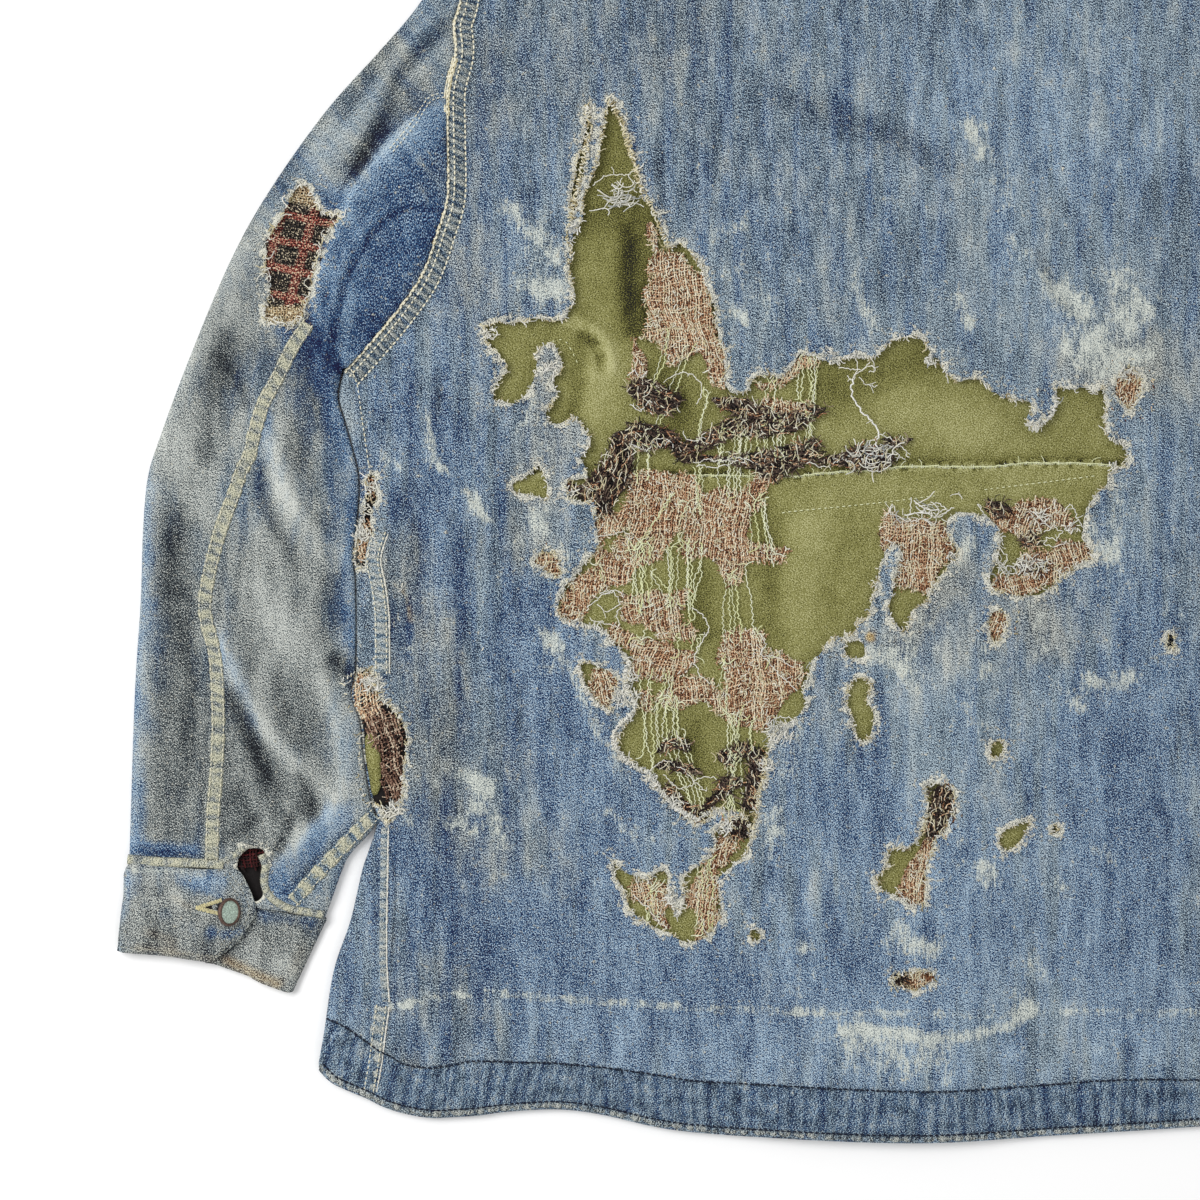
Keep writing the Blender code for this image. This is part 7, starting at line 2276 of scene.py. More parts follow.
LOOPED_EDGES = (
    (((-150, -112), (-153, -126), (-147, -142), (-157, -153), (-160, -162), (-151, -175), (-139, -181),
     (-134, -189), (-121, -203), (-109, -209)), 3.6, 1.0, 1.1),
    (((-181, -117), (-178, -128), (-171, -139), (-163, -144)), 3.4, 1.0, 1.0),
    (((-160, -103), (-168, -95), (-187, -92), (-194, -86)), 2.2, 1.6, 0.7),
    (((-109, -209), (-101, -204), (-94, -203)), 2.6, 1.2, 0.8),
    (((-127, -250), (-124, -262), (-121, -266), (-118, -256)), 2.6, 1.1, 0.8),
    (((-42, 70), (-34, 67), (-22, 68), (-6, 68)), 2.0, 1.5, 0.7),
    (((92, 25), (97, 28), (103, 34), (106, 42)), 2.4, 1.2, 0.8),
)


def make_lining():
    """Torn scraps of blanket cloth, a sheet and its raised yarns for each one, and its charcoal stripes."""
    found = {}
    for number, (node, outline) in enumerate(ROSE):
        region = ragged(outline, 1.3, 200 + number)
        ground = ragged(outline, 1.2, 250 + number) * 0.985 + np.mean(region, axis=0) * 0.015
        kept = found.setdefault(node, {"rose_cloth": [], "charcoal_cloth": [], "rose": [], "charcoal": [],
                                       "cream": []})
        kept["rose_cloth"].append(ground)
        turn = 0.22 * math.sin(number * 2.3 + 0.7)
        kept["rose"] += woven(region, turn, 300 + number, lining_height, (1.5, 0.95, 0.3, 1.0),
                              (1.9, 0.7, 0.1, 0.9), 0.05)
        area = area_of(region)
        kept["cream"] += tangle(region, int(area / 9), math.pi / 2, 0.8, 4.5, (0.4, 0.7), (0.3, 1.0),
                                640 + number, lining_height, 0.8, 0.9)
        white, cream = frayed(region, lining_height, 660 + number, 4.2, 0.9)
        for colour, ends in (("rose", white), ("cream", cream)):
            kept[colour] += [(np.asarray(points) + (0, 0, 0.4), size, tint) for points, size, tint in ends]
    for number, (node, width, path) in enumerate(CHARCOAL):
        region = ragged(ribbon(path, width)[::3], 0.9, 260 + number)
        kept = found[node]
        kept["charcoal_cloth"].append(region)
        angle = math.atan2(path[-1][1] - path[0][1], path[-1][0] - path[0][0])

        def raised(x, y):
            return lining_height(x, y) + 0.5

        wide = ragged(ribbon(path, [w * 1.1 + 0.8 for w in width])[::3], 1.1, 270 + number)
        area = area_of(wide)
        kept["charcoal"] += tangle(wide, int(area / 3.0), angle, 0.35, 8.0, (0.5, 0.95), (0.0, 0.75),
                                   700 + number,
                                   raised, 0.4, 0.8)
        kept["rose"] += tangle(wide, int(area / 16), angle, 0.4, 7.0, (0.5, 0.9), (0.2, 0.7), 720 + number,
                               raised, 0.5, 1.0)
        kept["cream"] += tangle(wide, int(area / 10), math.pi / 2, 0.5, 7.0, (0.35, 0.6), (0.2, 1.0),
                                770 + number,
                                raised, 0.4, 1.4)
    for node, kept in found.items():
        grounds = []
        for colour in ("rose_cloth", "charcoal_cloth"):
            if kept[colour]:
                drop = 0.75 if colour == "rose_cloth" else 0.2
                ground = scraps(f"{node}_{colour}", kept[colour],
                                lambda x, y, drop=drop: lining_height(x, y) - drop, FINISHES[colour])
                grounds.append(finish_piece(ground, [] if grounds else [node]))
        for colour in ("rose", "charcoal", "cream"):
            if kept[colour]:
                yarns(f"{node}_{colour}_yarn", kept[colour], FINISHES[colour])


def make_threads():
    """Pale warp threads left across the gaps, and white single threads and tangles."""
    draw = random.Random(77)
    runs = []
    for group in BRIDGES:
        for k in range(group["count"]):
            t = (k + 0.5) / group["count"] + draw.uniform(-0.45, 0.45)
            start = (group["x0"] + (group["x1"] - group["x0"]) * t, group["top"] + draw.uniform(-1, 4))
            end = (group["x2"] + (group["x3"] - group["x2"]) * t, group["bottom"] + draw.uniform(-4, 1))
            x, y = crinkled(start, end, draw, 1.25)
            s = np.linspace(0, 1, len(x))
            z = lining_height(x, y) + 1.2 - 1.0 * np.sin(s * math.pi)
            runs.append((np.column_stack([x, y, z]), draw.uniform(0.45, 0.8), draw.uniform(0.4, 1.0)))
            for spot, away in ((start, 1.57), (end, -1.57), (start, 0.6)):
                if draw.random() < 0.7:
                    z = float(lining_height(*spot)) + 1.2
                    runs.append((curly(spot, away + draw.gauss(0, 0.9), draw.uniform(3, 10), 0.6, draw, z),
                                 draw.uniform(0.5, 0.8), draw.uniform(0.3, 1.0)))
    yarns("bridging_threads", runs, FINISHES["straw"])
    runs = []
    for size, path in WHITE_THREADS:
        guide = curve(path, 5.0)
        x, y = (np.concatenate(parts) for parts in zip(*(crinkled(a, b, draw, 0.8) for a,
                                                         b in zip(guide, guide[1:]))))
        z = lining_height(x, y) + 1.7 + 0.3 * np.sin(np.arange(len(x)) * 0.7)
        runs.append((np.column_stack([x, y, z]), size * 1.25, draw.uniform(0.6, 1.0)))
        for _ in range(2):
            k = draw.randrange(len(x))
            runs.append((curly((x[k], y[k]), draw.uniform(0, 6.28), draw.uniform(3, 7), 0.6, draw, z[k]),
                         0.4,
                         draw.uniform(0.5, 1.0)))
    for x, y, reach, number, heading, spread, length, curl in KNOTS:
        round_it = np.array([(x + reach * math.cos(a), y + reach * 0.7 * math.sin(a))
                             for a in np.arange(0, math.tau, 0.5)])
        runs += tangle(round_it, number, heading, spread, length, (0.45, 0.9), (0.0, 1.0),
                       int(abs(x) * 7 + abs(y)),
                       lambda a, b: lining_height(a, b) + 1.0, curl, 1.2)
    yarns("single_threads", runs, FINISHES["white"])


def make_torn_edges(holes, side_holes, sleeve_holes):
    """White fray round every hole, and the bound, looped edges of the tall tear."""
    for group, outlines, top_of, seed in (("back", holes, body_top, 900),
                                          ("side", side_holes, body_top, 940),
                                          ("sleeve", sleeve_holes, sleeve_top, 960)):
        white, cream = [], []
        for number, outline in enumerate(outlines):
            size = 2.6 if len(outline) < 70 else 4.2 if group != "sleeve" else 6.0
            amount = 1.25 if group != "sleeve" else 1.9
            some_white, some_cream = frayed(outline, top_of, seed + number, size, amount)
            white += some_white
            cream += some_cream
        slot = "sleeve_denim" if group == "sleeve" else "denim"
        for colour, runs in (("white", white), ("cream", cream)):
            yarns(f"fray_{colour}_{group}", runs, FINISHES[colour])
    runs = []
    for path, width, spacing, lift in TEAR_EDGES:
        runs += bound_edge(curve(path, 1.5), body_top, int(abs(path[0][0]) * 3), width, spacing, lift)
    yarns("tear_bound_edges", runs, FINISHES["cream"])
    runs = []
    for path, width, spacing, lift in LOOPED_EDGES:
        runs += bound_edge(curve(path, 1.5), body_top, int(abs(path[0][0]) * 3), width, spacing, lift)
        runs += bound_edge(curve(path, 1.5), body_top, int(abs(path[0][0]) * 5), width * 0.7,
                           spacing * 1.4, lift * 1.4)
    yarns("looped_edges", runs, FINISHES["white"])


def corded(name, paths, top, lift, finish, thick, seed=1):
    """Thick worn cords along paths on a surface: a turned edge rubbed to its white yarn."""
    draw = random.Random(seed)
    runs = []
    for path in paths:
        path = evenly(path, max(4, int(length_of(path) / 1.3)))
        jitter = np.array([(draw.uniform(-0.25, 0.25), draw.uniform(-0.25, 0.25)) for _ in path])
        runs.append((laid_on(path + jitter, top, lift), thick, draw.uniform(0.5, 0.9)))
        runs += bound_edge(path, lambda x, y: top(x, y) + lift - 0.4, int(seed * 31 + abs(path[0][0])),
                           thick * 1.5, 1.1,
                           thick * 0.35)
    return grown(name, runs, THREADS, finish, Thickness=MM, Sides=4.0)


# The turned edge of the back's side seam, where it shows
SIDE_EDGE = ((-295.3, -38), (-299.5, -53), (-296.6, -69), (-294.5, -88), (-294.2, -121))

SIDE_CORD = ((-295, -214), (-295.5, -250), (-296, -290), (-294.5, -318))

SIDE_LOW = ((-294.5, -322), (-297, -340), (-299, -356), (-302, -372))


def make_seams():
    """Felled seams and the hem: raised worn bands, each with its rows of stitches."""
    for side, word, mirror in ((-1, "left", np.ones(2)), (1, "right", FLIP)):
        arm = RUNS["armhole"] * mirror
        sleeve_of = sleeve_top if side < 0 else right_sleeve_top
        finish_piece(seam_band(f"armhole_seam_{word}", beside(arm, 6.0 * side), 11.6, body_top, 0.9,
                               FINISHES["band"], pucker=0.9, period=2.7, step=0.8, seed=11 + side,
                               lean=3.0))
        rows = [beside(arm, side * d) for d in (0.9, 4.4, 11.2)]
        finish_piece(sewn(f"armhole_stitches_{word}", rows, body_top, 1.25, FINISHES["cream"], 3.2, 1.3,
                          0.6))
        high = arm[(arm[:, 1] > 212) & (arm[:, 1] < 250)]
        finish_piece(corded(f"armhole_edge_{word}",
                            [beside(arm, 0.2 * side), beside(high, 1.6 * side),
                             beside(high, -0.8 * side)], body_top, 0.7, FINISHES["cream"], 0.9, 5))

        for number, (path, width, period) in enumerate(((SIDE_EDGE, 9.4, 2.7), (SIDE_CORD, 4.6, 3.0),
                                                        (SIDE_LOW, 9.4, 3.6))):
            edge = curve(path, 2.0) * mirror
            centre = beside(edge, width / 2 * side)
            finish_piece(seam_band(f"side_seam_{word}_{number + 1}", centre, width, body_top, 0.8,
                                   FINISHES["side_band"], pucker=0.4, period=period, seed=31 + number))
        edges = [curve(path, 2.0) * mirror for path in (SIDE_EDGE, SIDE_CORD, SIDE_LOW)]
        rows = [beside(edges[0], 1.8 * side), beside(edges[0], 8.2 * side), beside(edges[2], 2 * side),
                beside(edges[2], 7.6 * side), curve(((-320, 66), (-314, 53), (-311, 33), (-306, -1)),
                                                    2.0) * mirror]
        finish_piece(sewn(f"side_stitches_{word}", rows, body_top, 1.15, FINISHES["cream"]))
        finish_piece(corded(f"side_edge_{word}", edges, body_top, 0.7, FINISHES["white"], 0.6, 6))

        elbow = RUNS["elbow"] * mirror
        finish_piece(seam_band(f"elbow_seam_{word}", elbow, 9.4, sleeve_of, 0.8, FINISHES["sleeve_band"],
                               pucker=0.3, period=4.6, seed=41))
        inner = RUNS["inner_seam"] * mirror
        finish_piece(seam_band(f"inner_seam_{word}", inner, 9.6, sleeve_of, 0.9, FINISHES["inner_band"],
                               pucker=0.7, period=5.2, step=0.9, seed=43))
        top_run = RUNS["elbow_top"][:18] * mirror
        rows = [beside(elbow, 3.3), beside(elbow, -3.3), beside(inner, 3.2), beside(inner, -3.2),
                beside(top_run, 1.8), beside(top_run, 4.4)]
        finish_piece(sewn(f"sleeve_stitches_{word}", rows, sleeve_of, 1.15, FINISHES["cream"], 3.0, 1.1,
                          0.36))

    top, edge = RUNS["hem_top"], RUNS["hem"]
    finish_piece(strip("hem_band", top, edge, body_top, 0.9, FINISHES["hem"], pucker=0.8, period=4.0,
                       across_count=12, step=1.2, seed=51, lean=6.0))
    rows = [beside(top, -0.9), beside(edge, 4.8)]
    finish_piece(sewn("hem_stitches", rows, body_top, 1.35, FINISHES["navy"], 3.4, 1.6, 0.65, 0.3))


def cuff_height(x, y, level, side):
    mirror = -side * np.asarray(x, float)
    z = level + 0.5 * wander(mirror, y, 36, 12) + 0.2 * wander(mirror, y, 12, 13)
    left = nearest(mirror, y, ((-451.5, -236.5), (-454.5, -256), (-457.6, -284), (-457.6, -289)))[0]
    right = nearest(mirror, y, ((-332.5, -268.5), (-335, -275), (-343, -292), (-353, -313)))[0]
    dip = np.clip(np.minimum(left, right) / 4.0, 0, 1)
    middle = (level + 1.2) / 2
    return middle + (z - middle) * np.sqrt(np.maximum(0, 1 - (1 - dip) ** 2))


def make_cuff(side):
    """A doubled cuff band: the button end, and the pointed end that laps it."""
    word = "left" if side < 0 else "right"
    mirror = FLIP if side > 0 else np.ones(2)
    over = curve(CUFF_OVER, 2.4, closed=True)
    under = curve(CUFF_UNDER, 2.4, closed=True)
    tone_strokes = CUFF_WEAR_AND_SHADE if side < 0 else mirrored(CUFF_WEAR_AND_SHADE)
    parts = []
    for outline, level, flip in ((over, CUFF_OVER_TOP, False), (under, CUFF_UNDER_TOP, False),
                                 (over, 1.2, True),
                                 (under, 1.2, True)):
        placed = outline[::-1] * mirror if side < 0 else outline * mirror
        flat, faces, _ = layer(placed, 3.0)
        if flip:
            z = 1.2 + (cuff_height(flat[:, 0], flat[:, 1], 7.0, side) < 6.0) * 0.9
        else:
            z = cuff_height(flat[:, 0], flat[:, 1], level, side)
        parts.append((np.column_stack([flat, z]), faces[:, ::-1] if flip else faces))
    points, faces = joined_layers(*parts)
    mesh = mesh_from(f"cuff_{word}", points, faces)
    set_strokes_and_shade(mesh, tone_strokes, (), straight_grain, lambda x, y: np.zeros(np.shape(x)))
    cloth_piece(f"cuff_{word}_cloth", mesh, FINISHES["cuff"], 1.1, [f"cuff_{word}"])

    def over_top(x, y):
        return cuff_height(x, y, CUFF_OVER_TOP, side)

    seam = curve(((-451.5, -233), (-435, -234.5), (-420, -235), (-405, -235.6), (-394, -236.4)),
                 2.0) * mirror
    top_of = sleeve_top if side < 0 else right_sleeve_top
    finish_piece(seam_band(f"cuff_seam_{word}", seam, 6.0, lambda x, y: np.maximum(top_of(x, y), 6.8),
                           1.3, FINISHES["cuff_band"], pucker=0.4, period=8.0, seed=61))
    roll = curve(((-396, -235), (-392, -233), (-388, -231), (-384, -228), (-381, -226)), 1.5) * mirror
    finish_piece(seam_band(f"opening_edge_{word}", roll, 3.6, lambda x, y: np.maximum(top_of(x, y), 7.2),
                           1.2, FINISHES["cuff_band"], pucker=0.3, period=3.0, across_count=6, step=1.0,
                           seed=62))
    roll = curve(((-371, -230), (-368.5, -237), (-369.5, -245), (-368, -252), (-363, -258),
                  (-354.5, -262.5),
                  (-345, -264.5), (-333.5, -266.5)), 1.5) * mirror
    finish_piece(seam_band(f"opening_roll_{word}", roll, 5.0, lambda x, y: np.maximum(top_of(x, y), 5.6),
                           1.8, FINISHES["cuff_band"], pucker=0.5, period=4.0, across_count=7, step=1.2,
                           seed=63))
    point = curve(((-390, -241.5), (-385, -248), (-380.5, -256), (-378.5, -262), (-379.5, -268),
                   (-384, -275.5),
                   (-391, -284.5), (-398, -291)), 2.0) * mirror
    far = curve(((-393, -242.5), (-388, -250), (-384, -257), (-382.5, -262), (-383.5, -268), (-388, -275),
                 (-395, -284)), 2.0) * mirror
    rows = [point, far, curve(((-398, -291), (-412, -290), (-440, -286.8), (-455, -285.5)), 2.0) * mirror]
    finish_piece(sewn(f"cuff_stitches_{word}", rows, over_top, 0.25, FINISHES["cuff_thread"], 2.8, 1.0,
                      0.26))
    hole = []
    draw = random.Random(71)
    for ends in (((-410, -262), (-395, -257.4)), ((-410, -262), (-394, -266))):
        (ax, ay), (bx, by) = ends
        for k in range(22):
            t = k / 21
            x, y = ax + (bx - ax) * t, ay + (by - ay) * t
            heading = math.atan2(by - ay, bx - ax) + math.pi / 2 + draw.gauss(0, 0.2)
            half = 0.9 + 0.5 * draw.random()
            z = float(over_top(side * -x, y)) + 0.3
            hole.append(([(side * -(x - math.cos(heading) * half), y - math.sin(heading) * half, z),
                          (side * -x, y, z + 0.6),
                          (side * -(x + math.cos(heading) * half), y + math.sin(heading) * half, z)],
                         0.7, draw.uniform(0.3, 0.9)))
    yarns(f"buttonhole_{word}", hole, FINISHES["buttonhole"])
    # A near-black sliver of painted shade in the buttonhole's slit.
    slit = np.array(((-407, -262), (-396, -259.4), (-395, -263.6))) * mirror
    z = over_top(slit[:, 0], slit[:, 1]) + 0.12
    mesh = bpy.data.meshes.new(f"buttonhole_slit_{word}")
    order = (0, 2, 1) if side < 0 else (0, 1, 2)
    mesh.from_pydata((np.column_stack([slit, z]) * MM).tolist(), [], [order])
    cloth_piece(f"buttonhole_slit_{word}", mesh, FINISHES["shadow"], 0.3)


def turned(name, profile, segments, place, tilt, finish):
    """A turned piece from (radius, height) pairs down its outer side, set at a place with a lean."""
    rings = []
    cos, sin = math.cos(tilt), math.sin(tilt)
    for radius, height in profile:
        ring = []
        for k in range(segments if radius > 0.01 else 1):
            a = math.tau * k / segments
            x, y, z = radius * math.cos(a), radius * math.sin(a), height
            ring.append((place[0] + x * cos + z * sin, place[1] + y, place[2] - x * sin + z * cos))
        rings.append(ring)
    points = [p for ring in rings for p in ring]
    starts = np.cumsum([0] + [len(r) for r in rings])
    faces = []
    for i in range(len(rings) - 1):
        a, b = starts[i], starts[i + 1]
        for k in range(segments):
            n = (k + 1) % segments
            if len(rings[i]) == 1:
                faces.append((a, b + k, b + n))
            elif len(rings[i + 1]) == 1:
                faces.append((a + k, b, a + n))
            else:
                faces.append((a + k, b + k, b + n, a + n))
    mesh = bpy.data.meshes.new(name)
    mesh.from_pydata((np.array(points) * MM).tolist(), [], faces)
    mesh.shade_smooth()
    return add_piece(name, mesh, finish)


def make_buttons():
    """Cuff buttons with a dark rim and a speckled face; the flat row under the fronts keeps its solids."""
    face = ((0.0, 3.3), (5.6, 3.2), (6.7, 3.1), (6.9, 2.9))
    rim = ((6.8, 2.6), (7.0, 3.5), (7.7, 3.7), (8.4, 3.3), (8.6, 2.6), (8.4, 1.5), (7.4, 0.7), (2.6, 0.4),
           (2.4, -3.0), (0.0, -3.2))
    for side, word in ((-1, "left"), (1, "right")):
        place = (side * 391.5, -264.0, 12.4)
        tilt = -side * math.radians(49.0)
        finish_piece(turned(f"cuff_button_{word}_rim", rim, 40, place, tilt, FINISHES["button_rim"]),
                     [f"cuff_button_{word}"])
        finish_piece(turned(f"cuff_button_{word}_face", face, 40, place, tilt, FINISHES["button_face"]))
    for name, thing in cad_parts.items():
        if name.startswith("front_button"):
            thing.data.materials.clear()
            thing.data.materials.append(FINISHES["brass"])


def make_collar():
    """The stand from the neck seam to the fold, and the fall turned back over it."""
    stations = [(-1, s) for s in reversed(COLLAR)] + [(1, s) for s in COLLAR[1:]]
    lines = {}
    for key in ("seam", "fold", "edge"):
        path = [(sign * s[key][0], s[key][1], s[key][2]) for sign, s in stations]
        dense = []
        for i in range(len(path) - 1):
            a = np.array(path[i - 1] if i else path[i])
            b, c = np.array(path[i]), np.array(path[i + 1])
            d = np.array(path[i + 2] if i + 2 < len(path) else path[i + 1])
            for t in np.arange(10) / 10:
                dense.append(0.5 * (2 * b + (c - a) * t + (2 * a - 5 * b + 4 * c - d) * t * t
                                    + (3 * b - a - 3 * c + d) * t ** 3))
        dense.append(np.array(path[-1]))
        lines[key] = np.array(dense)
    rows = []
    for seam, fold, edge in zip(lines["seam"], lines["fold"], lines["edge"]):
        stand_end = fold + (seam - fold) / max(1e-6, np.linalg.norm(seam - fold)) * 2.4
        fall_start = fold + (edge - fold) / max(1e-6, np.linalg.norm(edge - fold)) * 2.4
        stand_end[2], fall_start[2] = seam[2] - 0.4, edge[2]
        row = [seam * (1 - t) + stand_end * t for t in (0.0, 0.5, 1.0)]
        row.append((stand_end + fall_start) / 2 + (fold - (stand_end + fall_start) / 2) * 1.0)
        row += [fall_start * (1 - t) + edge * t for t in np.linspace(0, 1, 22)]
        rows.append(row)
    grid = np.array(rows)
    height, width = grid.shape[:2]
    x, y = grid[..., 0], grid[..., 1]
    grid[..., 2] = np.maximum(grid[..., 2] + 0.35 * wander(x, y, 40, 15) * (grid[..., 2] > 4), 0.6)
    faces = []
    for i in range(height - 1):
        for j in range(width - 1):
            a = i * width + j
            faces.append((a, a + 1, a + width + 1, a + width))
    mesh = bpy.data.meshes.new("collar")
    mesh.from_pydata((grid.reshape(-1, 3) * MM).tolist(), [], faces)
    mesh.update()
    probe = mesh.polygons[(height // 2) * (width - 1) + width - 4]
    if probe.normal.z < 0:
        mesh.flip_normals()
    mesh.shade_smooth()
    tone_strokes = (("stain", 0.4, 20, ((-100, 380), (0, 400), (100, 380))),
            ("bleach", 0.55, 3, ((-92, 384), (-50, 397), (0, 402), (50, 397), (92, 384))),
            ("pale", 0.10, 16, ((-80, 350), (0, 352), (80, 350))))
    set_strokes_and_shade(mesh, tone_strokes, (), straight_grain, lambda a, b: np.zeros(np.shape(a)))
    cloth_piece("collar_cloth", mesh, FINISHES["denim"], 1.2, ["collar"])
    edge = grid[:, -3, :2]
    second = grid[:, -4, :2]
    half = height // 2
    level = grid[:, -3, 2].max()
    upper = slice(half - 42, half + 43)
    rows = [edge[upper], second[upper]]
    finish_piece(sewn("collar_stitches", rows, lambda a, b: np.full(np.shape(a), level), 0.5,
                      FINISHES["cream"]))


def make_hidden_linings():
    """Blanket lining inside the sleeve and the sides, where the holes show it, and near-black sheets of
    painted shade inside the side holes and the cuff opening.
    """
    region = curve(((-356, 176), (-330, 166), (-318, 150), (-332, 112), (-340, 86), (-374, 84), (-378, 126),
                    (-366, 152)), 3.0, closed=True)
    runs = woven(region, -0.17, 501, lambda x, y: sleeve_top(x, y) - 2.3, (1.5, 1.0, 0.1, 0.3),
                 (1.5, 1.05, 0.7, 0.9),
                 0.0, 1.0)
    yarns("sleeve_plaid", runs, FINISHES["plaid"], ["lining_sleeve"])
    for name, outline, top_of, nodes in (
            ("sleeve_plaid_ground", region, sleeve_top, []),
            ("side_upper_ground", curve(((-310, 0), (-296, 0), (-291, -30), (-294, -62), (-310, -62)),
                                        3.0, True),
             body_top, ["lining_side_upper"]),
            ("side_lower_ground", curve(((-311, -112), (-284, -116), (-280, -160), (-280, -204),
                                         (-292, -218),
                                         (-303, -206)), 3.0, True), body_top, ["lining_side_lower"])):
        # The side grounds are near-black sheets of painted shade inside the side holes.
        finish_piece(scraps(name, [outline], lambda x, y,
                            top_of=top_of: np.maximum(top_of(x, y) - 3.2, 1.4),
                            FINISHES["shadow" if nodes else "charcoal_cloth"]), nodes)
    for name, outline, colour, shade in (
            ("side_upper_lining", ((-307, -4), (-303.5, -5), (-303.5, -16), (-307, -18)), "rose",
             (0.3, 1.0)),
            ("side_upper_lining_low", ((-313, -31), (-306, -31), (-304.5, -42), (-308, -54),
                                       (-313.5, -52)), "rose",
             (0.4, 1.0)),
            ("side_lower_lining", ((-309, -142), (-291, -146), (-286, -162), (-286, -196), (-293, -199),
                                   (-299, -190),
                                   (-300, -168), (-306, -162)), "side", (0.1, 1.0)),
            ("side_lower_top", ((-316, -122), (-303, -122), (-298, -136), (-303, -146), (-311, -148),
                                (-316, -136)),
             "rose", (0.5, 1.0))):
        region = ragged(outline, 0.7, 520)
        runs = woven(region, 0.35, 521, lambda x, y: body_top(x, y) - 1.9, (1.8, 1.2, *shade),
                     (2.2, 0.8, *shade),
                     0.03, 2.0)
        runs += tangle(region, int(area_of(region) / 8), 1.6, 0.7, 4.0, (0.4, 0.8), (0.3, 1.0), 523,
                       lambda x, y: body_top(x, y) - 1.9)
        yarns(name, runs, FINISHES[colour])
    leaf = curve(((-309, -160), (-301, -162), (-300, -190), (-306, -192)), 2.0, True)
    finish_piece(scraps("side_olive_sliver", [leaf], lambda x, y: body_top(x, y) - 2.0,
                        FINISHES["olive"]))
    # A near-black sheet of painted shade inside the cuff opening.
    region = curve(((-392, -220), (-364, -220), (-362, -250), (-372, -266), (-392, -250)), 3.0, closed=True)
    finish_piece(scraps("cuff_opening_inside", [region], lambda x, y: np.full(np.shape(x), 2.4),
                        FINISHES["shadow"]), ["lining_cuff"])
    region = curve(((-388, -222), (-366, -222), (-366, -236), (-384, -238)), 3.0, closed=True)
    runs = woven(region, 0.1, 531, lambda x, y: np.full(np.shape(x), 4.4), (1.9, 1.2, 0.0, 0.9),
                 (1.9, 0.9, 0.0, 0.7), 0.0, 1.0)
    yarns("cuff_opening_lining", runs, FINISHES["maroon"])


def plaid_finish():
    """Red and black check with cream flecks; the weft carries the rows and the warp the columns."""
    material, shader, start = new_finish("plaid blanket", 0.95, 0.1)
    place = start.room()
    across, along = place.part(0), place.part(1)
    speck = place.noise(0.8, 0.9, 2.0, 0.0)
    edge = (speck - 0.5) * 1.2
    row = ((along + across * 0.22 - 145.0 + 352.0 * 0.22) * (math.tau / 16.5)).maths("COSINE")
    column = ((across - along * 0.27 + 352.0 + 145.0 * 0.27) * (math.tau / 19.0)).maths("COSINE")
    both = (row + edge + 0.72).clipped(-0.1, 0.25) * (column + edge + 0.62).clipped(-0.1, 0.25)
    either = (row + edge + 0.60).clipped(-0.1, 0.25) * 0.30
    black = (both + either).clipped()
    low = (99.0 - along + edge * 5.0).clipped(-1.5, 1.5)
    high = (along - 161.0 + across * 0.2 + 352.0 * 0.2 + edge * 5.0).clipped(-2.0, 2.0)
    tint = (speck - 0.5) * 3.2 + start.value("shade") * 0.35 + 0.30
    coal = (tint - 0.16).ramp(shades((10, 6, 8), (22, 15, 18), (44, 34, 36), (120, 104, 92),
                                     (236, 222, 190)))
    warm = tint.ramp(shades((58, 18, 18), (130, 46, 42), (172, 76, 68), (214, 148, 126), (240, 214, 180)))
    pale = tint.ramp(shades((120, 92, 70), (182, 152, 112), (216, 192, 146), (238, 220, 178),
                            (248, 238, 210)))
    colour = warm.mix(black, coal).mix((low + high * 0.8).clipped(), pale)
    return coloured(material, shader, colour, speck, 0.2)


FINISHES["plaid"] = plaid_finish()
FINISHES["side"] = yarn_finish("dark rose blanket yarn", shades((22, 14, 14), (70, 48, 42), (122, 88, 74),
                                                                (186, 150, 126), (236, 222, 196)), 1.0, 0.8)
FINISHES["cuff_band"] = band_finish("cuff seam", STAINED, KHAKI, 0.74, 0.9, -0.12)
FINISHES["cuff_thread"] = plain_finish("tan thread", (0.34, 0.33, 0.27), 0.3, 0.9)
FINISHES["buttonhole"] = plain_finish("buttonhole thread", (0.66, 0.60, 0.34), 0.25, 0.9)
# Near-black painted shade, for the sheets inside openings.
FINISHES["shadow"] = plain_finish("dark inside", (0.012, 0.010, 0.010), 0.3, 1.0)
FINISHES["maroon"] = yarn_finish("maroon yarn",
                                 shades((20, 6, 8), (56, 18, 22), (96, 38, 40), (140, 84, 80)))
FINISHES["button_rim"] = plain_finish("worn button rim", (0.12, 0.075, 0.060), 0.4, 0.45, 1.2, 0.5, 2.2)
FINISHES["button_face"] = plain_finish("speckled button face", (0.42, 0.52, 0.44), 0.55, 0.5, 0.9, 0.1, 1.9)
FINISHES["brass"] = plain_finish("dull brass", (0.28, 0.22, 0.12), 0.3, 0.42, 1.5, 0.9)


body_holes, side_holes = make_body()
sleeve_holes = make_sleeve(-1)
make_sleeve(1)
make_patches()
make_lining()
make_threads()
make_hidden_linings()
make_seams()
for side in (-1, 1):
    make_cuff(side)
make_buttons()
make_collar()
make_torn_edges(list(body_holes.values()), list(side_holes.values()), sleeve_holes[:1])


# ---------------------------------------------------------------- stage

# Camera straight above: lens and sensor in mm, then half the view's width and its centre in metres
CAMERA_LENS = 100.0
CAMERA_SENSOR = 36.0
HALF_VIEW = 0.36
VIEW_CENTRE = (-0.168, -0.0774)

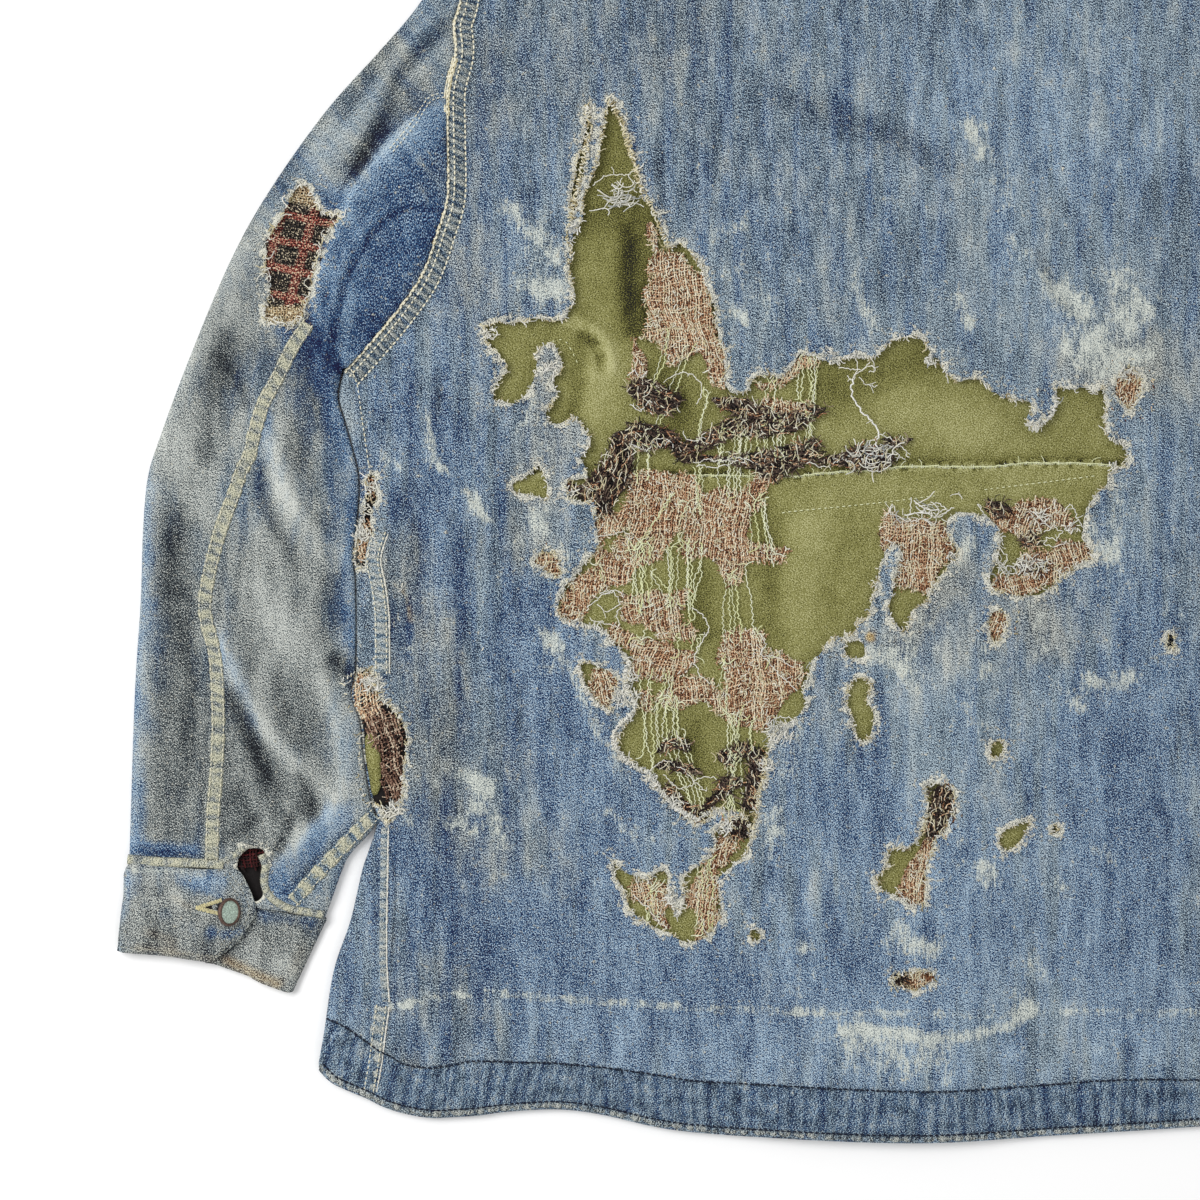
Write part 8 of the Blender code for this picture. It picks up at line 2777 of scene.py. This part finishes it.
# The place on the floor that both lights face
LIGHTS_AIM = Vector((-0.15, -0.05, 0.0))


def declare_sheets():
    """Picks out the scraps of cloth and the node each belongs to, and keeps nothing of it."""
    scraps_left = [name for name in MADE if name.endswith(("rose_cloth", "charcoal_cloth", "_ground",
                                                           "_sliver",
                                                          "opening_inside"))]
    for name in scraps_left:
        node = name.rsplit("_", 2)[0]
        name.endswith("rose_cloth") or f"{node}_rose_cloth" not in MADE


def make_stage():
    floor = bpy.data.meshes.new("floor")
    floor.from_pydata([(-3, -3, 0), (3, -3, 0), (3, 3, 0), (-3, 3, 0)], [], [(0, 1, 2, 3)])
    material = bpy.data.materials.new("studio floor")
    material.use_nodes = True
    shader = material.node_tree.nodes["Principled BSDF"]
    shader.inputs["Base Color"].default_value = (0.93, 0.93, 0.93, 1.0)
    shader.inputs["Roughness"].default_value = 0.9
    thing = add_piece("studio_floor", floor, material)
    scene = bpy.context.scene
    scene.view_settings.view_transform = "Standard"
    world = bpy.data.worlds.new("studio")
    scene.world = world
    world.use_nodes = True
    world.node_tree.nodes["Background"].inputs["Color"].default_value = (1.0, 1.0, 1.0, 1.0)
    world.node_tree.nodes["Background"].inputs["Strength"].default_value = 0.62
    for name, place, size, power in (("key", (-1.5, 0.5, 1.7), 1.2, 34.0),
                                     ("fill", (1.2, -1.4, 1.9), 1.6, 9.0)):
        data = bpy.data.lights.new(name, "AREA")
        data.size = size
        data.energy = power
        light = bpy.data.objects.new(name, data)
        light.location = place
        light.rotation_euler = (LIGHTS_AIM - Vector(place)).to_track_quat("-Z", "Y").to_euler()
        scene.collection.objects.link(light)
    data = bpy.data.cameras.new("camera")
    data.lens = CAMERA_LENS
    data.sensor_width = CAMERA_SENSOR
    camera = bpy.data.objects.new("camera", data)
    distance = HALF_VIEW * CAMERA_LENS / (CAMERA_SENSOR / 2)
    camera.location = (*VIEW_CENTRE, BODY_TOP * MM + distance)
    scene.collection.objects.link(camera)
    scene.camera = camera


declare_sheets()
make_stage()
